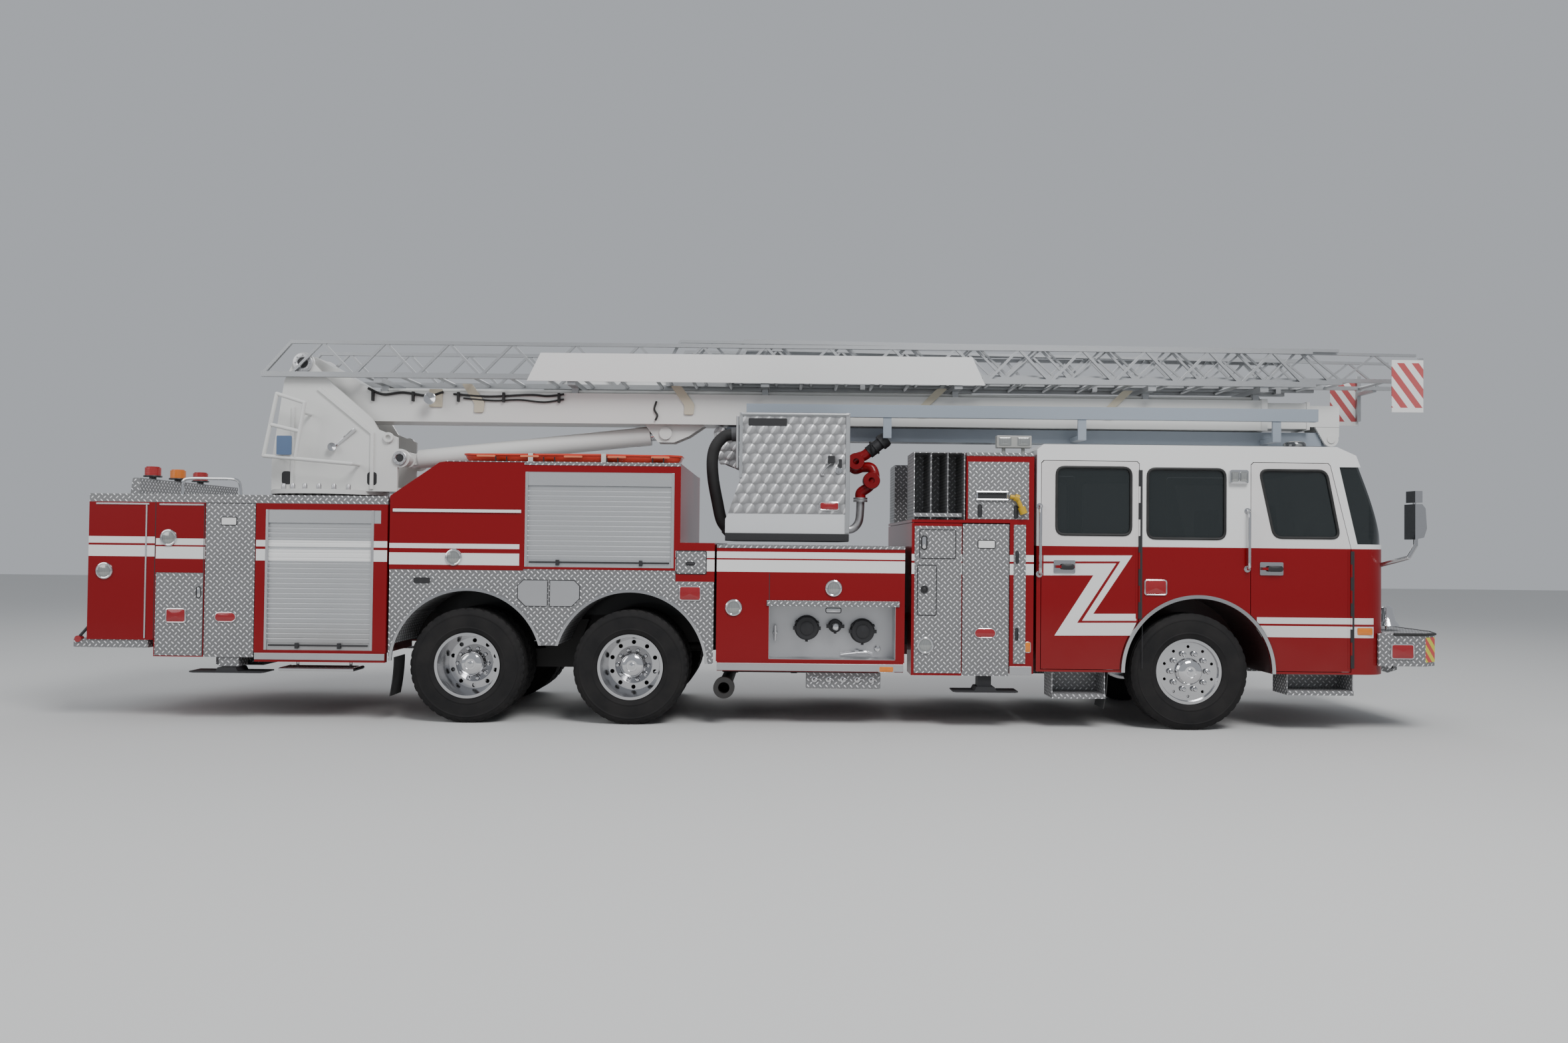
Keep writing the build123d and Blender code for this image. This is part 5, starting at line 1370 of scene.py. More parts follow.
@dataclass
class SideLamps(SubAssembly):
    """Lamps on both sides of the body, cab and bumper."""

    ring: float = 0.076
    inset: float = 0.010
    rounds: tuple[tuple[str, Pair, float], ...] = (
        # name of a round lamp, its centre in X and Z, surface Y
        ("tail_upper", (-5.484, 1.653), SIDE_Y),
        ("tail_lower", (-6.062, 1.348), SIDE_Y),
        ("rear_body", (-2.895, 1.502), SIDE_Y),
        ("pump_upper", (0.558, 1.257), SIDE_Y),
        ("pump_lower", (-0.348, 1.073), SIDE_Y),
        ("fore_low", (1.392, 0.750), PLATE_Y),
    )
    markers: tuple[tuple[str, Lights, Pair, Pair, float, str], ...] = (
        # name, kind, X range, Z range, surface Y, body
        ("tail_marker", Lights.RED, (-5.492, -5.318), (0.888, 1.008), SIDE_Y, "chassis"),
        ("fender_marker", Lights.RED, (-0.840, -0.650), (1.136, 1.258), SIDE_Y, "chassis"),
        ("cab_marker", Lights.RED, (3.382, 3.576), (1.230, 1.360), SIDE_Y, "chassis"),
        ("bumper_marker", Lights.RED, (5.620, 5.820), (0.674, 0.801), SIDE_Y, "chassis"),
        ("cage_marker", Lights.RED, (0.430, 0.603), (1.972, 2.041), CAGE_Y, "cage"),
        ("leg_rear_marker", Lights.OVAL, (-5.050, -4.862), (0.898, 0.980), SIDE_Y, "outrigger_rear"),
        ("leg_front_marker", Lights.OVAL, (1.840, 2.029), (0.825, 0.905), SIDE_Y, "outrigger_front"),
        ("nose_amber", Lights.AMBER, (5.310, 5.450), (0.881, 0.947), 1.214, "chassis"),
        ("rail_amber", Lights.AMBER, (0.965, 1.117), (0.504, 0.556), 1.226, "chassis"),
        ("column_amber", Lights.AMBER, (2.298, 2.346), (0.695, 0.787), SIDE_Y, "chassis"),
    )

    def build(self) -> None:
        """Makes every lamp twice, once for each side."""
        for side in Side:
            for name, centre, surface in self.rounds:
                loop = disc(*centre, self.ring - self.inset)
                self.lamp(f"lamp_{name}_{side.word}", Lights.ROUND, loop, surface, side, "chassis")
            for name, kind, x, z, surface, body in self.markers:
                rides = f"{body}_{side.word}" if body.startswith("outrigger") else body
                oval = (z[1] - z[0]) / 2.0 - 0.001
                corner = {Lights.OVAL: oval, Lights.RED: 0.018, Lights.AMBER: 0.012}[kind]
                self.lamp(f"lamp_{name}_{side.word}", kind, rounded(x, z, corner), surface, side, rides)

    def lamp(self, name: str, kind: Lights, loop: np.ndarray, surface: float, side: Side, body: str) -> None:
        """One lamp: a bezel tube round a crowned lens.

        Args:
            name: the lamp's name.
            kind: which lamp.
            loop: its outline in X and Z.
            surface: how far out the face is that carries it.
            side: the side that it is made for.
            body: the body it rides on.
        """
        out = side.value
        y = surface * out
        lens, width, rise = {
            # lens, radius of the bezel's tube, how far the lens stands off
            Lights.ROUND: (self.finishes.clear_lens, 0.012, 0.020),
            Lights.OVAL: (self.finishes.red_lens, 0.006, 0.018),
            Lights.RED: (self.finishes.red_lens, 0.009, 0.022),
            Lights.AMBER: (self.finishes.amber_lens, 0.004, 0.016),
        }[kind]
        frame = Shape().rim(loop, y + out * 0.003, width, 8)
        frame.piece(f"{name}_bezel", self.finishes.chrome, body, smooth=True)
        glass = Shape().crown(loop, y - out * 0.002, out * rise, 6, 0.5)
        glass.piece(f"{name}_lens", lens, body, smooth=True)


@dataclass
class DoorFittings(SubAssembly):
    """The cab windows' gaskets and glass, its handles and grab rails, and the folded stripe on its doors."""

    skin: float = SIDE_Y
    gasket: float = 0.013
    pane_y: Pair = (-0.018, -0.012)  # the pane's faces behind the skin
    corner: float = 0.074
    windows: tuple[tuple[str, tuple[Pair, ...]], ...] = (
        # body of the pane, corners of its opening in X and Z
        ("cab_door_rear", ((2.576, 1.767), (3.254, 1.767), (3.254, 2.380), (2.576, 2.380))),
        ("chassis", ((3.404, 1.740), (4.110, 1.740), (4.110, 2.374), (3.404, 2.374))),
        ("cab_door_front", ((4.555, 1.758), (5.150, 1.758), (5.028, 2.371), (4.420, 2.371))),
    )
    handles: tuple[tuple[str, float, float], ...] = (("rear", 2.552, 2.748), ("front", 4.424, 4.636))
    handle_z: Pair = (1.416, 1.534)
    rails: tuple[tuple[float, float, float], ...] = ((2.423, 1.406, 2.020), (4.312, 1.470, 1.995))
    thin: tuple[Pair, ...] = (
        (2.461, 1.575), (3.267, 1.583), (2.914, 1.050), (3.306, 1.054), (3.306, 0.992), (2.814, 0.987),
        (3.159, 1.528),
        (2.461, 1.521),
    )
    thick: tuple[Pair, ...] = (
        (2.461, 1.502), (3.121, 1.509), (2.768, 0.967), (3.306, 0.973), (3.250, 0.857), (2.564, 0.850),
        (2.914, 1.399), (2.461, 1.394),
    )

    def build(self) -> None:
        """Makes the fittings of both sides."""
        for side in Side:
            word, out = side.word, side.value
            y = self.skin * out
            for number, (body, corners) in enumerate(self.windows):
                rides = body if body == "chassis" else f"{body}_{word}"
                loop = softened(corners, self.corner)
                Shape().rim(loop, y - out * 0.002, self.gasket, 8).piece(
                    f"gasket_{number}_{word}", self.finishes.hose, rides, smooth=True
                )
                if body != "chassis":
                    pane = Shape().prism(
                        [tuple(p) for p in loop], *(y + out * depth for depth in self.pane_y)
                    )
                    pane.piece(f"pane_{number}_{word}", self.finishes.glass, rides)
            for name, low, high in self.handles:
                plate = Shape().crown(
                    rounded((low, high), self.handle_z, 0.010), y - out * 0.001, out * 0.010, 2, 0.9
                )
                made = plate.piece(
                    f"handle_plate_{name}_{word}", self.finishes.rim, f"cab_door_{name}_{word}", smooth=True
                )
                lift = rounded((low + 0.060, high - 0.014), (1.448, 1.502), 0.024)
                paddle = Shape().crown(lift, y + out * 0.036, out * 0.014, 3, 0.4)
                made = paddle.piece(
                    f"handle_{name}_{word}", self.finishes.black, f"cab_door_{name}_{word}", smooth=True
                )
            for number, (x, low, high) in enumerate(self.rails):
                self.rail(f"grab_rail_{number}_{word}", x, low, high, out)
            for name, outline in (("thin", self.thin), ("thick", self.thick)):
                band = Shape().prism(outline, y - out * 0.0005, y + out * 0.0012)
                band.piece(f"door_stripe_{name}_{word}", self.finishes.white, f"cab_door_rear_{word}")

    def rail(self, name: str, x: float, low: float, high: float, out: int) -> None:
        """A bright upright rail on two bent feet: a tube along a line that turns in at each end.

        Args:
            name: the piece's name.
            x: its place along the cab.
            low: its lower end.
            high: its upper end.
            out: the side's sign.
        """
        y = out * (self.skin + 0.050)
        foot = out * (self.skin - 0.004)
        path = [
            (x, foot, low), (x, foot + out * 0.030, low), (x, y, low + 0.022), (x, y, low + 0.060),
            (x, y, high - 0.060), (x, y, high - 0.022), (x, foot + out * 0.030, high), (x, foot, high),
        ]
        shape = Shape().tube(path, 0.0145, 12)
        for z in (low, high):
            shape.lathe(
                [(CORE, 0.0), (0.030, 0.0), (0.030, out * 0.005), (CORE, out * 0.006)], (x, foot, z), "Y", 20
            )
        shape.piece(name, self.finishes.chrome, "chassis", smooth=True)


@dataclass
class BodyHardware(SubAssembly):
    """Hatches, latches, bare sign plates, the pump recess's lining and the sides' small fittings."""

    seam: float = 0.0050
    hatches: tuple[tuple[str, str, Pair, Pair, float, str], ...] = (
        # name, finish, X range, Z range, surface Y, body
        ("hatch_square", "tread", (1.337, 1.660), (1.539, 1.796), PLATE_Y, "chassis"),
        ("hatch_tall", "tread", (1.318, 1.488), (1.023, 1.475), PLATE_Y, "chassis"),
        ("hatch_pump", "tread", (-0.872, -0.601), (1.374, 1.581), SIDE_Y, "chassis"),
        ("badge_fender", "black", (-3.250, -3.110), (1.268, 1.312), SIDE_Y, "chassis"),
        ("sign_plate_front", "white", (1.866, 2.020), (1.635, 1.706), SIDE_Y, "outrigger_front"),
        ("sign_plate_rear", "white", (-5.010, -4.870), (1.774, 1.845), SIDE_Y, "outrigger_rear"),
        ("sign_plate_recess", "chrome", (0.500, 0.640), (1.020, 1.062), 0.934, "chassis"),
    )
    latches: tuple[tuple[str, str, Pair, Pair, float], ...] = (
        # name, finish of the paddle, X range, Z range, surface Y
        ("square", "chrome", (1.352, 1.400), (1.620, 1.740), 1.228),
        ("tall", "black", (1.352, 1.408), (1.226, 1.284), 1.228),
        ("column_high", "black", (2.208, 2.234), (1.500, 1.610), PLATE_Y),
        ("column_low", "black", (2.208, 2.234), (0.803, 0.913), PLATE_Y),
        ("upper_left", "black", (1.862, 1.896), (1.915, 2.030), PLATE_Y),
        ("upper_right", "black", (2.190, 2.224), (1.907, 2.022), PLATE_Y),
        ("low_end", "black", (-0.785, -0.705), (1.452, 1.480), PLATE_Y),
        ("tail_door", "chrome", (-5.225, -5.185), (1.110, 1.210), SIDE_Y),
    )
    recess_x: Pair = (-0.027, 1.122)
    recess_z: Pair = (0.610, 1.126)
    recess_back: float = 0.930
    shutter_x: tuple[Pair, ...] = ((-4.606, -3.622), (-2.253, -0.897))
    # X, Z and radius of the inlets' caps
    inlets: tuple[Point, ...] = ((0.323, 0.880, 0.100), (0.838, 0.855, 0.100), (0.585, 0.900, 0.055))
    # X, Z, radius and distance from the recess's back of the small valves
    small_valves: tuple[tuple[float, float, float, float], ...] = (
        (0.585, 0.900, 0.034, 0.142), (0.030, 0.830, 0.024, 0.004), (0.980, 0.690, 0.030, 0.004),
        (0.790, 0.665, 0.022, 0.004),
    )
    levers: int = 5
    lever_pitch: float = 0.130
    lever_z: float = 0.425
    # X, foot and top of the mud flaps
    flap_places: tuple[Point, ...] = ((-3.425, 0.235, 0.590), (3.050, 0.190, 0.520))
    # X, foot and top of the dark seams
    seam_places: tuple[Point, ...] = (
        (-5.607, 0.74, 1.97), (-0.025, 1.140, 1.385), (-5.163, 0.60, 1.97), (3.360, 0.56, 1.00)
    )

    def build(self) -> None:
        """Makes the fittings of both sides."""
        for side in Side:
            word, out = side.word, side.value
            for name, finish, x, z, y, body in self.hatches:
                rides = f"{body}_{word}" if body.startswith("outrigger") else body
                self.lid(f"{name}_{word}", getattr(self.finishes, finish), x, z, y * out, out, rides)
            for name, finish, x, z, y in self.latches:
                self.latch(f"latch_{name}_{word}", getattr(self.finishes, finish), x, z, y * out, out)
            for make in (
                self.recess, self.caps, self.door_bar, self.valves, self.covers, self.flaps,
                self.folding_step, self.edges, self.shutter_frames, self.seams,
            ):
                make(side)

    def lid(
        self, name: str, finish: bpy.types.Material, x: Pair, z: Pair, y: float, out: int, body: str
    ) -> None:
        """A thin hatch with rounded corners in a dark seam.

        Args:
            name: the piece's name.
            finish: its material.
            x: its X range.
            z: its Z range.
            y: the face that carries it.
            out: the side's sign.
            body: the body it rides on.
        """
        loop = rounded(x, z, 0.012)
        Shape().rim(loop, y + out * 0.0005, self.seam, 6).piece(
            f"{name}_seam", self.finishes.black, body, smooth=True
        )
        Shape().crown(loop, y - out * 0.001, out * 0.005, 2, 0.9).piece(name, finish, body)

    def latch(self, name: str, finish: bpy.types.Material, x: Pair, z: Pair, y: float, out: int) -> None:
        """A pocket with a rim and a lifting paddle in it.

        Args:
            name: the piece's name.
            finish: the paddle's material.
            x: its X range.
            z: its Z range.
            y: the face that carries it.
            out: the side's sign.
        """
        size = min(x[1] - x[0], z[1] - z[0])
        loop = rounded(x, z, size * 0.49)
        Shape().rim(loop, y, size * 0.14, 6).piece(f"{name}_rim", self.finishes.black, "chassis", smooth=True)
        inner = rounded(
            (x[0] + size * 0.12, x[1] - size * 0.12), (z[0] + size * 0.12, z[1] - size * 0.12), size * 0.36
        )
        Shape().crown(inner, y - out * 0.001, out * 0.007, 3, 0.3).piece(name, finish, "chassis", smooth=True)

    def recess(self, side: Side) -> None:
        """Bright lining of the pump recess: five thin plates, and a lip of tread plate over its mouth.

        Args:
            side: the side that it is made for.
        """
        name, out = f"pump_recess_{side.word}", side.value
        (x0, x1), (z0, z1) = self.recess_x, self.recess_z
        back, front, t = out * self.recess_back, out * 1.219, 0.004
        shape = Shape().box((x0, back, z0), (x1, back + out * t, z1))
        shape.box((x0, back, z0), (x0 + t, front, z1)).box((x1 - t, back, z0), (x1, front, z1))
        shape.box((x0, back, z0), (x1, front, z0 + t)).box((x0, back, z1 - t), (x1, front, z1))
        shape.piece(f"{name}_lining", self.finishes.plate, "chassis")
        lip = Shape().box((x0 - 0.020, out * 1.219, 1.092), (x1 + 0.035, out * 1.232, 1.143))
        lip.piece(f"{name}_lip", self.finishes.tread, "chassis", bevel=0.003)

    def caps(self, side: Side) -> None:
        """The caps with their lugs in the recess, and the small valves and the pipe beside them.

        Args:
            side: the side that it is made for.
        """
        name, out = f"pump_recess_{side.word}", side.value
        rim = Shape()
        for x, z, r in self.inlets:
            face = out * (self.recess_back + 0.120)
            cap = [(CORE, 0.0), (r * 0.60, 0.0), (r * 0.60, 0.010), (r * 0.30, 0.018), (CORE, 0.020)]
            flange = [(r * 0.80, -0.115), (r * 1.16, -0.115), (r * 1.16, -0.103), (r * 0.80, -0.100)]
            for profile in (cap, flange):
                rim.lathe([(radius, out * along) for radius, along in profile], (x, face, z), "Y", 28)
            for turn in range(3):
                a = turn * 2.0 * math.pi / 3.0 + 0.5
                tip = (x + r * 1.25 * math.cos(a), face - out * 0.035, z + r * 1.25 * math.sin(a))
                root = (x + r * 0.7 * math.cos(a), face - out * 0.035, z + r * 0.7 * math.sin(a))
                rim.tube([root, tip], 0.013, 8)
        rim.piece(f"{name}_caps", self.finishes.black, "chassis", smooth=True)
        small = Shape()
        for x, z, r, off in self.small_valves:
            knob = [(CORE, 0.0), (r, 0.0), (r, out * 0.022), (r * 0.75, out * 0.034), (CORE, out * 0.036)]
            small.lathe(knob, (x, out * (self.recess_back + off), z), "Y", 20)
        y = out * (self.recess_back + 0.030)
        pipe = [(0.640, y, 0.640), (0.720, y, 0.650), (0.860, y, 0.662), (0.930, y, 0.640)]
        small.tube(arc(pipe, 18), 0.010, 8)
        small.tube([(0.030, y, 0.760), (0.030, y + out * 0.020, 0.900)], 0.012, 8)
        small.piece(f"{name}_valves", self.finishes.chrome, "chassis", smooth=True)

    def door_bar(self, side: Side) -> None:
        """The slot handle of the upper door: a dark pocket between two bright bars.

        Args:
            side: the side that it is made for.
        """
        name, out = f"upper_door_bar_{side.word}", side.value
        y = out * PLATE_Y
        pocket = rounded((1.862, 2.116), (2.086, 2.134), 0.010)
        Shape().crown(pocket, y - out * 0.001, out * 0.004, 2, 0.9).piece(
            f"{name}_pocket", self.finishes.black, "chassis"
        )
        bars = Shape()
        for z in (2.146, 2.076):
            bars.tube([(1.846, y + out * 0.010, z), (2.132, y + out * 0.010, z)], 0.011, 10)
        for x in (1.852, 2.126):
            bars.tube([(x, y + out * 0.008, 2.062), (x, y + out * 0.008, 2.160)], 0.009, 8)
        bars.piece(name, self.finishes.chrome, "chassis", smooth=True)

    def valves(self, side: Side) -> None:
        """A box of five drain levers under the pump rail.

        Args:
            side: the side that it is made for.
        """
        name, out = f"drain_{side.word}", side.value
        box = Shape().box((0.316, out * 1.060, 0.343), (0.994, out * 1.165, 0.492))
        box.piece(f"{name}_box", self.finishes.tread, "chassis", bevel=0.006)
        levers = Shape()
        knob = [(CORE, 0.0), (0.026, 0.0), (0.026, out * 0.008), (0.012, out * 0.010), (CORE, out * 0.024)]
        z = self.lever_z
        for k in range(self.levers):
            x = 0.392 + self.lever_pitch * k
            levers.lathe(knob, (x, out * 1.165, z), "Y", 18)
            levers.tube([(x, out * 1.182, z), (x + 0.040, out * 1.186, z + 0.007)], 0.008, 8)
        levers.piece(f"{name}_levers", self.finishes.chrome, "chassis", smooth=True)

    def covers(self, side: Side) -> None:
        """The two many-sided plates on the fender between the rear axles, each in a dark seam.

        Args:
            side: the side that it is made for.
        """
        name, out = f"fender_cover_{side.word}", side.value
        y = out * SIDE_Y
        z = (1.068, 1.302)
        plates = (
            # X range, how far its foot's and its top's corners are cut off at the rear and the front
            ((-2.308, -2.040), (0.07, 0.0), (0.05, 0.0)),
            ((-2.016, -1.748), (0.0, 0.07), (0.0, 0.05)),
        )
        for number, (x, foot, top) in enumerate(plates):
            corners = [
                (x[0] + foot[0], z[0]), (x[1] - foot[1], z[0]), (x[1], z[0] + foot[1]), (x[1], z[1] - top[1]),
                (x[1] - top[1], z[1]), (x[0] + top[0], z[1]), (x[0], z[1] - top[0]), (x[0], z[0] + foot[0]),
            ]
            loop = np.array([c for i, c in enumerate(corners) if c not in corners[:i]])
            Shape().rim(loop, y + out * 0.0005, self.seam, 6).piece(
                f"{name}_seam_{number}", self.finishes.black, "chassis"
            )
            made = Shape().crown(loop, y - out * 0.001, out * 0.006, 2, 0.9)
            made.piece(f"{name}_{number}", self.finishes.plate, "chassis")

    def flaps(self, side: Side) -> None:
        """Rubber flaps behind the wheels: a sheet that bows a little towards its foot.

        Args:
            side: the side that it is made for.
        """
        name, out = f"mud_flap_{side.word}", side.value
        for number, (x, low, high) in enumerate(self.flap_places):
            t = np.linspace(0.0, 1.0, 10)
            z = high + (low - high) * t
            bow = x - 0.035 * t**2
            front = np.stack((bow + 0.004, z), -1)
            rear = np.stack((bow - 0.004, z), -1)[::-1]
            Shape().prism([tuple(p) for p in np.concatenate((front, rear))], out * 0.900, out * 1.205).piece(
                f"{name}_{number}", self.finishes.hose, "chassis"
            )

    def folding_step(self, side: Side) -> None:
        """A slide-out step under the lockers: a tread on a bright tube frame with two hangers.

        Args:
            side: the side that it is made for.
        """
        name, out = f"folding_step_{side.word}", side.value
        y0, y1 = out * 0.940, out * 1.190
        shape = Shape()
        loop = [(-4.470, y0, 0.470), (-4.470, y1, 0.470), (-3.800, y1, 0.470), (-3.800, y0, 0.470)]
        shape.tube(loop, 0.016, 10)
        for x in (-4.380, -3.890):
            shape.tube([(x, out * 1.000, 0.470), (x, out * 1.000, 0.545)], 0.014, 8)
        shape.piece(f"{name}_frame", self.finishes.chrome, "chassis", smooth=True)
        plate = Shape().box((-4.440, out * 0.960, 0.478), (-3.830, out * 1.176, 0.486))
        plate.piece(f"{name}_tread", self.finishes.tread, "chassis", bevel=0.002)

    def edges(self, side: Side) -> None:
        """Bright rails along the lower edges.

        Args:
            side: the side that it is made for.
        """
        name, out = f"edge_{side.word}", side.value
        rails = Shape()
        for x, z in (
            ((-4.685, -3.505), (0.560, 0.620)), ((-0.495, 1.194), (0.506, 0.574)),
            ((2.155, 2.355), (0.488, 0.568))
        ):
            rails.box((x[0], out * 1.2265, z[0]), (x[1], out * 1.2345, z[1]))
        made = rails.piece(f"{name}_rails", self.finishes.plate, "chassis", bevel=0.003)

    def shutter_frames(self, side: Side) -> None:
        """Bright guides beside the two shutters, and the dark bar with two grips at the foot of each.

        Args:
            side: the side that it is made for.
        """
        name, out = f"edge_{side.word}", side.value
        frame = Shape()
        for (x0, x1), (z0, z1) in zip(self.shutter_x, ((0.646, 1.919), (1.423, 2.287))):
            for x in (x0 + 0.012, x1 - 0.012):
                frame.box((x - 0.012, out * 1.200, z0), (x + 0.012, out * 1.2235, z1))
        frame.piece(f"{name}_shutter_guides", self.finishes.plate, "chassis", bevel=0.003)
        pulls = Shape()
        for (x0, x1), z in zip(self.shutter_x, (0.690, 1.467)):
            pulls.tube([(x0 + 0.04, out * 1.222, z), (x1 - 0.04, out * 1.222, z)], 0.008, 8)
            for x in (x0 + 0.30, x1 - 0.30):
                pulls.box((x - 0.016, out * 1.210, z - 0.030), (x + 0.016, out * 1.233, z + 0.022))
        pulls.piece(f"{name}_shutter_pulls", self.finishes.black, "chassis", bevel=0.003)

    def seams(self, side: Side) -> None:
        """Dark seams between the lockers, and thin bright trims on the tail.

        Args:
            side: the side that it is made for.
        """
        name, out = f"edge_{side.word}", side.value
        seams = Shape()
        for x, z0, z1 in self.seam_places:
            seams.box((x - 0.003, out * 1.2195, z0), (x + 0.003, out * 1.2207, z1))
        seams.piece(f"{name}_seams", self.finishes.black, "chassis")
        trims = Shape()
        for (x0, x1), (z0, z1) in (
            ((-6.147, -5.665), (1.951, 1.966)), ((-5.695, -5.681), (0.740, 1.951)),
            ((-5.573, -5.170), (1.948, 1.963)),
        ):
            trims.box((x0, out * 1.2190, z0), (x1, out * 1.2260, z1))
        trims.piece(f"{name}_trims", self.finishes.plate, "chassis", bevel=0.002)


@dataclass
class Front(SubAssembly):
    """Headlamps, wipers, bumper fittings, bell, roof lamp, and the lamp heads and outlet of the fore body."""

    lamp_rows: tuple[Pair, ...] = ((0.718, 1.080), (0.872, 1.080))
    lamp_radius: float = 0.066
    face: float = 5.660
    roof_lamp_at: Pair = (4.960, -0.700)
    bell_at: Pair = (5.830, -0.720)

    def build(self) -> None:
        """Makes the pieces of both sides and the single ones."""
        for side in Side:
            self.headlamps(side)
            self.chevrons(side)
            self.wiper(side)
            self.scene_lamp(side)
            self.twin_lamp(side)
        self.bell()
        self.roof_lamp()
        self.beacons()
        self.bumper_edge()
        self.coupling()

    def headlamps(self, side: Side) -> None:
        """Two round lamps in bright rings on each housing.

        Args:
            side: the side that it is made for.
        """
        word, out = side.word, side.value
        rings, lenses = Shape(), Shape()
        for y, z in self.lamp_rows:
            loop = disc(out * y, z, self.lamp_radius)
            rings.rim(loop, self.face + 0.002, 0.009, 8, "X")
            lenses.crown(loop, self.face - 0.002, 0.022, 6, 0.3, "X")
        rings.piece(f"headlamp_rings_{word}", self.finishes.chrome, "chassis", smooth=True)
        lenses.piece(f"headlamp_lenses_{word}", self.finishes.clear_lens, "chassis", smooth=True)
        turn = rounded(tuple(sorted((out * 0.640, out * 0.950))), (0.905, 0.948), 0.010)
        Shape().crown(turn, 5.619, 0.022, 4, 0.5, "X").piece(
            f"turn_lamp_{word}", self.finishes.amber_lens, "chassis", smooth=True
        )

    def chevrons(self, side: Side) -> None:
        """Striped plates on the bumper's corners: the corner's plan line carried up.

        Args:
            side: the side that it is made for.
        """
        out = side.value
        line = np.array(((5.934, 1.2215), (6.062, 1.1305), (6.1415, 0.9005)))
        back = line - np.array((0.004, 0.003))
        plan = np.concatenate((line, back[::-1])) * np.array((1.0, out))
        shape = Shape().prism([tuple(p) for p in plan], 0.640, 0.865, "Z")
        shape.piece(f"bumper_chevron_{side.word}", self.finishes.chevron, "chassis")

    def wiper(self, side: Side) -> None:
        """A wiper arm and its blade lying on the windscreen.

        Args:
            side: the side that it is made for.
        """
        out = side.value
        arm = ((5.612, 0.560, 1.700), (5.585, 0.520, 1.800), (5.540, 0.260, 1.930))
        shape = Shape().tube([(x, out * y, z) for x, y, z in arm], 0.009, 8)
        shape.tube([(5.583, out * 0.500, 1.790), (5.536, out * 0.120, 1.915)], 0.007, 8)
        shape.lathe(
            [(CORE, 0.0), (0.026, 0.0), (0.022, 0.030), (CORE, 0.034)], (5.612, out * 0.560, 1.685), "X", 14
        )
        shape.piece(f"wiper_{side.word}", self.finishes.black, "chassis", smooth=True)

    def scene_lamp(self, side: Side) -> None:
        """Flush lamp head with two reflectors between the cab's windows.

        Args:
            side: the side that it is made for.
        """
        word, out = side.word, side.value
        y = out * SIDE_Y
        body = Shape().crown(
            rounded((4.140, 4.310), (2.243, 2.369), 0.020), y - out * 0.002, out * 0.040, 3, 0.8
        )
        body.piece(f"scene_lamp_{word}", self.finishes.chrome, "chassis", smooth=True)
        lens = Shape()
        for x in (4.185, 4.265):
            lens.crown(
                rounded((x - 0.034, x + 0.034), (2.262, 2.350), 0.012), y + out * 0.036, out * 0.010, 4, 0.4
            )
        lens.piece(f"scene_lamp_lens_{word}", self.finishes.clear_lens, "chassis", smooth=True)

    def twin_lamp(self, side: Side) -> None:
        """Two floodlights in a pale housing on a post over the fore body's upper locker.

        Args:
            side: the side that it is made for.
        """
        word, out = side.word, side.value
        y = out * 1.110
        housing = Shape().box((2.050, out * 1.020, 2.560), (2.370, y, 2.672))
        for x in (2.120, 2.300):
            housing.tube([(x, out * 1.060, 2.500), (x, out * 1.060, 2.565)], 0.018, 10)
        housing.piece(f"twin_lamp_{word}", self.finishes.lamp_grey, "chassis", bevel=0.006)
        lens = Shape()
        for x in (2.125, 2.295):
            lens.crown(
                rounded((x - 0.058, x + 0.058), (2.578, 2.654), 0.008), y - out * 0.001, out * 0.010, 4, 0.3
            )
        lens.piece(f"twin_lamp_lens_{word}", self.finishes.clear_lens, "chassis", smooth=True)

    def bell(self) -> None:
        """A bright bell on a post on the bumper."""
        profile = [
            (CORE, 0.205), (0.030, 0.200), (0.052, 0.180), (0.062, 0.120), (0.078, 0.060), (0.108, 0.022),
            (0.112, 0.010), (0.104, 0.012), (0.070, 0.060), (0.052, 0.120), (0.040, 0.170), (CORE, 0.185),
        ]
        x, y = self.bell_at
        shape = Shape().lathe(profile, (x, y, 0.930), "Z", 36)
        shape.tube([(x, y, 0.895), (x, y, 1.120)], 0.014, 10)
        shape.piece("bell", self.finishes.chrome, "chassis", smooth=True)

    def roof_lamp(self) -> None:
        """Round warning lamp on a dark base on the cab's roof."""
        base = [(CORE, 0.0), (0.140, 0.0), (0.150, 0.010), (0.146, 0.036), (0.110, 0.046), (CORE, 0.046)]
        x, y = self.roof_lamp_at
        Shape().lathe(base, (x, y, 2.585), "Z", 40).piece(
            "roof_lamp_base", self.finishes.black, "chassis", smooth=True
        )
        dome = [(CORE, 0.0), (0.104, 0.0), (0.104, 0.022), (0.092, 0.040), (0.060, 0.050), (CORE, 0.054)]
        made = Shape().lathe(dome, (x, y, 2.630), "Z", 40)
        made.piece("roof_lamp_dome", self.finishes.clear_lens, "chassis", smooth=True)

    def beacons(self) -> None:
        """Dark collars under the three beacons on the rear deck."""
        shape = Shape()
        collar = [(0.050, 0.0), (0.080, 0.0), (0.083, 0.006), (0.080, 0.014), (0.050, 0.014)]
        for y in (-0.735, -0.266, 0.189):
            shape.lathe(collar, (-5.897, y, 2.226), "Z", 32)
        shape.piece("beacon_collars", self.finishes.black, "chassis", smooth=True)

    def bumper_edge(self) -> None:
        """Dark rubber strip round the bumper's upper edge."""
        line = [
            (5.64, -1.224), (5.932, -1.224), (6.064, -1.133), (6.144, -0.902), (6.144, 0.902), (6.064, 1.133),
            (5.932, 1.224), (5.64, 1.224),
        ]
        Shape().tube([(x, y, 0.893) for x, y in line], 0.012, 8).piece(
            "bumper_edge", self.finishes.hose, "chassis", smooth=True
        )

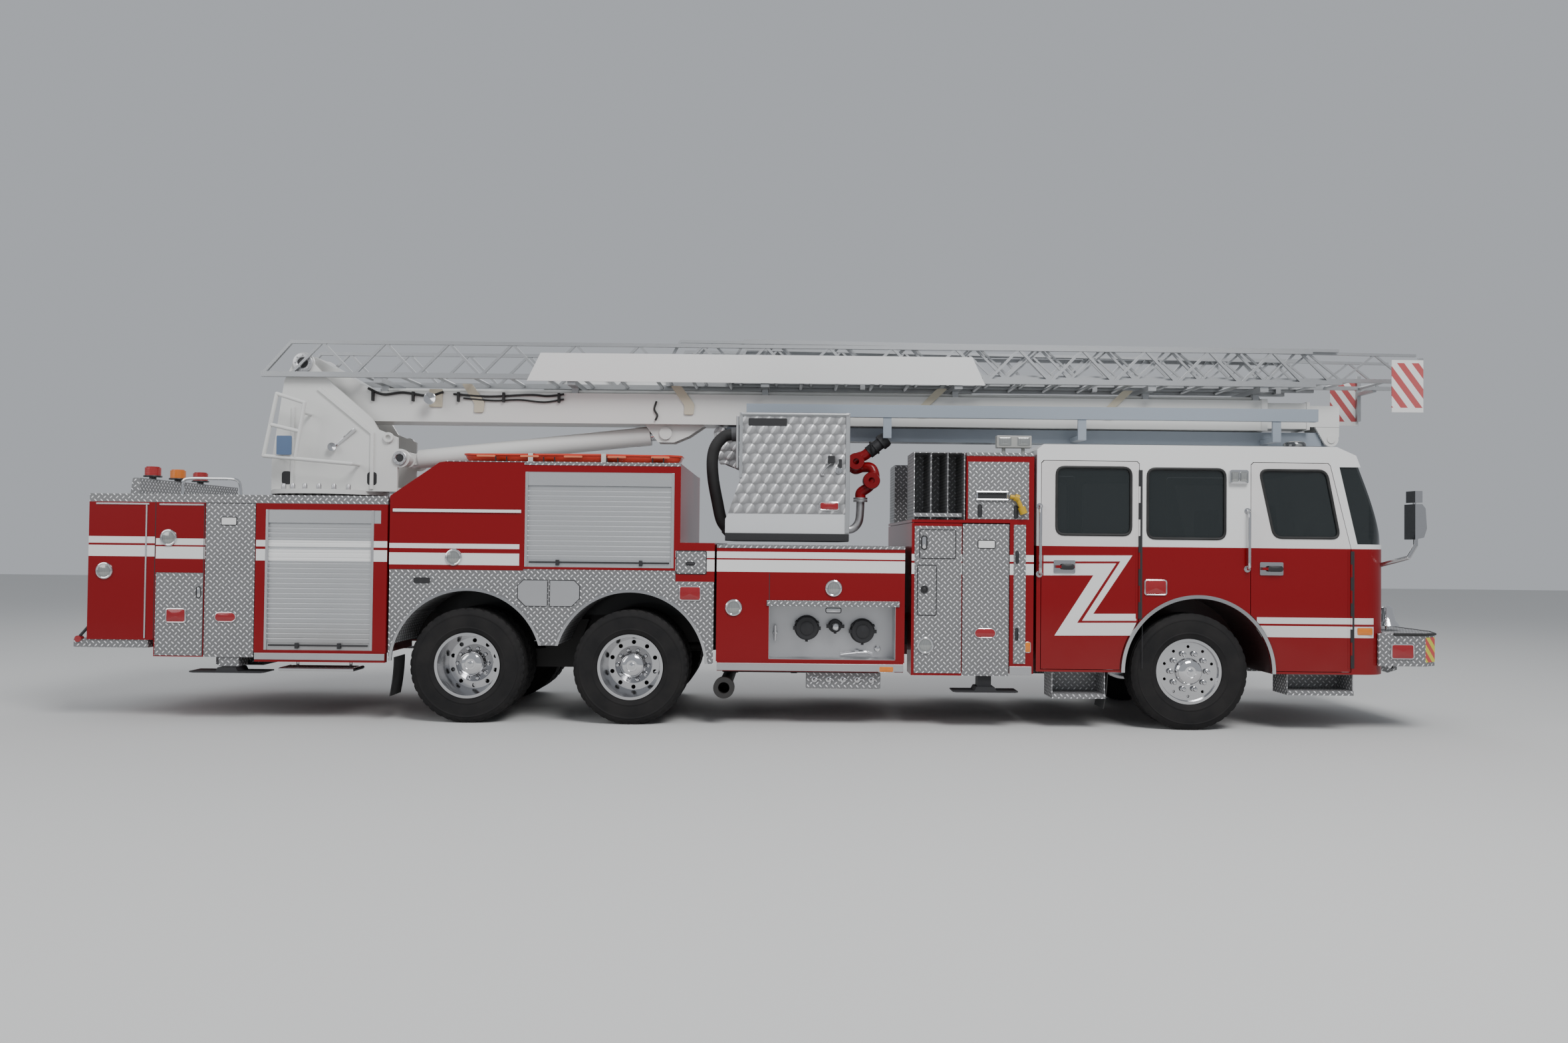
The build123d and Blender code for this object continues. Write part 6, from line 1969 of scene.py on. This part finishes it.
    def coupling(self) -> None:
        """A yellow swivel outlet on the right face of the column over the fore body."""
        y = -1.246
        neck = ((2.150, 2.104), (2.180, 2.100), (2.214, 2.086), (2.240, 2.030), (2.262, 1.985))
        shape = Shape().tube([(x, y, z) for x, z in neck], 0.020, 12)
        shape.tube([(2.190, y, 2.102), (2.226, y, 2.086)], 0.034, 12)
        shape.tube([(2.252, y, 2.010), (2.276, y, 1.950)], 0.034, 12)
        shape.tube([(2.214, -1.215, 2.086), (2.214, y, 2.086)], 0.018, 10)
        shape.piece("yellow_outlet", self.finishes.brass, "chassis", smooth=True)


@dataclass
class Rear(SubAssembly):
    """The tail's flat wall: locker doors, lamp stacks, grab rails, step markers and the deck's rails."""

    wall: float = -6.211
    rail_y: float = 0.890
    hoop_y: float = 1.110
    lamp_y: Pair = (0.920, 1.160)
    lamp_half: float = 0.055
    doors: tuple[tuple[str, Pair, Pair], ...] = (
        # name, Y range, Z range
        ("middle", (-0.400, 0.400), (1.120, 1.900)),
        ("right", (-0.860, -0.450), (0.840, 1.900)),
        ("left", (0.450, 0.860), (0.840, 1.900)),
    )
    lamp_heights: tuple[tuple[float, Lights], ...] = (
        (1.620, Lights.RED), (1.470, Lights.AMBER), (1.320, Lights.ROUND), (1.080, Lights.RED)
    )

    def build(self) -> None:
        """Makes the wall's pieces and both sides' rails."""
        x = self.wall
        for name, (y0, y1), z in self.doors:
            loop = rounded((y0, y1), z, 0.018)
            Shape().rim(loop, x - 0.0005, 0.004, 6, "X").piece(
                f"tail_door_seam_{name}", self.finishes.black, "chassis"
            )
            made = Shape().crown(loop, x + 0.001, -0.008, 2, 0.9, "X")
            made.piece(f"tail_door_{name}", self.finishes.tread, "chassis")
            middle = 0.5 * (y0 + y1)
            latch = rounded((middle - 0.060, middle + 0.060), (1.470, 1.530), 0.028)
            Shape().crown(latch, x - 0.006, -0.010, 3, 0.4, "X").piece(
                f"tail_latch_{name}", self.finishes.chrome, "chassis"
            )
        for side in Side:
            self.lamps(side)
            self.rails(side)

    def lamps(self, side: Side) -> None:
        """A stack of square lamps in bright frames.

        Args:
            side: the side that it is made for.
        """
        word, out = side.word, side.value
        glass = {
            Lights.RED: self.finishes.red_lens, Lights.AMBER: self.finishes.amber_lens,
            Lights.ROUND: self.finishes.clear_lens,
        }
        for number, (z, kind) in enumerate(self.lamp_heights):
            loop = rounded(
                tuple(sorted(out * y for y in self.lamp_y)), (z - self.lamp_half, z + self.lamp_half), 0.016
            )
            Shape().rim(loop, self.wall - 0.004, 0.010, 8, "X").piece(
                f"tail_lamp_frame_{number}_{word}", self.finishes.chrome, "chassis", smooth=True
            )
            Shape().crown(loop, self.wall + 0.001, -0.026, 5, 0.6, "X").piece(
                f"tail_lamp_{number}_{word}", glass[kind], "chassis", smooth=True
            )

    def rails(self, side: Side) -> None:
        """A grab rail beside the doors, a hooped rail on the deck and a red marker on the step's end.

        Args:
            side: the side that it is made for.
        """
        word, out = side.word, side.value
        x = self.wall
        upright = (
            (0.002, 1.120), (-0.055, 1.130), (-0.060, 1.300), (-0.060, 1.680), (-0.055, 1.850), (0.002, 1.860)
        )
        rail = Shape().tube(
            arc([(x + depth, out * self.rail_y, z) for depth, z in upright], 40), 0.014, 10
        )
        hoop = (
            (-5.420, 2.045), (-5.415, 2.150), (-5.380, 2.196), (-5.150, 2.200), (-4.960, 2.196),
            (-4.900, 2.160), (-4.880, 2.045),
        )
        rail.tube(arc([(along, out * self.hoop_y, z) for along, z in hoop], 50), 0.014, 10)
        marker = Shape().tube([(x + 0.003, out * 1.190, 0.845), (x - 0.090, out * 1.190, 0.738)], 0.013, 10)
        marker.piece(f"tail_marker_arm_{word}", self.finishes.black, "chassis", smooth=True)
        bulb = Shape().tube([(x - 0.086, out * 1.160, 0.728), (x - 0.086, out * 1.214, 0.728)], 0.030, 18)
        bulb.piece(f"tail_marker_{word}", self.finishes.red_lens, "chassis", smooth=True)
        rail.piece(f"grab_rails_{word}", self.finishes.chrome, "chassis", smooth=True)


@dataclass
class Aerial(SubAssembly):
    """Bolted discs, brackets, ribs, cables, lamps and the bare plate of the turret and the boom."""

    pivot: Pair = (-4.656, 3.390)
    barrel_pin: Pair = (-3.686, 2.460)
    rod_pin: Pair = (-1.093, 2.750)
    turntable: Point = (-4.480, 0.505, 2.140)  # X of its middle, radius of its bolt circle, height
    cable_y: float = -0.214

    def build(self) -> None:
        """Makes the pieces of both sides."""
        for side in Side:
            self.bolted("pivot_disc", self.pivot, 0.332, 0.098, "turret", side)
            self.bolted("barrel_disc", self.barrel_pin, 0.330, 0.070, "turret", side)
            self.bolted("rod_disc", self.rod_pin, 0.122, 0.058, "boom", side)
            self.brackets(side)
            self.deck_bolts(side)
            self.ribs(side)
        self.cables()
        self.flood_lamp()
        self.stand_plate()

    def bolted(self, name: str, at: Pair, face: float, radius: float, body: str, side: Side) -> None:
        """A disc with a raised rim, a dark middle and bolts round it.

        Args:
            name: the disc's name.
            at: its centre in X and Z.
            face: how far out it stands.
            radius: its radius.
            body: the body it rides on.
            side: the side that it is made for.
        """
        word, out = side.word, side.value
        (x, z), y = at, out * face
        ring = [
            (radius * 0.52, 0.0), (radius, 0.0), (radius, out * 0.010), (radius * 0.92, out * 0.014),
            (radius * 0.60, out * 0.014), (radius * 0.52, out * 0.008),
        ]
        shape = Shape().lathe(ring, (x, y, z), "Y", 36)
        for k in range(8):
            a = 2.0 * math.pi * k / 8.0
            spot = (x + radius * 0.76 * math.cos(a), y + out * 0.012, z + radius * 0.76 * math.sin(a))
            shape.lathe([(CORE, 0.0), (0.008, 0.0), (0.008, out * 0.008), (CORE, out * 0.009)], spot, "Y", 6)
        shape.piece(f"{name}_{word}", self.finishes.plate, body, smooth=True)
        middle = [(CORE, 0.0), (radius * 0.52, 0.0), (radius * 0.48, out * 0.006), (CORE, out * 0.006)]
        cap = Shape().lathe(middle, (x, y, z), "Y", 28)
        cap.piece(f"{name}_middle_{word}", self.finishes.black, body, smooth=True)

    def brackets(self, side: Side) -> None:
        """Bent arms from the boom's side up to the ladder's rail: plates with a turned foot.

        Args:
            side: the side that it is made for.
        """
        word, out = side.word, side.value
        shape = Shape()
        for x, lean in ((-2.960, 0.16), (-0.870, 0.17), (1.450, -0.16), (3.300, -0.16)):
            outline = [
                (x - lean, 3.215), (x - lean + 0.105, 3.215), (x + 0.070, 3.030), (x + 0.060, 2.930),
                (x - 0.035, 2.930), (x - 0.030, 3.020),
            ]
            shape.prism([tuple(p) for p in softened(outline, 0.020)], out * BOOM_Y, out * 0.2165)
        made = shape.piece(f"ladder_brackets_{word}", self.finishes.cream, "boom", bevel=0.003)

    def deck_bolts(self, side: Side) -> None:
        """Bolt heads round the turntable and two dark slots in each cheek.

        Args:
            side: the side that it is made for.
        """
        word, out = side.word, side.value
        shape = Shape()
        middle, circle, deck = self.turntable
        bolt = [(CORE, 0.0), (0.024, 0.0), (0.024, 0.036), (0.016, 0.054), (CORE, 0.056)]
        for k in range(10):
            a = math.radians(20.0 + 15.5 * k)
            spot = (middle + circle * math.cos(a), out * circle * math.sin(a), deck)
            shape.lathe(bolt, spot, "Z", 10)
        shape.piece(f"turntable_bolts_{word}", self.finishes.plate, "turret", smooth=True)
        dark = Shape()
        for x in (-4.800, -3.960):
            loop = rounded((x - 0.048, x + 0.048), (2.190, 2.320), 0.030)
            dark.crown(loop, out * CHEEK_Y, out * 0.002, 2, 0.9)
        dark.piece(f"cheek_slots_{word}", self.finishes.black, "turret")

    def ribs(self, side: Side) -> None:
        """Stiffening ribs on the cheek's face, and a lifting eye at its front: a collar round a hole.

        Args:
            side: the side that it is made for.
        """
        word, out = side.word, side.value
        line = np.array(((-4.500, 3.140), (-3.960, 2.700), (-3.960, 2.150)))
        shift = np.array(((0.018, 0.030), (0.034, 0.010), (0.034, 0.0)))
        loop = np.concatenate((line - shift * 0.5, (line + shift * 0.5)[::-1]))
        shape = Shape().prism([tuple(p) for p in loop], out * CHEEK_Y, out * 0.3400)
        shape.prism(
            [(-4.760, 2.150), (-4.728, 2.150), (-4.728, 2.950), (-4.760, 2.950)], out * CHEEK_Y, out * 0.3340
        )
        shape.piece(f"cheek_ribs_{word}", self.finishes.boom_white, "turret", bevel=0.003)
        collar = ((0.024, 0.0), (0.052, 0.0), (0.052, 0.022), (0.046, 0.030), (0.028, 0.030), (0.024, 0.022))
        eye = Shape().lathe([(r, out * a) for r, a in collar], (-3.800, out * CHEEK_Y, 2.660), "Y", 28)
        eye.piece(f"lifting_eye_{word}", self.finishes.boom_white, "turret", smooth=True)

    def cables(self) -> None:
        """Cables and lines clipped to the right side of the boom and under it."""
        runs = (
            # points in X and Z, radius
            (((-4.05, 3.16), (-3.90, 3.10), (-3.70, 3.12), (-3.45, 3.09), (-3.30, 3.13)), 0.013),
            (((-3.20, 3.11), (-2.85, 3.09), (-2.45, 3.11), (-2.26, 3.10), (-2.10, 3.12)), 0.011),
            (((-3.10, 3.07), (-2.80, 3.05), (-2.55, 3.06), (-2.30, 3.04), (-2.10, 3.07)), 0.009),
            (((-1.18, 3.06), (-1.20, 2.98), (-1.17, 2.92), (-1.19, 2.87)), 0.010),
        )
        shape = Shape()
        for points, radius in runs:
            shape.tube(arc([(x, self.cable_y, z) for x, z in points], 40), radius, 8)
        for x in (-4.00, -3.60, -3.15, -2.70, -2.15):
            shape.box((x - 0.012, -0.232, 3.035), (x + 0.012, -BOOM_Y, 3.130))
        shape.piece("boom_cables", self.finishes.hose, "boom", smooth=True)
        lines = Shape()
        for y, z, r in (
            (0.150, 3.142, 0.030), (0.060, 3.140, 0.022), (-0.040, 3.140, 0.022), (-0.130, 3.140, 0.016)
        ):
            lines.tube([(-3.95, y, z + r), (4.85, y, z + r)], r, 10)
        lines.piece("boom_lines", self.finishes.boom_white, "boom", smooth=True)

    def flood_lamp(self) -> None:
        """A bright round lamp on a plate at the root of the boom."""
        x, y, z = -3.400, -0.290, 3.050
        bowl = [
            (CORE, 0.0), (0.030, -0.004), (0.052, -0.030), (0.060, -0.066), (0.056, -0.068), (CORE, -0.060)
        ]
        shape = Shape().lathe(bowl, (x, y + 0.02, z), "Y", 28)
        shape.tube([(x, y + 0.020, z), (x, -0.205, z + 0.03)], 0.012, 8)
        shape.piece("boom_flood_lamp", self.finishes.chrome, "boom", smooth=True)
        plate = Shape().box((x - 0.040, -0.216, z - 0.070), (x + 0.090, -BOOM_Y, z + 0.110))
        plate.piece("boom_flood_bracket", self.finishes.cream, "boom", bevel=0.004)

    def stand_plate(self) -> None:
        """Bare plate on the control stand, and a small work lamp on its arm."""
        loop = rounded((-4.808, -4.662), (2.466, 2.650), 0.010)
        Shape().crown(loop, -0.545, -0.006, 2, 0.9).piece("stand_plate", self.finishes.sign_blue, "turret")
        bowl = [(CORE, 0.0), (0.024, -0.002), (0.040, -0.026), (0.042, -0.050), (CORE, -0.046)]
        lamp = Shape().lathe(bowl, (-4.340, -0.330, 2.560), "Y", 24)
        lamp.tube([(-4.340, -0.318, 2.560), (-4.130, -0.335, 2.740)], 0.020, 8)
        lamp.piece("stand_lamp", self.finishes.chrome, "turret", smooth=True)


@dataclass
class Litter(SubAssembly):
    """The rescue litter's moulded shell in place of the plain one, with handholds, straps and rack feet."""

    x: Pair = (-2.880, -0.849)
    y: Pair = (-1.120, -0.600)
    z: Pair = (2.378, 2.460)

    def outline(self, inset: float) -> np.ndarray:
        """The litter's tapered outline in X and Y, narrow at the foot and shouldered at the head.

        Args:
            inset: how far it is drawn in.

        Returns:
            The outline.
        """
        (x0, x1), (y0, y1) = self.x, self.y
        i = inset
        corners = [
            (x0 + i, y0 + 0.120 + i * 0.5), (x0 + 0.090 + i, y0 + 0.030 + i), (x1 - 0.700, y0 + i),
            (x1 - 0.140 - i * 0.3, y0 + i), (x1 - i, y0 + 0.130 + i * 0.3), (x1 - i, y1 - 0.130 - i * 0.3),
            (x1 - 0.140 - i * 0.3, y1 - i), (x1 - 0.700, y1 - i), (x0 + 0.090 + i, y1 - 0.030 - i),
            (x0 + i, y1 - 0.120 - i * 0.5),
        ]
        return softened(corners, 0.045, 5)

    def build(self) -> None:
        """Makes the shell with its rim, the handholds, the straps and the feet."""
        z0, z1 = self.z
        sections = (
            # inset, height: down the outside, round the floor and up the inside
            (0.000, z1), (0.002, z1 - 0.014), (0.014, z1 - 0.020), (0.020, z1 - 0.040), (0.040, z0 + 0.014),
            (0.062, z0 + 0.002), (0.110, z0), (0.115, z0 + 0.004), (0.070, z0 + 0.008), (0.050, z0 + 0.020),
            (0.032, z1 - 0.030), (0.026, z1 - 0.006), (0.018, z1 + 0.001),
        )
        rows = []
        for inset, height in sections:
            flat = self.outline(inset)
            wave = 0.003 * np.sin(flat[:, 0] * 2.0 * np.pi / 0.33) * (inset < 0.030)
            rows.append(np.column_stack((flat, height + wave)))
        middle = rows[6].mean(axis=0)
        for place in (6, 8):
            ring = rows[place]
            closer = ring + (np.array((*middle[:2], ring[0, 2])) - ring) * 0.97
            rows.insert(place, closer)
        shell = Shape().grid(np.array(rows), around=True, along=True)
        made = shell.piece("litter_shell", self.finishes.orange, "chassis", smooth=True)
        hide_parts("litter_basket")
        slots, straps, feet = Shape(), Shape(), Shape()
        for y, out in ((self.y[0], -1), (self.y[1], 1)):
            for k in range(5):
                x = -2.640 + 0.400 * k
                loop = rounded((x - 0.085, x + 0.085), (z1 - 0.034, z1 - 0.016), 0.008)
                slots.crown(loop, y - out * 0.016, out * 0.024, 2, 0.9)
        slots.piece("litter_handholds", self.finishes.rope, "chassis", smooth=True)
        for x in (-2.230, -1.560):
            width = 0.022
            path = [
                (self.y[0] - 0.006, z0), (self.y[0] - 0.006, z1 + 0.004), (self.y[0] + 0.060, z1 + 0.007),
                (self.y[1] - 0.060, z1 + 0.007), (self.y[1] + 0.006, z1 + 0.004), (self.y[1] + 0.006, z0),
            ]
            line = np.array(path)
            inner = line + (np.array((line[:, 0].mean(), line[:, 1].min())) - line) * 0.012
            straps.prism([tuple(p) for p in np.concatenate((line, inner[::-1]))], x - width, x + width, "X")
        straps.piece("litter_straps", self.finishes.strap, "chassis")
        deck, y0, y1 = 2.373, *self.y
        for x in (-2.500, -2.060, -1.480, -1.060):
            feet.box((x - 0.040, y0 + 0.010, deck), (x + 0.040, y0 + 0.060, z0 + 0.010))
            for at in (x - 0.050, x + 0.050):
                feet.tube([(at, y0 + 0.004, deck + 0.003), (at, y0 - 0.004, z1 - 0.030)], 0.006, 8)
            feet.box((x - 0.040, y1 - 0.060, deck), (x + 0.040, y1 - 0.010, z0 + 0.010))
        feet.piece("litter_feet", self.finishes.black, "chassis")


@dataclass
class CageFittings(SubAssembly):
    """Posts, floor edge, control box and supply pipe of the cage, and the red water monitor on its front."""

    half: float = CAGE_Y
    monitor_y: float = -0.300
    pipe_y: float = -0.620

    def build(self) -> None:
        """Makes the pieces."""
        for side in Side:
            self.frame(side)
        self.hose()
        self.monitor()

    def frame(self, side: Side) -> None:
        """Corner posts and top rail in bright tube, the floor's dark edge, and a control box on the side.

        Args:
            side: the side that it is made for.
        """
        word, out = side.word, side.value
        y = out * (self.half + 0.006)
        posts = Shape()
        posts.box((0.664, out * self.half, 1.760), (0.702, out * (self.half + 0.014), 2.866))
        posts.box((-0.318, out * self.half, 2.260), (-0.288, out * (self.half + 0.014), 2.866))
        posts.tube([(-0.300, y, 2.850), (0.690, y, 2.850)], 0.016, 10)
        posts.tube([(-0.335, y - out * 0.010, 2.350), (-0.335, y - out * 0.010, 2.830)], 0.014, 10)
        posts.piece(f"cage_posts_{word}", self.finishes.ladder, "cage", bevel=0.003)
        edge = Shape().box(
            (-0.441, out * (self.half - 0.002), 1.682), (0.700, out * (self.half + 0.010), 1.752)
        )
        edge.piece(f"cage_floor_edge_{word}", self.finishes.black, "cage", bevel=0.004)
        pocket = rounded((-0.235, 0.120), (2.742, 2.812), 0.010)
        Shape().crown(pocket, out * (self.half - 0.001), out * 0.003, 2, 0.9).piece(
            f"cage_pocket_{word}", self.finishes.black, "cage"
        )
        box = Shape().box((0.500, out * self.half, 2.400), (0.562, out * (self.half + 0.050), 2.470))
        box.box((0.600, out * self.half, 2.360), (0.628, out * (self.half + 0.030), 2.440))
        box.piece(f"cage_box_{word}", self.finishes.black, "cage", bevel=0.004)
        bent = y + out * 0.010
        grip = [(0.520, y, 2.400), (0.470, bent, 2.350), (0.440, bent, 2.300), (0.470, y, 2.290)]
        lever = Shape().tube(arc(grip, 16), 0.006, 8)
        knob = [(CORE, 0.0), (0.036, 0.0), (0.030, out * 0.012), (CORE, out * 0.014)]
        lever.lathe(knob, (0.600, out * self.half, 2.335), "Y", 20)
        lever.piece(f"cage_lever_{word}", self.finishes.chrome, "cage", smooth=True)

    def hose(self) -> None:
        """The thick supply pipe behind the cage, held by its upper and its lower elbow."""
        points = [
            (-0.400, 2.700), (-0.480, 2.680), (-0.560, 2.590), (-0.592, 2.460), (-0.582, 2.270),
            (-0.540, 2.050), (-0.500, 1.880), (-0.440, 1.790),
        ]
        Shape().tube(arc([(x, self.pipe_y, z) for x, z in points], 49), 0.056, 16).piece(
            "cage_supply_pipe", self.finishes.hose, "cage", smooth=True
        )
        collars = Shape()
        collars.tube([(-0.305, self.pipe_y, 2.705), (-0.410, self.pipe_y, 2.699)], 0.066, 16)
        collars.tube([(-0.452, self.pipe_y, 1.806), (-0.380, self.pipe_y, 1.730)], 0.064, 16)
        collars.piece("cage_pipe_elbows", self.finishes.cast, "cage", smooth=True)

    def monitor(self) -> None:
        """The monitor: a grey riser elbow, a red looped waterway and a dark nozzle, each a tube on a line."""
        y = self.monitor_y
        bend = ((0.700, 1.800), (0.780, 1.812), (0.836, 1.880), (0.850, 1.990), (0.852, 2.080))
        riser = Shape().tube(arc([(x, y, z) for x, z in bend], 30), 0.040, 16)
        for z in (2.076, 2.100):
            riser.lathe([(CORE, 0.0), (0.070, 0.0), (0.070, 0.018), (CORE, 0.018)], (0.852, y, z), "Z", 28)
        riser.piece("monitor_riser", self.finishes.plate, "cage", smooth=True)
        red = Shape()
        loop = [
            (0.852, y, 2.110), (0.858, y, 2.170), (0.935, y - 0.02, 2.230), (0.985, y - 0.03, 2.320),
            (0.955, y - 0.01, 2.410), (0.870, y + 0.02, 2.420), (0.800, y + 0.01, 2.400), (0.770, y, 2.440),
            (0.800, y - 0.02, 2.500), (0.880, y - 0.03, 2.530), (0.940, y - 0.03, 2.575),
        ]
        red.tube(arc(loop, 80), 0.052, 18)
        joint = [
            (0.030, -0.075), (0.078, -0.075), (0.084, -0.060), (0.084, 0.060), (0.078, 0.075), (0.030, 0.075)
        ]
        for x, z in ((0.955, 2.285), (0.800, 2.470)):
            red.lathe(joint, (x, y - 0.02, z), "Y", 28)
        red.box((0.694, y - 0.090, 2.330), (0.708, y + 0.090, 2.520))
        red.tube([(0.700, y, 2.420), (0.790, y, 2.430)], 0.058, 18)
        made = red.piece("monitor_waterway", self.finishes.red, "cage", smooth=True)
        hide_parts("monitor")
        start = np.array((0.925, y - 0.03, 2.560))
        way = np.array((0.70, 0.0, 0.56))
        way /= np.linalg.norm(way)
        nozzle = Shape()
        steps = (
            # start and end along the nozzle, radius
            (0.0, 0.070, 0.062), (0.070, 0.085, 0.072), (0.085, 0.150, 0.058), (0.150, 0.215, 0.076),
            (0.215, 0.228, 0.070),
        )
        for low, high, radius in steps:
            nozzle.tube([tuple(start + way * low), tuple(start + way * high)], radius, 20)
        nozzle.tube([(0.960, y - 0.10, 2.560), (0.930, y - 0.13, 2.660)], 0.010, 8)
        nozzle.piece("monitor_nozzle", self.finishes.black, "cage", smooth=True)


@dataclass
class Studio:
    """Plain floor, soft lights and the camera at the photograph's angle."""

    camera_at: Point = (0.101, -12.06, 1.65)
    pitch_up: float = 1.1
    roll: float = 0.6
    lens: float = 27.4
    floor_half: Pair = (60.0, 40.0)
    sky: Colour = (0.86, 0.90, 0.96)
    sky_strength: float = 0.50

    def build(self) -> None:
        """Places the camera, the floor and the lights."""
        self.camera()
        self.floor()
        self.lights()

    def camera(self) -> None:
        """Camera with the photograph's place, pitch and roll."""
        data = bpy.data.cameras.new("camera")
        data.lens = self.lens
        data.sensor_width = 36.0
        data.clip_end = 200.0
        eye = bpy.data.objects.new("camera", data)
        eye.location = self.camera_at
        turn = Euler((math.radians(90.0 + self.pitch_up), 0.0, 0.0)).to_matrix()
        tilt = Euler((0.0, 0.0, math.radians(self.roll))).to_matrix()
        eye.rotation_euler = (turn @ tilt).to_euler()
        bpy.context.scene.collection.objects.link(eye)
        bpy.context.scene.camera = eye

    def floor(self) -> None:
        """Pale flat floor, far wider than the view."""
        mesh = bpy.data.meshes.new("floor")
        w, d = self.floor_half
        mesh.from_pydata([(-w, -d, 0), (w, -d, 0), (w, d, 0), (-w, d, 0)], [], [(0, 1, 2, 3)])
        floor = bpy.data.objects.new("floor", mesh)
        tree = Tree("floor_pale")
        tree.set(Base_Color=(0.62, 0.62, 0.61), Roughness=0.85)
        mesh.materials.append(tree.material)
        bpy.context.scene.collection.objects.link(floor)
        floor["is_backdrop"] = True

    def lights(self) -> None:
        """Soft even sky, a broad key from the front right, a fill from the rear right and a back light."""
        world = bpy.data.worlds.new("sky")
        world.use_nodes = True
        sky = world.node_tree.nodes["Background"]
        sky.inputs[0].default_value = (*self.sky, 1.0)
        sky.inputs[1].default_value = self.sky_strength
        bpy.context.scene.world = world
        for name, place, aim, size, power in (
            # name, where it hangs, what it looks at, its side's length, watts
            ("key", (5.0, -11.0, 14.0), (0.0, 0.0, 1.2), 7.0, 2300.0),
            ("fill", (-13.0, -9.0, 8.0), (0.0, 0.0, 1.4), 9.0, 600.0),
            ("back", (0.0, 13.0, 10.0), (0.0, 0.0, 2.0), 10.0, 700.0),
        ):
            data = bpy.data.lights.new(name, "AREA")
            data.size = size
            data.energy = power
            lamp = bpy.data.objects.new(name, data)
            lamp.location = place
            lamp.rotation_euler = (Vector(aim) - Vector(place)).to_track_quat("-Z", "Y").to_euler()
            bpy.context.scene.collection.objects.link(lamp)


def dress_nodes(nodes: dict[str, bpy.types.Object], finishes: Finishes) -> None:
    """Gives every CAD node its finish.

    Args:
        nodes: the CAD nodes by name.
        finishes: the vehicle's materials.
    """
    for name, material in finishes.by_node().items():
        node = nodes[name]
        node.data.materials.clear()
        node.data.materials.append(material)
        node.data.polygons.foreach_set("use_smooth", np.zeros(len(node.data.polygons), bool))


def write_size(name: str, corners: dict) -> None:
    """Adds the object's lowest and highest corner under a name."""
    low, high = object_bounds()
    corners[name] = [list(low), list(high)]


def main() -> None:
    """Builds the scene piece by piece."""
    logging.basicConfig(level=logging.INFO)
    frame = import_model()
    corners: dict = {}
    write_size("loaded", corners)
    finishes = Finishes()
    dress_nodes(frame["nodes"], finishes)
    log.info("dressed %d CAD nodes", len(frame["nodes"]))
    for kind in (Wheels, SideLamps, DoorFittings, BodyHardware, Front, Rear, Aerial, Litter, CageFittings):
        kind(finishes).build()
        log.info("built %s", kind.__name__)
    Studio().build()
    write_size("finished", corners)


if __name__ == "__main__":
    main()
